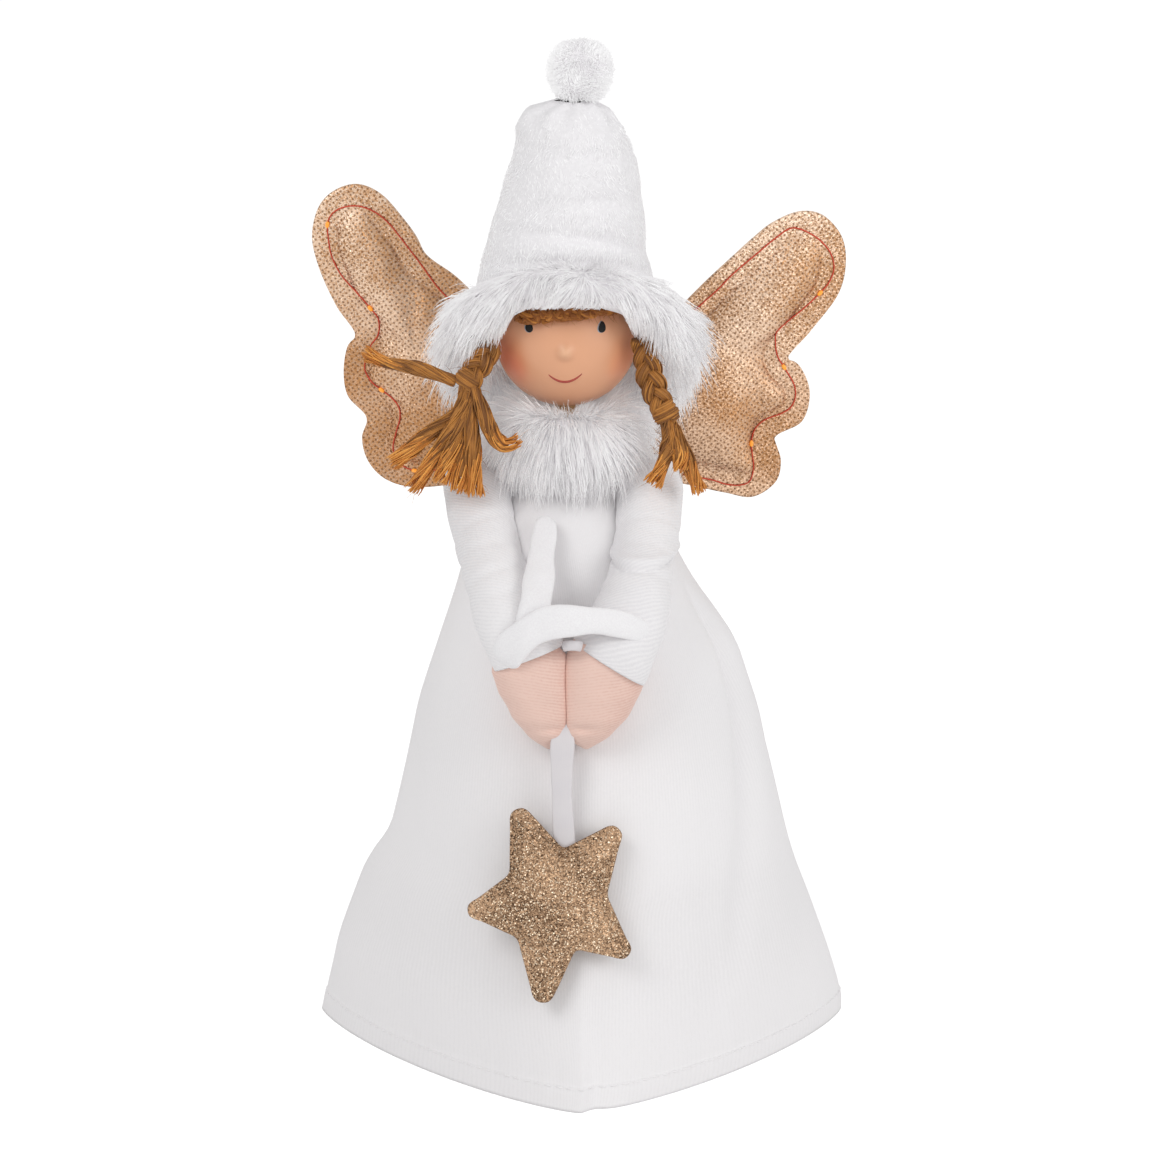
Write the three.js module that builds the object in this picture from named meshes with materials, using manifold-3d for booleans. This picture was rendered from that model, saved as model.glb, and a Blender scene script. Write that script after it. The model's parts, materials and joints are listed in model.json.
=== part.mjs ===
// A light-up Christmas angel: a standing doll with a fur-trimmed hat, plaits, padded wings with a
// string of small lamps, folded arms and a hanging star. Lengths in millimetres, +Z up, front at -Y.
import * as THREE from 'three';
import Module from 'manifold-3d';
import { mergeVertices } from 'three/addons/utils/BufferGeometryUtils.js';

const wasm = await Module();
wasm.setup();

// Clearances and overruns
const GAP = 0.3;
const SEAT_GAP = 0.35;
const MOVING_GAP = 0.5;
const OVERRUN = 2;
const TURN = 2 * Math.PI;
const DEG = Math.PI / 180;

// Dress: a cloth cone from the floor to the neck, with four soft corners at the hem
const DRESS_HEIGHT = 175;
const HEM_HALF_WIDTH = 79;
const HEM_HALF_DEPTH = 77;
const DRESS_WALL = 1.2;
const DRESS_SIDES = 40;
const FOLD_DEPTH = 2.4;
const CREASE_DEPTH = 2;
const FOLD_TURN = { foot: -40, top: -16, halfWidth: 9 };
const CREASE_TURN = { middle: -82.5, halfWidth: 5 };

// Card cone that stands inside the dress, with the wooden plug in its top
const CONE_FOOT_ROOM = 1.87;
const CONE_TOP_ROOM = 3.7;
const BODICE_HEIGHT = 27;
const CONE_WALL = 1;
const CONE_SIDES = 40;
const PLUG_THICKNESS = 8;

// Neck peg, head and face
const LEAN = -4;
const PEG_RADIUS = 3.5;
const PEG_SIDES = 12;
const HEAD_RADIUS = 21;
const HEAD_HEIGHT = 212.8;
const PEG_DEPTH_IN_HEAD = 12;
const BALL_SIDES = 20;
const BALL_RING_COUNT = 12;
const NOSE_RADIUS = 2.1;
const NOSE_DROP = 1.4;
const FRINGE_RADIUS = 2.2;
const FRINGE_HALF_ANGLE = 44;
const FRINGE_RISE = 11;

// Fur collar
const COLLAR_RADIUS = 14.4;
const COLLAR_HALF_WIDTH = 8.6;
const COLLAR_HALF_HEIGHT = 10;
const COLLAR_HEIGHT = 182;
const COLLAR_TILT = 16;
const COLLAR_SET_FORWARD = 1;

// Hat with its fur brim and pompom
const BRIM_RADIUS = 30;
const BRIM_HALF_WIDTH = 8;
const BRIM_HALF_HEIGHT = 8.6;
const BRIM_FRONT_SHARE = 0.7;
const BRIM_HEIGHT = 211;
const BRIM_SET_FORWARD = 1.5;
const BRIM_SET_RIGHT = 1;
const BRIM_TILT = 43;
const HAT_RIM_RADIUS = 27.5;
const HAT_HEIGHT = 282;
const HAT_WALL = 1.4;
const HAT_SIDES = 26;
const HAT_SHIFT = 2.5;
const POMPOM_RADIUS = 9.9;

// Arms: two knitted sleeves that meet at the hands, with a soft tie round the wrists
const SHOULDER_HEIGHT = 167;
const SHOULDER_SPREAD = 25.8;
const SHOULDER_FORWARD = 5;
const ARM_MIDDLE = -5.2;
const SLEEVE_RADIUS = 10.4;
const WRIST_RADIUS = 8.2;
const WRIST_SPREAD = 12;
const WRIST_ROOM = 11.8;
const WRIST_HEIGHT = 130.5;
const ARM_LIFT = 18;
const ARM_SIDES = 16;
const HAND_MIDDLE = -4.2;
const HAND_HALF_WIDTH = 10.8;
const HAND_HALF_DEPTH = 7.8;
const HAND_LENGTH = 26;
const HAND_DRIFT = 1.4;
const TIE_HALF_WIDTH = 3.2;
const TIE_HALF_THICKNESS = 1.7;
const TIE_REACH = 30;

// Ribbon and star that hang from the hands along the slope of the skirt
const RIBBON_WIDTH = 6.3;
const RIBBON_NECK_WIDTH = 1.6;
const RIBBON_THICKNESS = 0.7;
const RIBBON_LENGTH = 41;
const RIBBON_TUCK = 1;
const RIBBON_SET_FORWARD = 2.7;
const RIBBON_WAVE = 1.1;
const RIBBON_SLOPE_SHARE = 0.75;
const RIBBON_LIFT = 60;
const STAR_RADIUS = 27.6;
const STAR_NOTCH_SHARE = 0.545;
const STAR_SEAM = 1.6;
const STAR_CROWN = 3.4;
const STAR_ROOM = 5.15;
const STAR_HEIGHT = 59.6;
const STAR_SHIFT = -7.3;
const SKIRT_SLOPE = 18;
const STAR_SWING = 20;

// Wings: two cloths sewn round a wadding, hinged at the seams of a felt yoke
const YOKE_HALF_WIDTH = 9;
const YOKE_FOOT = 153;
const YOKE_HEIGHT = 40;
const YOKE_THICKNESS = 3.4;
const YOKE_PAD_DEPTH = 14;
const YOKE_PAD_SHARE = 0.36;
const WING_PLANE = 31;
const WING_SPAN = 72;
const WING_HEIGHT = 96;
const WING_FOOT = 155;
const WING_SWEEP = 8;
const WING_ROOT_INSET = 0.7;
const WING_CLOTH = 0.8;
const WING_BORDER = 7.4;
const WING_CROWN_FRONT = 4.6;
const WING_CROWN_BACK = 3;
const WING_POINTS = 34;
const WADDING_POINTS = 24;

// String of lamps along each wing, and its lead down to the battery case
const WIRE_RADIUS = 0.4;
const WIRE_BORDER = 5.2;
const LAMP_RADIUS = 1.2;
const LAMP_LENGTH = 2.4;
const LAMP_FIRST = { left: 75, right: 83 };
const LAMP_PITCH = 29;
const LAMP_COUNT = 4;
const LEAD_RADIUS = 0.75;
const LEAD_RISE = 8;
const LEAD_LEAN = 1.5;

// Plaits of yarn with a wrapped tie and loose ends
const PLAIT_RADIUS = 3.4;
const PLAIT_TIE_RADIUS = 4.4;
const PLAIT_TIE_LENGTH = 6.6;
const STRAND_RADIUS = 2.1;
const STRAND_REACH = 30;
const CURL_SHARE = 0.8;

// Battery case on the back wall of the cone
const CASE_WIDTH = 30;
const CASE_HEIGHT = 46;
const CASE_DEPTH = 10;
const CASE_FLOOR = 1.4;
const CASE_CENTRE_HEIGHT = 50;
const PAD_WIDTH = 18;
const PAD_HEIGHT = 34;
const PAD_THICKNESS = 2.6;
const CELL_RADIUS = 10;
const CELL_THICKNESS = 3.2;
const CELL_COUNT = 2;
const CELL_RISE = 8;
const CONTACT_THICKNESS = 0.3;
const CONTACT_WIDTH = 5;
const BOARD_WIDTH = 22;
const BOARD_HEIGHT = 9;
const BOARD_THICKNESS = 1;
const BOARD_DROP = 15;
const SWITCH_WIDTH = 9;
const SWITCH_HEIGHT = 4;
const SWITCH_DEPTH = 4;
const KNOB_WIDTH = 3;
const KNOB_THICKNESS = 1.6;
const KNOB_REACH = 3;
const KNOB_TRAVEL = 1.5;
const COVER_THICKNESS = 1.6;
const SCREW_HEAD_RADIUS = 2;
const SCREW_HEAD_HEIGHT = 1;
const SCREW_RADIUS = 0.9;
const SCREW_LENGTH = 6;
const SCREW_SLOT = 0.6;

// Finishes
const finish = (color, roughness, metalness = 0) =>
  new THREE.MeshStandardMaterial({ color, roughness, metalness });
const FINISH = {
  dressCloth: finish(0xf4f2f3, 0.95),
  fur: finish(0xfafafa, 1),
  hatCloth: finish(0xeff1f3, 0.95),
  card: finish(0xc9ab7c, 0.9),
  wood: finish(0xd8b483, 0.7),
  skin: finish(0xf0b896, 0.55),
  yarn: finish(0xb07a3c, 0.95),
  wadding: finish(0xffffff, 1),
  knit: finish(0xf1efee, 0.95),
  handKnit: finish(0xeab9a6, 0.9),
  satin: finish(0xf7f7f7, 0.4),
  glitter: finish(0xa9814f, 0.45, 0.6),
  wingCloth: finish(0xd8ab7c, 0.4, 0.6),
  felt: finish(0xf0eee9, 1),
  copper: finish(0xb5532a, 0.4, 0.8),
  lamp: finish(0xff9a2e, 0.25),
  casePlastic: finish(0xf2f2ef, 0.5),
  board: finish(0x2e6b3c, 0.6),
  steel: finish(0xb9bcc0, 0.35, 1),
  blackPlastic: finish(0x222222, 0.5),
  foam: finish(0xe8e8e4, 1),
  insulation: finish(0xf4f4f0, 0.5),
};

const root = new THREE.Group();

/** Adds one named piece to a group. */
function piece(name, geometry, material, parent = root) {
  const mesh = new THREE.Mesh(geometry, material);
  mesh.name = name;
  parent.add(mesh);
  return mesh;
}

/** Builds a geometry from corner points and triangles, facing out. */
function closedGeometry(points, triangles) {
  let volume = 0;
  for (const [a, b, c] of triangles) {
    volume += points[a].dot(new THREE.Vector3().crossVectors(points[b], points[c]));
  }
  const order = volume < 0 ? triangles.map(([a, b, c]) => [a, c, b]) : triangles;
  const geometry = new THREE.BufferGeometry();
  const positions = points.flatMap((p) => [p.x, p.y, p.z]);
  geometry.setAttribute('position', new THREE.Float32BufferAttribute(positions, 3));
  geometry.setIndex(order.flat());
  geometry.computeVertexNormals();
  return geometry;
}

/**
 * Skins a row of rings. A ring of one point is an apex, a row that loops joins its last ring to its
 * first, and an open row is capped flat.
 */
function skin(rings, loops = false) {
  const points = [];
  const starts = rings.map((ring) => points.push(...ring) - ring.length);
  const triangles = [];
  const join = (i, j) => {
    const count = Math.max(rings[i].length, rings[j].length);
    const at = (k, index) => starts[k] + (rings[k].length === 1 ? 0 : index % count);
    for (let s = 0; s < count; s++) {
      if (rings[i].length > 1) triangles.push([at(i, s), at(i, s + 1), at(j, s)]);
      if (rings[j].length > 1) triangles.push([at(i, s + 1), at(j, s + 1), at(j, s)]);
    }
  };
  for (let i = 0; i + 1 < rings.length; i++) join(i, i + 1);
  if (loops) join(rings.length - 1, 0);
  const cap = (k, flipped) => {
    if (loops || rings[k].length === 1) return;
    const centre = new THREE.Vector3();
    for (const p of rings[k]) centre.add(p);
    const middle = points.push(centre.divideScalar(rings[k].length)) - 1;
    for (let s = 0; s < rings[k].length; s++) {
      const here = starts[k] + s;
      const next = starts[k] + (s + 1) % rings[k].length;
      triangles.push(flipped ? [middle, next, here] : [middle, here, next]);
    }
  };
  cap(0, true);
  cap(rings.length - 1, false);
  return closedGeometry(points, triangles);
}

/** Turns a closed geometry into a solid that can be cut and joined. */
function solidOf(geometry) {
  const bare = geometry.clone();
  bare.deleteAttribute('normal');
  bare.deleteAttribute('uv');
  const merged = mergeVertices(bare);
  const mesh = new wasm.Mesh({
    numProp: 3,
    vertProperties: Float32Array.from(merged.attributes.position.array),
    triVerts: Uint32Array.from(merged.index.array),
  });
  return new wasm.Manifold(mesh);
}

/** Turns a solid back into a geometry. */
function geometryOf(solid) {
  const mesh = solid.getMesh();
  const geometry = new THREE.BufferGeometry();
  geometry.setAttribute('position', new THREE.Float32BufferAttribute(mesh.vertProperties, 3));
  geometry.setIndex(Array.from(mesh.triVerts));
  geometry.computeVertexNormals();
  return geometry;
}

/** The largest body of a solid, without crumbs that a cut left. */
function largestBody(solid) {
  return solid.decompose().reduce((best, body) => (body.volume() > best.volume() ? body : best));
}

/** Cuts several solids out of a geometry and keeps its largest body. */
function cutBy(geometry, cutters) {
  const solid = cutters.reduce((rest, cutter) => rest.subtract(cutter), solidOf(geometry));
  return geometryOf(largestBody(solid));
}

/** Joins geometries that overlap into one body. */
function joined(geometries) {
  return geometryOf(geometries.map(solidOf).reduce((sum, next) => sum.add(next)));
}

/** A closed loop of points, one for each step of a turn. */
const turnOf = (sides, place) => Array.from({ length: sides }, (_, i) => place(i / sides * TURN));

/** A box from its size and centre. */
function box(width, depth, height, x = 0, y = 0, z = 0) {
  return new THREE.BoxGeometry(width, depth, height).translate(x, y, z);
}

/** A round bar along Y or Z from its radius, length and centre. */
function bar(radius, length, axis, x = 0, y = 0, z = 0, sides = PEG_SIDES) {
  const geometry = new THREE.CylinderGeometry(radius, radius, length, sides);
  if (axis === 'z') geometry.rotateX(Math.PI / 2);
  return geometry.translate(x, y, z);
}

/**
 * A tube of changing section along a curve. size(share) gives its half width along the hint and its
 * half depth across it. A round end closes to a point over its own half width.
 */
function sweep(curve, size, { sides, steps, hint, roundStart = false, roundEnd = false }) {
  const length = curve.getLength();
  const quarter = [0, 1 / 3, 2 / 3].map((share) => share * Math.PI / 2);
  const startReach = roundStart ? size(0)[0] / length : 0;
  const endReach = roundEnd ? size(1)[0] / length : 0;
  const stops = [];
  if (roundStart) for (const a of quarter) stops.push([startReach * (1 - Math.cos(a)), Math.sin(a)]);
  for (let i = 0; i <= steps; i++) stops.push([THREE.MathUtils.lerp(startReach, 1 - endReach, i / steps), 1]);
  if (roundEnd) {
    for (const a of [...quarter].reverse()) stops.push([1 - endReach * (1 - Math.cos(a)), Math.sin(a)]);
  }
  const rings = stops.map(([stop, scale]) => {
    const share = Math.min(stop, 1);
    const centre = curve.getPointAt(share);
    if (scale === 0) return [centre];
    const along = curve.getTangentAt(share);
    const across = hint.clone().addScaledVector(along, -hint.dot(along)).normalize();
    const deep = new THREE.Vector3().crossVectors(along, across);
    const [halfWidth, halfDepth] = size(share);
    return turnOf(sides, (a) => centre.clone()
      .addScaledVector(across, Math.cos(a) * halfWidth * scale)
      .addScaledVector(deep, Math.sin(a) * halfDepth * scale));
  });
  return skin(rings);
}

/** A smooth open curve through points. */
const curveOf = (points) =>
  new THREE.CatmullRomCurve3(points.map((p) => new THREE.Vector3(...p)), false, 'centripetal');

const ACROSS = new THREE.Vector3(1, 0, 0);
const UPWARD = new THREE.Vector3(0, 0, 1);
const BACKWARD = new THREE.Vector3(0, 1, 0);

/** Straight-line value between the two stations on either side of a share. */
function between(stations, share, read) {
  const last = stations.length - 1;
  let i = stations.findIndex((station) => station[0] >= share);
  if (i < 0) i = last;
  if (i === 0) return read(stations[0]);
  const [low, high] = [stations[i - 1], stations[i]];
  return THREE.MathUtils.mapLinear(share, low[0], high[0], read(low), read(high));
}

// Dress stations: height, left, right, front and back reach, how far back the side corners lie, and
// the exponent of the plan, which goes from a soft diamond at the hem to an ellipse
const DRESS_SHARES = [
  [0, 1, 1.012, 1, 1, 0.104, 1.32],
  [0.04, 0.982, 1.012, 0.974, 0.968, 0.097, 1.35],
  [0.143, 0.935, 0.939, 0.903, 0.883, 0.071, 1.45],
  [0.289, 0.813, 0.819, 0.786, 0.747, 0.032, 1.6],
  [0.343, 0.728, 0.785, 0.747, 0.701, 0.013, 1.7],
  [0.457, 0.671, 0.725, 0.669, 0.636, 0, 1.85],
  [0.577, 0.614, 0.66, 0.571, 0.558, 0, 1.95],
  [0.686, 0.537, 0.572, 0.494, 0.494, 0, 2],
  [0.789, 0.462, 0.42, 0.422, 0.429, 0, 2.1],
  [0.857, 0.42, 0.34, 0.364, 0.396, 0, 2.1],
  [0.914, 0.345, 0.235, 0.28, 0.35, 0, 2.1],
  [0.96, 0.26, 0.16, 0.195, 0.265, 0, 2],
  [0.989, 0.16, 0.055, 0.112, 0.15, 0, 2],
  [1, 0.122, 0.02, 0.075, 0.075, 0, 2],
];

/** How far a fold draws the cloth in at an angle and a height share of the dress. */
function foldDepth(angle, share) {
  const dip = (middle, halfWidth) => Math.exp(-(((angle - middle * DEG) / (halfWidth * DEG)) ** 2));
  const { mapLinear, smoothstep } = THREE.MathUtils;
  const valley = dip(mapLinear(share, 0.27, 0.73, FOLD_TURN.foot, FOLD_TURN.top), FOLD_TURN.halfWidth);
  const valleyFade = smoothstep(share, 0.1, 0.3) * (1 - smoothstep(share, 0.7, 0.82));
  const crease = dip(CREASE_TURN.middle, CREASE_TURN.halfWidth);
  const creaseFade = 1 - smoothstep(share, 0.05, 0.25);
  return FOLD_DEPTH * valley * valleyFade + CREASE_DEPTH * crease * creaseFade;
}

/** One ring of the dress at a height share, grown outward by a distance. */
function dressRing(share, grow, sides = DRESS_SIDES) {
  const read = (column) => between(DRESS_SHARES, share, (station) => station[column]);
  const left = -read(1) * HEM_HALF_WIDTH;
  const right = read(2) * HEM_HALF_WIDTH;
  const cornerY = read(5) * HEM_HALF_DEPTH;
  const front = read(3) * HEM_HALF_DEPTH + cornerY + grow;
  const back = read(4) * HEM_HALF_DEPTH - cornerY + grow;
  const halfWidth = (right - left) / 2 + grow;
  const power = 2 / read(6);
  return turnOf(sides, (turn) => {
    const angle = turn - Math.PI;
    const [c, s] = [Math.cos(angle), Math.sin(angle)];
    const drawnIn = foldDepth(angle, share);
    const x = Math.sign(c) * Math.abs(c) ** power * (halfWidth - drawnIn * Math.abs(c));
    const y = Math.sign(s) * Math.abs(s) ** power * ((s < 0 ? front : back) - drawnIn * Math.abs(s));
    return new THREE.Vector3((left + right) / 2 + x, cornerY + y, share * DRESS_HEIGHT);
  });
}

/** The dress as a full solid, grown by a distance, to cut what rests against it. */
function dressFilled(grow, fromShare = 0) {
  const above = DRESS_SHARES.map((station) => station[0]).filter((share) => share > fromShare);
  const ring = (share) => dressRing(share, grow).map((p) => p.setZ(p.z + grow * share));
  return solidOf(skin([fromShare, ...above].map(ring)));
}

/** The narrowest reach from the axis to the inside of the dress at a height. */
function roomInDress(height) {
  return Math.min(...dressRing(height / DRESS_HEIGHT, -DRESS_WALL).map((p) => Math.hypot(p.x, p.y)));
}

/** How far forward the middle of the dress reaches at a height. */
function dressFront(height) {
  return HEM_HALF_DEPTH * between(DRESS_SHARES, height / DRESS_HEIGHT, (station) => station[3]);
}

const WRIST_FORWARD = dressFront(WRIST_HEIGHT) + WRIST_ROOM;
const RIBBON_FORWARD = WRIST_FORWARD + RIBBON_SET_FORWARD;
const STAR_FORWARD = dressFront(STAR_HEIGHT) + STAR_ROOM;
const CONE_HEIGHT = DRESS_HEIGHT - BODICE_HEIGHT;
const CONE_FOOT_RADIUS = roomInDress(0) - CONE_FOOT_ROOM;
const CONE_TOP_RADIUS = roomInDress(CONE_HEIGHT) - CONE_TOP_ROOM;
const coneRadius = (height) =>
  THREE.MathUtils.mapLinear(height, 0, CONE_HEIGHT, CONE_FOOT_RADIUS, CONE_TOP_RADIUS);
const CONE_ANGLE = Math.atan((CONE_FOOT_RADIUS - CONE_TOP_RADIUS) / CONE_HEIGHT);
const CONE_WALL_ACROSS = CONE_WALL / Math.cos(CONE_ANGLE);
const PLUG_FOOT = CONE_HEIGHT - PLUG_THICKNESS;

/** A ring cone, closed on itself, between two heights. */
function coneShell(low, high, outer, inner) {
  const ring = (height, inset) => turnOf(CONE_SIDES, (a) =>
    new THREE.Vector3(Math.cos(a), Math.sin(a), 0).multiplyScalar(coneRadius(height) - inset).setZ(height));
  return skin([ring(low, outer), ring(high, outer), ring(high, inner), ring(low, inner)], true);
}

/** A cone frustum filled to its axis, following the card cone at an inset. */
function coneFilled(low, high, inset) {
  const ring = (height) => turnOf(CONE_SIDES, (a) =>
    new THREE.Vector3(Math.cos(a), Math.sin(a), 0).multiplyScalar(coneRadius(height) - inset).setZ(height));
  return skin([ring(low), ring(high)]);
}

// Lead: from the battery case up the inside of the cone, out through cone and dress to the yoke
const CASE_PLACE = new THREE.Group();
const CASE_WALL_RADIUS = coneRadius(CASE_CENTRE_HEIGHT) - CONE_WALL_ACROSS;
CASE_PLACE.position.set(0, CASE_WALL_RADIUS, CASE_CENTRE_HEIGHT);
CASE_PLACE.rotation.x = CONE_ANGLE;
CASE_PLACE.updateMatrixWorld();
const CASE_BACK = -(PAD_THICKNESS + GAP);
const CASE_FRONT = CASE_BACK - CASE_DEPTH;
const caseTop = new THREE.Vector3(0, (CASE_BACK + CASE_FRONT) / 2, CASE_HEIGHT / 2 + GAP)
  .applyMatrix4(CASE_PLACE.matrixWorld);
const LEAD_ROUTE = [
  [caseTop.x, caseTop.y, caseTop.z],
  [caseTop.x, caseTop.y - LEAD_LEAN, caseTop.z + LEAD_RISE],
  [0, 33, 98],
  [0, 26.5, 122],
  [0, 25.4, 132],
  [0, 29, 141],
  [0, 33.2, 147],
  [0, 34.4, 151],
  [0, 34.6, 158],
];

function leadTube(grow) {
  const radius = LEAD_RADIUS + grow;
  return sweep(curveOf(LEAD_ROUTE), () => [radius, radius], { sides: 6, steps: 30, hint: ACROSS });
}

const leadBore = solidOf(leadTube(GAP));

// Card cone and plug
piece('cone_liner', cutBy(coneShell(0, CONE_HEIGHT, 0, CONE_WALL_ACROSS), [leadBore]), FINISH.card);
const pegTop = HEAD_HEIGHT - HEAD_RADIUS + PEG_DEPTH_IN_HEAD;
const pegBar = (grow, extra = 0) =>
  bar(PEG_RADIUS + grow, pegTop - PLUG_FOOT + 2 * extra, 'z', LEAN, 0, (PLUG_FOOT + pegTop) / 2);
const pegBore = solidOf(pegBar(SEAT_GAP, GAP));
const plug = coneFilled(PLUG_FOOT, CONE_HEIGHT, CONE_WALL_ACROSS + GAP);
piece('cone_plug', cutBy(plug, [pegBore, leadBore]), FINISH.wood);
piece('neck_peg', pegBar(0), FINISH.wood);

// Ribbon that widens below the hands and lies along the skirt
const ribbonTop = WRIST_HEIGHT - HAND_LENGTH / 2 - RIBBON_TUCK;
const slopeRun = Math.tan(SKIRT_SLOPE * DEG);
const RIBBON_SHARES = [0, 0.2, 0.35, 0.55, 0.75, 1];

function ribbonBand(grow) {
  return skin(RIBBON_SHARES.map((share) => {
    const widening = THREE.MathUtils.smoothstep(share, 0, 0.3);
    const width = THREE.MathUtils.lerp(RIBBON_NECK_WIDTH, RIBBON_WIDTH, widening);
    const x = HAND_MIDDLE - RIBBON_WAVE * Math.sin(share * Math.PI);
    const y = -RIBBON_FORWARD - share * RIBBON_LENGTH * slopeRun * RIBBON_SLOPE_SHARE;
    const z = ribbonTop - share * RIBBON_LENGTH + (share === 0 ? grow : 0);
    const [w, t] = [width / 2 + grow, RIBBON_THICKNESS / 2 + grow];
    return [[-w, -t], [w, -t], [w, t], [-w, t]].map(([a, b]) => new THREE.Vector3(x + a, y + b, z));
  }));
}

/** The ribbon turned forward about its top, as the hands meet it while it lifts. */
function ribbonForHands() {
  const steps = 8;
  const band = solidOf(ribbonBand(SEAT_GAP));
  return Array.from({ length: steps + 1 }, (_, i) => band
    .translate([0, RIBBON_FORWARD, -ribbonTop])
    .rotate([-RIBBON_LIFT * i / steps, 0, 0])
    .translate([0, -RIBBON_FORWARD, ribbonTop]));
}

// Arms: one path for each arm, split at the wrist into sleeve and hand
const SHOULDER_AXIS = { y: -SHOULDER_FORWARD, z: SHOULDER_HEIGHT };
const SLEEVE_SHARES = [
  [0, 0, 1],
  [0.14, 0.34, 0.66],
  [0.34, 0.64, 0.42],
  [0.66, 0.87, 0.16],
  [1, 1, 0],
];

/** Points of a sleeve from shoulder to wrist; side is -1 on the left and 1 on the right. */
function sleevePoints(side) {
  return SLEEVE_SHARES.map(([inward, forward, height]) => [
    ARM_MIDDLE + side * THREE.MathUtils.lerp(SHOULDER_SPREAD, WRIST_SPREAD, inward),
    -THREE.MathUtils.lerp(SHOULDER_FORWARD, WRIST_FORWARD, forward),
    THREE.MathUtils.lerp(WRIST_HEIGHT, SHOULDER_HEIGHT, height),
  ]);
}

function sleeve(side, grow) {
  const size = (share) => {
    const radius = THREE.MathUtils.lerp(SLEEVE_RADIUS, WRIST_RADIUS, share) + grow;
    return [radius, radius];
  };
  const path = curveOf(sleevePoints(side));
  return sweep(path, size, { sides: ARM_SIDES, steps: 9, hint: ACROSS, roundStart: true });
}

/** The dress turned about the shoulders, as the arms meet it while they lift. */
function dressForArms() {
  const steps = 5;
  const filled = dressFilled(MOVING_GAP, 0.55);
  return Array.from({ length: steps + 1 }, (_, i) => filled
    .translate([0, -SHOULDER_AXIS.y, -SHOULDER_AXIS.z])
    .rotate([ARM_LIFT * i / steps, 0, 0])
    .translate([0, SHOULDER_AXIS.y, SHOULDER_AXIS.z]));
}

const HAND_SHARES = [
  [0, 0, 0.84, 0.92],
  [0.24, 0.12, 1, 1],
  [0.46, 0.28, 0.9, 1],
  [0.7, 0.48, 0.68, 0.85],
  [0.9, 0.7, 0.42, 0.55],
  [1, 0.8, 0.18, 0.22],
];

/** A mitten hand that narrows towards its tip and meets the other hand at the middle. */
function hand(side, grow) {
  const wristX = side * (HAND_HALF_WIDTH + GAP);
  const rings = HAND_SHARES.map(([down, inward, width, depth]) => {
    const x = HAND_MIDDLE + THREE.MathUtils.lerp(wristX, wristX / 4, inward);
    const z = WRIST_HEIGHT - HAND_LENGTH * down;
    const y = -WRIST_FORWARD - HAND_DRIFT * down;
    return turnOf(ARM_SIDES, (a) => new THREE.Vector3(
      x + Math.cos(a) * (HAND_HALF_WIDTH * width + grow),
      y + Math.sin(a) * (HAND_HALF_DEPTH * depth + grow),
      z + (down === 0 ? grow : 0),
    ));
  });
  return skin(rings);
}

const dressAtArms = dressForArms();
const blockSize = HAND_HALF_WIDTH * 4;
/** A block that fills the other hand's side of the crease between the hands. */
const otherSide = (side) => solidOf(box(blockSize, blockSize, blockSize,
  HAND_MIDDLE - side * (blockSize - GAP) / 2, -WRIST_FORWARD, WRIST_HEIGHT - HAND_LENGTH / 2));
const arms = {};
for (const [word, side] of [['left', -1], ['right', 1]]) {
  arms[`sleeve_${word}`] = cutBy(sleeve(side, 0), dressAtArms);
}
for (const [word, side] of [['left', -1], ['right', 1]]) {
  const around = [solidOf(sleeve(side, SEAT_GAP)), otherSide(side), ...dressAtArms, ...ribbonForHands()];
  arms[`hand_${word}`] = cutBy(hand(side, 0), around);
}
for (const name of ['sleeve_left', 'sleeve_right']) piece(name, arms[name], FINISH.knit);
for (const name of ['hand_left', 'hand_right']) piece(name, arms[name], FINISH.handKnit);

// Soft tie that holds the wrists together: one end stands up, one lies across the right sleeve

// Places are shares of the tie's reach from the middle between the wrists
const TIE_SHARES = {
  right: [
    [-0.26, -0.282, 0.3], [0.107, -0.308, 0.357], [0.44, -0.255, 0.35], [0.707, -0.168, 0.283],
    [0.857, -0.055, 0.217],
  ],
  left: [[-0.26, -0.282, 0.3], [-0.41, -0.302, 0.137], [-0.56, -0.255, -0.017]],
  up: [[-0.26, -0.282, 0.3], [-0.227, -0.168, 0.583], [-0.193, -0.002, 0.883], [-0.177, 0.115, 1.117]],
};

/** One strip of the tie along its places, with soft ends. */
function tieStrip(name, hint) {
  const points = TIE_SHARES[name].map(([x, y, z]) =>
    [ARM_MIDDLE + x * TIE_REACH, y * TIE_REACH - WRIST_FORWARD, WRIST_HEIGHT + z * TIE_REACH]);
  const size = () => [TIE_HALF_WIDTH, TIE_HALF_THICKNESS];
  return sweep(curveOf(points), size, { sides: 8, steps: 4, hint, roundStart: true, roundEnd: true });
}

const armCutters = [-1, 1].flatMap((side) => [sleeve(side, SEAT_GAP), hand(side, SEAT_GAP)]).map(solidOf);
const tie = joined([tieStrip('right', UPWARD), tieStrip('left', ACROSS), tieStrip('up', ACROSS)]);
piece('wrist_tie', cutBy(tie, armCutters), FINISH.felt);

// Dress with the hole for the lead
const dressShares = DRESS_SHARES.map((station) => station[0]);
const dressOuter = dressShares.map((share) => dressRing(share, 0));
const innerShares = dressShares.filter((share, i) => i % 2 === 0 || share > 0.8).reverse();
const dressInner = innerShares.map((share) => dressRing(share, -DRESS_WALL));
piece('dress', cutBy(skin([...dressOuter, ...dressInner], true), [leadBore]), FINISH.dressCloth);

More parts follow.
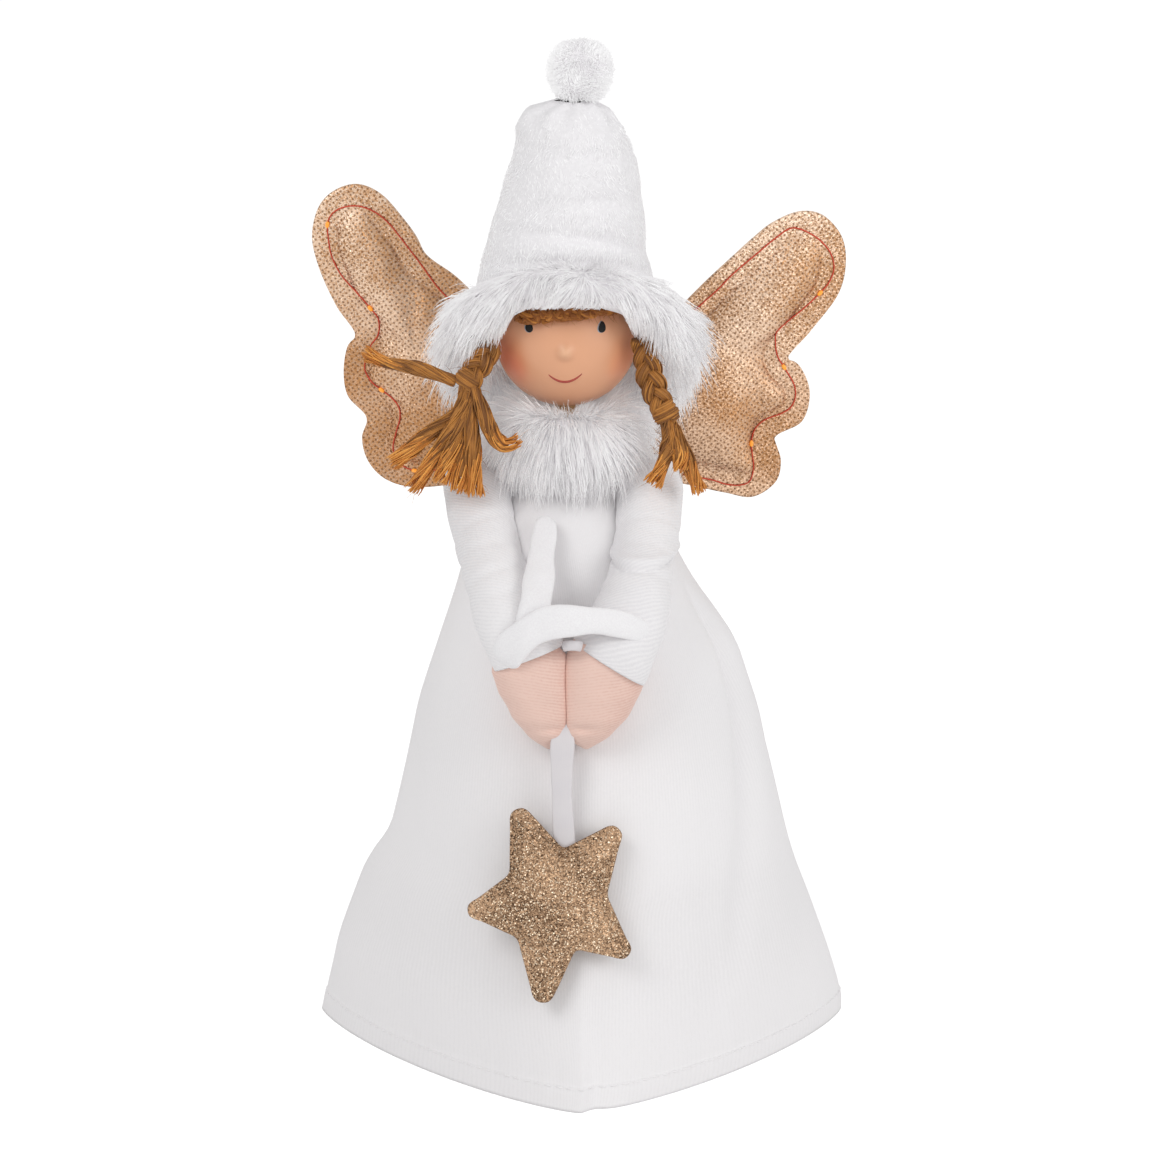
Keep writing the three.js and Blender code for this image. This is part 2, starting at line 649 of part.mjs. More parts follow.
// Stuffing between the top of the cone and the neck
const stuffingFoot = CONE_HEIGHT + GAP;
const upperShares = dressShares.filter((share) => share * DRESS_HEIGHT > stuffingFoot && share < 1);
const stuffingShares = [stuffingFoot / DRESS_HEIGHT, ...upperShares];
const stuffingSides = DRESS_SIDES / 2;
const stuffing = skin(stuffingShares.map((share) => dressRing(share, -(DRESS_WALL + 2 * GAP), stuffingSides)
  .map((p) => p.setZ(Math.max(stuffingFoot, p.z - GAP * share)))));
piece('torso_stuffing', cutBy(stuffing, [pegBore, leadBore]), FINISH.wadding);

/** A fur ring: a tilted circle with an oval section whose size follows the place on the ring. */
function furRing(centre, radius, halfWidth, halfHeight, tilt, frontShare, grow = 0) {
  const sectionSides = 10;
  const ringSteps = 24;
  const slope = tilt * DEG;
  const forward = new THREE.Vector3(0, -Math.cos(slope), Math.sin(slope));
  const normal = new THREE.Vector3(0, Math.sin(slope), Math.cos(slope));
  const rings = turnOf(ringSteps, (turn) => {
    const out = ACROSS.clone().multiplyScalar(Math.cos(turn)).addScaledVector(forward, Math.sin(turn));
    const scale = THREE.MathUtils.lerp(1, frontShare, Math.max(0, Math.sin(turn)) ** 2);
    return turnOf(sectionSides, (a) => centre.clone()
      .addScaledVector(out, radius + Math.cos(a) * (halfWidth * scale + grow))
      .addScaledVector(normal, Math.sin(a) * (halfHeight * scale + grow)));
  });
  return skin(rings, true);
}

const headCentre = new THREE.Vector3(LEAN, 0, HEAD_HEIGHT);
const ball = (radius, centre, sides = BALL_SIDES, ringCount = BALL_RING_COUNT) =>
  new THREE.SphereGeometry(radius, sides, ringCount).rotateX(Math.PI / 2).translate(centre.x, centre.y, centre.z);
const headSpace = solidOf(ball(HEAD_RADIUS + SEAT_GAP, headCentre));

// Collar, head and nose
const collarCentre = new THREE.Vector3(LEAN, -COLLAR_SET_FORWARD, COLLAR_HEIGHT);
const collar = furRing(collarCentre, COLLAR_RADIUS, COLLAR_HALF_WIDTH, COLLAR_HALF_HEIGHT, -COLLAR_TILT, 1);
piece('head', cutBy(ball(HEAD_RADIUS, headCentre), [pegBore]), FINISH.skin);
const noseCentre = headCentre.clone().add(new THREE.Vector3(0, -HEAD_RADIUS, -NOSE_DROP));
const faceSpace = solidOf(ball(HEAD_RADIUS + GAP / 2, headCentre, 2 * BALL_SIDES, 2 * BALL_RING_COUNT));
piece('nose', cutBy(ball(NOSE_RADIUS, noseCentre, BALL_SIDES / 2, BALL_RING_COUNT / 2), [faceSpace]), FINISH.skin);

// Brim, hat and pompom
const brimCentre = new THREE.Vector3(LEAN + BRIM_SET_RIGHT, -BRIM_SET_FORWARD, BRIM_HEIGHT);
const brim = (grow) =>
  furRing(brimCentre, BRIM_RADIUS, BRIM_HALF_WIDTH, BRIM_HALF_HEIGHT, BRIM_TILT, BRIM_FRONT_SHARE, grow);
piece('hat_brim', cutBy(brim(0), [headSpace]), FINISH.fur);
const brimSpace = solidOf(brim(SEAT_GAP));
piece('collar', cutBy(collar, [dressFilled(2 * GAP, 0.8), headSpace, pegBore, brimSpace]), FINISH.fur);

// Hat stations: share of the way up, radius, tilt of the ring, and shift to the side
const HAT_SHARES = [
  [0, 1, 1, 0],
  [0.16, 0.95, 0.62, -0.6],
  [0.34, 0.86, 0.3, -1],
  [0.55, 0.76, 0.1, -0.65],
  [0.74, 0.67, 0, -0.45],
  [0.88, 0.54, 0, -0.9],
  [0.96, 0.37, 0, -0.9],
];

/** One ring of the hat at a station, inset from the cloth's outside. */
function hatRing([up, radius, tilt, shift], inset) {
  const slope = tilt * BRIM_TILT * DEG;
  const forward = new THREE.Vector3(0, -Math.cos(slope), Math.sin(slope));
  const lift = BRIM_HALF_HEIGHT / 2;
  const brimNormal = new THREE.Vector3(0, Math.sin(BRIM_TILT * DEG), Math.cos(BRIM_TILT * DEG));
  const start = brimCentre.clone().addScaledVector(brimNormal, lift);
  const end = new THREE.Vector3(0, 0, HAT_HEIGHT);
  const centre = start.lerp(end, up);
  centre.x += shift * HAT_SHIFT;
  centre.z -= up > 0 ? inset : 0;
  const reach = HAT_RIM_RADIUS * radius - inset;
  return turnOf(HAT_SIDES, (a) => centre.clone()
    .addScaledVector(ACROSS, Math.cos(a) * reach)
    .addScaledVector(forward, Math.sin(a) * reach));
}

const hatTop = (inset) => [new THREE.Vector3(0, 0, HAT_HEIGHT - inset)];
const hatOuter = HAT_SHARES.map((station) => hatRing(station, 0));
const hatInner = HAT_SHARES.map((station) => hatRing(station, HAT_WALL)).reverse();
const hat = skin([hatTop(HAT_WALL), ...hatInner, ...hatOuter, hatTop(0)]);
piece('hat', cutBy(hat, [brimSpace, headSpace]), FINISH.hatCloth);
const pompomCentre = new THREE.Vector3(0, 0, HAT_HEIGHT + POMPOM_RADIUS - OVERRUN);
const hatSpace = solidOf(skin([...HAT_SHARES.map((station) => hatRing(station, -GAP)), hatTop(-GAP)]));
piece('hat_pompom', cutBy(ball(POMPOM_RADIUS, pompomCentre), [hatSpace]), FINISH.fur);

// Fringe of hair on the forehead, under the brim
const fringeReach = HEAD_RADIUS + FRINGE_RADIUS + GAP;
const fringePoints = [-1, -0.5, 0, 0.5, 1].map((share) => {
  const turn = share * FRINGE_HALF_ANGLE * DEG;
  const rise = FRINGE_RISE - share ** 2 * FRINGE_RADIUS;
  const level = Math.sqrt(fringeReach ** 2 - rise ** 2);
  return [headCentre.x + level * Math.sin(turn), -level * Math.cos(turn), HEAD_HEIGHT + rise];
});
const fringe = sweep(curveOf(fringePoints), () => [FRINGE_RADIUS, FRINGE_RADIUS],
  { sides: 8, steps: 8, hint: UPWARD, roundStart: true, roundEnd: true });
piece('hair_fringe', cutBy(fringe, [brimSpace, faceSpace]), FINISH.yarn);

// Padded star
const STAR_TIP_ANGLES = [112.6, 48.7, -35.8, -97.3, -173.6];
const STAR_TIP_SHARES = [1.03, 1, 0.95, 1.06, 0.91];
const STAR_ROUND_SHARE = 0.1;
const STAR_TIP_WIDTH_SHARE = 0.4;

/** Outline of the star in its own plane, with rounded tips. */
function starOutline() {
  const count = STAR_TIP_ANGLES.length;
  const away = (degrees, reach) =>
    new THREE.Vector2(Math.cos(degrees * DEG), Math.sin(degrees * DEG)).multiplyScalar(reach);
  const tips = STAR_TIP_ANGLES.map((degrees, i) => away(degrees, STAR_RADIUS * STAR_TIP_SHARES[i]));
  const shoulder = (tip, sign) => tip.clone().multiplyScalar(1 - STAR_ROUND_SHARE)
    .add(new THREE.Vector2(-tip.y, tip.x).multiplyScalar(sign * STAR_ROUND_SHARE));
  const points = [];
  tips.forEach((tip, i) => {
    const side = new THREE.Vector2(-tip.y, tip.x).multiplyScalar(STAR_ROUND_SHARE * STAR_TIP_WIDTH_SHARE);
    const next = STAR_TIP_ANGLES[(i + 1) % count] - (i === count - 1 ? 360 : 0);
    const notch = away((STAR_TIP_ANGLES[i] + next) / 2, STAR_RADIUS * STAR_NOTCH_SHARE);
    points.push(shoulder(tip, 1), tip.clone().add(side), tip.clone().sub(side), shoulder(tip, -1));
    const nextShoulder = shoulder(tips[(i + 1) % count], 1);
    points.push(shoulder(tip, -1).lerp(notch, 0.5), notch, nextShoulder.lerp(notch, 0.5));
  });
  return points;
}

const PADDING_SHARES = [[1, 0], [0.86, 0.5], [0.6, 0.85], [0.3, 0.98]];
/** A padded shape in the X-Z plane: an outline with a seam, swelling towards its centre on both sides. */
function padded(outline, seam, crown) {
  const layer = (share, rise, front) => outline.map((p) =>
    new THREE.Vector3(p.x * share, (front ? -1 : 1) * (seam / 2 + rise * crown), p.y * share));
  const front = PADDING_SHARES.map(([share, rise]) => layer(share, rise, true)).reverse();
  const back = PADDING_SHARES.map(([share, rise]) => layer(share, rise, false));
  const apex = (sign) => [new THREE.Vector3(0, sign * (seam / 2 + crown), 0)];
  return skin([apex(-1), ...front, ...back, apex(1)]);
}

const starPlace = new THREE.Group();
starPlace.position.set(STAR_SHIFT, -STAR_FORWARD, STAR_HEIGHT);
starPlace.rotation.x = -SKIRT_SLOPE * DEG;
starPlace.updateMatrixWorld();
root.add(starPlace);
const starGeometry = padded(starOutline(), STAR_SEAM, STAR_CROWN);
const ribbonFootY = -RIBBON_FORWARD - RIBBON_LENGTH * slopeRun * RIBBON_SLOPE_SHARE;
const starHinge = new THREE.Vector3(HAND_MIDDLE, ribbonFootY, ribbonTop - RIBBON_LENGTH);
const starNormal = new THREE.Vector3(0, -1, 0).transformDirection(starPlace.matrixWorld);
/** The ribbon turned about the star's hinge, as the star meets it while it swings. */
function ribbonForStar() {
  const steps = 6;
  const move = (offset) => new THREE.Matrix4().makeTranslation(offset);
  return Array.from({ length: steps + 1 }, (_, i) => {
    const turn = new THREE.Matrix4().makeRotationAxis(starNormal, STAR_SWING * DEG * (2 * i / steps - 1));
    const about = move(starHinge).multiply(turn).multiply(move(starHinge.clone().negate()));
    return solidOf(ribbonBand(SEAT_GAP).applyMatrix4(starPlace.matrixWorld.clone().invert().multiply(about)));
  });
}

piece('ribbon', ribbonBand(0), FINISH.satin);
piece('star', cutBy(starGeometry, ribbonForStar()), FINISH.glitter, starPlace);

// Wings: outlines as shares of span and height, from the top of the root over the tip to its foot
const WING_SHARES = {
  left: [
    [0, 0.43], [0.19, 0.56], [0.39, 0.707], [0.52, 0.778], [0.556, 0.83], [0.607, 0.883], [0.712, 0.967],
    [0.806, 0.993], [0.9, 0.971], [0.964, 0.923], [0.997, 0.833], [0.976, 0.743], [0.899, 0.609],
    [0.819, 0.514], [0.851, 0.482], [0.871, 0.396], [0.854, 0.319], [0.775, 0.25], [0.796, 0.188],
    [0.776, 0.117], [0.71, 0.059], [0.597, 0.031], [0.347, 0.052], [0, 0.115],
  ],
  right: [
    [0, 0.406], [0.194, 0.542], [0.407, 0.699], [0.51, 0.769], [0.594, 0.825], [0.681, 0.875], [0.801, 0.908],
    [0.889, 0.894], [0.972, 0.824], [0.99, 0.74], [0.963, 0.649], [0.843, 0.527], [0.75, 0.441],
    [0.793, 0.423], [0.844, 0.336], [0.814, 0.239], [0.696, 0.186], [0.724, 0.12], [0.707, 0.048],
    [0.607, -0.002], [0.483, 0.015], [0.285, 0.051], [0, 0.083],
  ],
};
const WING_CENTRE_SHARE = [0.56, 0.47];

/** Wing outline as evenly spaced points in the wing's plane: u out from the hinge, v up. */
function wingOutline(word, count) {
  const corners = WING_SHARES[word].map(([u, v]) => new THREE.Vector3(u * WING_SPAN, v * WING_HEIGHT, 0));
  const edge = new THREE.CatmullRomCurve3(corners, false, 'centripetal');
  const rootShares = [0.25, 0.5, 0.75];
  const around = edge.getSpacedPoints(count - rootShares.length - 1);
  const rootEdge = rootShares.map((share) => around.at(-1).clone().lerp(around[0], share));
  return [...around, ...rootEdge].map((p) => new THREE.Vector2(Math.max(p.x, WING_ROOT_INSET), p.y));
}

/** Distance from a point to a closed outline. */
function distanceTo(outline, point) {
  let nearest = Infinity;
  outline.forEach((start, i) => {
    const edge = outline[(i + 1) % outline.length].clone().sub(start);
    const share = THREE.MathUtils.clamp(point.clone().sub(start).dot(edge) / edge.lengthSq(), 0, 1);
    nearest = Math.min(nearest, point.distanceTo(start.clone().addScaledVector(edge, share)));
  });
  return nearest;
}

/** Points drawn in towards a centre until they lie a border's width inside the edge. */
function insetOutline(outline, edge, centre, border) {
  const tries = 200;
  return outline.map((start) => {
    for (let i = 1; i < tries; i++) {
      const point = start.clone().lerp(centre, i / tries);
      if (distanceTo(edge, point) >= border) return point;
    }
    return centre.clone();
  });
}

const WING_PADDING_SHARES = [[1, 0], [0.82, 0.55], [0.55, 0.88], [0.25, 1]];
const WADDING_SHARES = [[0.82, 0.25], [0.45, 0.8]];
const WADDING_APEX_SHARE = 0.94;

/** One cloth of a wing: flat at the border, swelling inside the seam. sign is -1 at the front. */
function wingCloth(outline, seam, centre, side, sign, crown) {
  const layer = (points, share, rise, lift) => points.map((p) => {
    const q = centre.clone().lerp(p, share);
    return new THREE.Vector3(side * q.x, sign * (GAP / 2 + rise * crown + lift), q.y);
  });
  const face = (lift) => [
    layer(outline, 1, 0, lift),
    ...WING_PADDING_SHARES.map(([share, rise]) => layer(seam, share, rise, lift)),
    [new THREE.Vector3(side * centre.x, sign * (GAP / 2 + crown + lift), centre.y)],
  ];
  return skin([...face(WING_CLOTH).reverse(), ...face(0)]);
}

/** Wadding that fills a wing between its cloths. */
function wingWadding(seam, centre, side) {
  const layer = (share, rise, crown, sign) => seam.map((p) => {
    const q = centre.clone().lerp(p, share);
    return new THREE.Vector3(side * q.x, sign * rise * (crown - 2 * GAP), q.y);
  });
  const front = WADDING_SHARES.map(([share, rise]) => layer(share, rise, WING_CROWN_FRONT, -1)).reverse();
  const back = WADDING_SHARES.map(([share, rise]) => layer(share, rise, WING_CROWN_BACK, 1));
  const apex = (sign, crown) =>
    [new THREE.Vector3(side * centre.x, sign * (crown - 2 * GAP) * WADDING_APEX_SHARE, centre.y)];
  return skin([apex(-1, WING_CROWN_FRONT), ...front, ...back, apex(1, WING_CROWN_BACK)]);
}

const wireLift = -(GAP / 2 + WING_CLOTH + GAP + LAMP_RADIUS);

/** Route of the lamp wire: just outside the seam, from the root round the tip and back. */
function wireRoute(outline, centre, side) {
  const line = insetOutline(outline, outline, centre, WIRE_BORDER);
  const away = line.filter((p, i) => outline[i].x > WIRE_BORDER);
  return curveOf(away.map((p) => [side * p.x, wireLift, p.y]));
}

/** A lamp bead with a bore for the wire, along Z about its own centre. */
function lampBead() {
  const half = LAMP_LENGTH / 2;
  const bore = WIRE_RADIUS + GAP;
  const neck = [LAMP_RADIUS * 0.75, half * 0.8];
  const profile = [[bore, -half], [neck[0], -neck[1]], [LAMP_RADIUS, 0], neck, [bore, half]];
  return skin(profile.map(([radius, z]) =>
    turnOf(6, (a) => new THREE.Vector3(Math.cos(a) * radius, Math.sin(a) * radius, z))), true);
}

for (const [word, side] of [['left', -1], ['right', 1]]) {
  const place = new THREE.Group();
  place.position.set(side * (YOKE_HALF_WIDTH + GAP), WING_PLANE, WING_FOOT);
  place.rotation.z = side * WING_SWEEP * DEG;
  root.add(place);
  const centre = new THREE.Vector2(WING_CENTRE_SHARE[0] * WING_SPAN, WING_CENTRE_SHARE[1] * WING_HEIGHT);
  const outline = wingOutline(word, WING_POINTS);
  const edge = wingOutline(word, 2 * WING_POINTS);
  const seam = insetOutline(outline, edge, centre, WING_BORDER);
  const paddingOutline = wingOutline(word, WADDING_POINTS);
  const paddingSeam = insetOutline(paddingOutline, edge, centre, WING_BORDER + GAP);
  const route = wireRoute(edge, centre, side);
  const frontCloth = wingCloth(outline, seam, centre, side, -1, WING_CROWN_FRONT);
  const backCloth = wingCloth(outline, seam, centre, side, 1, WING_CROWN_BACK);
  const wire = sweep(route, () => [WIRE_RADIUS, WIRE_RADIUS], { sides: 5, steps: 60, hint: BACKWARD });
  piece(`wing_${word}_front_cloth`, frontCloth, FINISH.wingCloth, place);
  piece(`wing_${word}_back_cloth`, backCloth, FINISH.wingCloth, place);
  piece(`wing_${word}_wadding`, wingWadding(paddingSeam, centre, side), FINISH.wadding, place);
  piece(`led_wire_${word}`, wire, FINISH.copper, place);
  for (let i = 0; i < LAMP_COUNT; i++) {
    const share = (LAMP_FIRST[word] + LAMP_PITCH * i) / route.getLength();
    const bead = piece(`led_${word}_${i + 1}`, lampBead(), FINISH.lamp, place);
    bead.position.copy(route.getPointAt(share));
    bead.quaternion.setFromUnitVectors(UPWARD, route.getTangentAt(share));
  }
}

// Felt yoke: a pad against the back of the dress and a tab between the wings
const yokeBack = WING_PLANE + YOKE_THICKNESS / 2;
const yokeFront = WING_PLANE - YOKE_THICKNESS / 2;
const yokePadFront = yokeFront - YOKE_PAD_DEPTH;
const yokePadTop = YOKE_FOOT + YOKE_HEIGHT * YOKE_PAD_SHARE;
const yokeShape = new THREE.Shape([
  [yokeBack, YOKE_FOOT], [yokeBack, YOKE_FOOT + YOKE_HEIGHT], [yokeFront, YOKE_FOOT + YOKE_HEIGHT],
  [yokeFront, yokePadTop], [yokePadFront, yokePadTop - YOKE_THICKNESS], [yokePadFront, YOKE_FOOT],
].map(([y, z]) => new THREE.Vector2(y, z)));
const yokeBlock = new THREE.ExtrudeGeometry(yokeShape, { depth: 2 * YOKE_HALF_WIDTH, bevelEnabled: false })
  .rotateX(Math.PI / 2).rotateZ(Math.PI / 2).translate(-YOKE_HALF_WIDTH, 0, 0);
piece('wing_yoke', cutBy(yokeBlock, [dressFilled(GAP), brimSpace, leadBore]), FINISH.felt);
piece('lead_wire', leadTube(0), FINISH.insulation);

// Plaits: a short plait from under the brim, a wrapped tie, and loose ends of yarn below it. The plait's
// places are shares of the head's radius from its centre, and the strands' are shares of their reach
// from the tie
const PLAIT_SHARES = {
  left: {
    root: [-1.01, -0.724, 0.01], bend: [-1.171, -0.838, -0.21], tie: [-1.352, -0.876, -0.467],
    ends: [
      [[-0.037, -0.02, -0.233], [-0.353, -0.037, -0.5], [-0.753, -0.02, -0.833]],
      [[-0.037, -0.053, -0.233], [-0.287, -0.103, -0.667], [-0.553, -0.087, -1.083]],
      [[-0.02, -0.07, -0.25], [-0.153, -0.14, -0.633], [-0.287, -0.133, -0.987]],
      [[0.013, -0.07, -0.25], [0.03, -0.167, -0.7], [0.053, -0.2, -1.113]],
    ],
    loose: [[-0.115, 0, -0.01], [-0.467, 0.047, 0.1], [-0.787, 0.113, 0.153], [-1.02, 0.18, 0.233]],
    curl: [[0.127, -0.107, -0.233], [0.233, -0.173, -0.487], [0.36, -0.22, -0.593], [0.5, -0.253, -0.533]],
  },
  right: {
    root: [1.05, -0.71, 0.08], bend: [1.171, -0.838, -0.514], tie: [1.362, -0.876, -0.924],
    ends: [
      [[0.047, -0.037, -0.247], [-0.02, -0.1, -0.48], [-0.12, -0.12, -0.693]],
      [[0.08, -0.053, -0.247], [0.147, -0.093, -0.38], [0.167, -0.1, -0.56]],
      [[0.113, -0.037, -0.247], [0.233, -0.067, -0.513], [0.347, -0.04, -0.793]],
    ],
  },
};

/** A strand of yarn along its points, with soft ends. */
function strand(points, radius, steps = 5) {
  const run = points.at(-1).clone().sub(points[0]);
  const hint = Math.abs(run.x) > Math.abs(run.z) ? UPWARD : ACROSS;
  return sweep(curveOf(points), () => [radius, radius],
    { sides: 6, steps, hint, roundStart: true, roundEnd: true });
}

/** One plait with its tie and its loose strands. */
function makePlait(word) {
  const shares = PLAIT_SHARES[word];
  const onHead = (share) => headCentre.clone().addScaledVector(new THREE.Vector3(...share), HEAD_RADIUS);
  const knot = onHead(shares.tie);
  const place = (share) => knot.clone().addScaledVector(new THREE.Vector3(...share), STRAND_REACH);
  const ends = shares.ends.map((end) => end.map(place));
  const along = ends[0][0].clone().add(ends.at(-1)[0]).divideScalar(2).sub(knot).normalize();
  const down = (distance) => knot.clone().addScaledVector(along, distance);
  const wrap = (radiusAt, extra) => sweep(curveOf([down(-extra), down(PLAIT_TIE_LENGTH + extra)]),
    (share) => [radiusAt(share), radiusAt(share)], { sides: 12, steps: 4, hint: ACROSS });
  const tieRing = wrap((share) => PLAIT_TIE_RADIUS * (0.88 + 0.12 * Math.sin(share * Math.PI)), 0);
  const tieSpace = solidOf(wrap(() => PLAIT_TIE_RADIUS + GAP, GAP));
  const plait = sweep(curveOf([onHead(shares.root), onHead(shares.bend), down(-GAP)]),
    () => [PLAIT_RADIUS, PLAIT_RADIUS], { sides: 10, steps: 6, hint: ACROSS, roundStart: true });
  const start = down(PLAIT_TIE_LENGTH / 2);
  const strands = ends.map((points) => strand([start, ...points], STRAND_RADIUS));
  if (shares.curl) strands.push(strand([start, ...shares.curl.map(place)], STRAND_RADIUS * CURL_SHARE));
  piece(`plait_tie_${word}`, tieRing, FINISH.yarn);
  piece(`plait_${word}`, cutBy(plait, [brimSpace, headSpace, tieSpace]), FINISH.yarn);
  piece(`plait_ends_${word}`, cutBy(joined(strands), [tieSpace]), FINISH.yarn);
  if (shares.loose) {
    const loose = strand(shares.loose.map(place), STRAND_RADIUS, 6);
    piece(`loose_strand_${word}`, cutBy(loose, [tieSpace]), FINISH.yarn);
  }
}

makePlait('left');
makePlait('right');

// Battery case, in its own frame: X across, Y out towards the wall of the cone, Z up along the wall
root.add(CASE_PLACE);
const caseMiddle = (CASE_BACK + CASE_FRONT) / 2;
const padDepth = 3 * PAD_THICKNESS;
const padBlock = box(PAD_WIDTH, padDepth, PAD_HEIGHT, 0, CASE_BACK + GAP + padDepth / 2, 0);
const wallOfCone = solidOf(coneShell(0, CONE_HEIGHT, -CONE_FOOT_RADIUS / 4, CONE_WALL_ACROSS + GAP)
  .applyMatrix4(CASE_PLACE.matrixWorld.clone().invert()));
piece('mounting_pad', cutBy(padBlock, [wallOfCone]), FINISH.foam, CASE_PLACE);

const cellStack = CELL_COUNT * (CELL_THICKNESS + GAP) + CONTACT_THICKNESS + GAP;
const pocketFront = CASE_FRONT - OVERRUN;
const pocketFloor = CASE_BACK - CASE_FLOOR;
const pocketDepth = pocketFloor - pocketFront;
const pocketMiddle = (pocketFloor + pocketFront) / 2;
/** A cavity from the open front of the case down to its floor. */
const pocketBox = (width, height, x, z) => solidOf(box(width, pocketDepth, height, x, pocketMiddle, z));
const cellPocket = solidOf(bar(CELL_RADIUS + MOVING_GAP, pocketDepth, 'y', 0, pocketMiddle, CELL_RISE, 28));
const boardPocket = pocketBox(BOARD_WIDTH + 2 * GAP, BOARD_HEIGHT + 2 * GAP, 0, -BOARD_DROP);
const channelLength = BOARD_DROP + CELL_RISE;
const channel = pocketBox(CONTACT_WIDTH + 2 * GAP, channelLength, 0, CELL_RISE - channelLength / 2);
const sideSlotX = CELL_RADIUS + MOVING_GAP + CONTACT_THICKNESS;
const sideSlotWidth = 2 * (CONTACT_THICKNESS + MOVING_GAP) + OVERRUN / 2;
const sideSlot = pocketBox(sideSlotWidth, CONTACT_WIDTH + 2 * GAP, sideSlotX, CELL_RISE);
const knobZ = -CASE_HEIGHT / 2;
const knobSlotWidth = KNOB_WIDTH + 2 * (KNOB_TRAVEL + MOVING_GAP);
const knobSlotDepth = KNOB_THICKNESS + 2 * MOVING_GAP;
const knobSlot = solidOf(box(knobSlotWidth, knobSlotDepth, CASE_HEIGHT / 4, 0, caseMiddle, knobZ));
const leadHole = solidOf(bar(LEAD_RADIUS + GAP, CASE_HEIGHT / 4, 'z', 0, caseMiddle, CASE_HEIGHT / 2));
const screwX = CASE_WIDTH / 2 - SCREW_HEAD_RADIUS - CASE_FLOOR;
const screwZ = CASE_HEIGHT / 2 - SCREW_HEAD_RADIUS - CASE_FLOOR;
const bossDepth = SCREW_LENGTH - COVER_THICKNESS + MOVING_GAP;
const boreMiddle = CASE_FRONT + (bossDepth - OVERRUN) / 2;
const screwBore = solidOf(bar(SCREW_RADIUS + GAP, bossDepth + OVERRUN, 'y', screwX, boreMiddle, screwZ));
const caseBlock = box(CASE_WIDTH, CASE_DEPTH, CASE_HEIGHT, 0, caseMiddle, 0);
const caseCuts = [cellPocket, boardPocket, channel, sideSlot, knobSlot, leadHole, screwBore];
piece('battery_case', cutBy(caseBlock, caseCuts), FINISH.casePlastic, CASE_PLACE);

const coverMiddle = CASE_FRONT - GAP - COVER_THICKNESS / 2;
const coverPlate = box(CASE_WIDTH, COVER_THICKNESS, CASE_HEIGHT, 0, coverMiddle, 0);
const coverHole = solidOf(bar(SCREW_RADIUS + GAP, COVER_THICKNESS + OVERRUN, 'y', screwX, coverMiddle, screwZ));
piece('battery_cover', cutBy(coverPlate, [coverHole]), FINISH.casePlastic, CASE_PLACE);
const screwHeadY = coverMiddle - COVER_THICKNESS / 2 - GAP - SCREW_HEAD_HEIGHT / 2;
const screwHead = bar(SCREW_HEAD_RADIUS, SCREW_HEAD_HEIGHT, 'y', screwX, screwHeadY, screwZ, 16);
const screwShank = bar(SCREW_RADIUS, SCREW_LENGTH, 'y', screwX, screwHeadY + SCREW_LENGTH / 2, screwZ);
const slotY = screwHeadY - SCREW_HEAD_HEIGHT / 2;
const screwSlotCut = solidOf(box(SCREW_HEAD_RADIUS * 3, SCREW_HEAD_HEIGHT, SCREW_SLOT, screwX, slotY, screwZ));
piece('cover_screw', cutBy(joined([screwHead, screwShank]), [screwSlotCut]), FINISH.steel, CASE_PLACE);

const contactY = pocketFloor - GAP - CONTACT_THICKNESS / 2;
const contactLength = channelLength - OVERRUN;
const contactZ = CELL_RISE - contactLength / 2 + OVERRUN;
const bottomStrip = box(CONTACT_WIDTH, CONTACT_THICKNESS, contactLength, 0, contactY, contactZ);
piece('contact_bottom', bottomStrip, FINISH.steel, CASE_PLACE);
const sideContactX = CELL_RADIUS + MOVING_GAP + CONTACT_THICKNESS / 2;
const sideContactY = pocketFloor - GAP - cellStack / 2;
const sideStrip = box(CONTACT_THICKNESS, cellStack, CONTACT_WIDTH, sideContactX, sideContactY, CELL_RISE);
piece('contact_side', sideStrip, FINISH.steel, CASE_PLACE);
for (let i = 0; i < CELL_COUNT; i++) {
  const y = contactY - CONTACT_THICKNESS / 2 - GAP - CELL_THICKNESS / 2 - i * (CELL_THICKNESS + GAP);
  piece(`cell_${i + 1}`, bar(CELL_RADIUS, CELL_THICKNESS, 'y', 0, y, CELL_RISE, 24), FINISH.steel, CASE_PLACE);
}
const boardY = contactY - CONTACT_THICKNESS / 2 - GAP - BOARD_THICKNESS / 2;
const boardPlate = box(BOARD_WIDTH, BOARD_THICKNESS, BOARD_HEIGHT, 0, boardY, -BOARD_DROP);
piece('circuit_board', boardPlate, FINISH.board, CASE_PLACE);
const switchY = boardY - BOARD_THICKNESS / 2 - GAP - SWITCH_DEPTH / 2;
const switchZ = -BOARD_DROP - BOARD_HEIGHT / 2 + SWITCH_HEIGHT / 2;
const switchBlock = box(SWITCH_WIDTH, SWITCH_DEPTH, SWITCH_HEIGHT, 0, switchY, switchZ);
piece('switch_body', switchBlock, FINISH.blackPlastic, CASE_PLACE);
const knobTop = switchZ - SWITCH_HEIGHT / 2 - GAP;
const knobFoot = knobZ - KNOB_REACH;
const knobLength = knobTop - knobFoot;
const knob = box(KNOB_WIDTH, KNOB_THICKNESS, knobLength, -KNOB_TRAVEL, caseMiddle, knobFoot + knobLength / 2);
piece('switch_knob', knob, FINISH.blackPlastic, CASE_PLACE);

export default root;
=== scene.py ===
"""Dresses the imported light-up angel in its cloth, fur, yarn, glitter and lamps.

Sizes are in millimetres and make_piece turns them into metres. Z is up and the face looks along
-Y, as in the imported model, whose own values the shapes here repeat.
"""

from __future__ import annotations

import json
import logging
import math
from dataclasses import dataclass, field, replace
from enum import Enum
from typing import Callable, Sequence

import bpy
import numpy as np
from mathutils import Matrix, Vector, noise
from mathutils.bvhtree import BVHTree
from mathutils.kdtree import KDTree

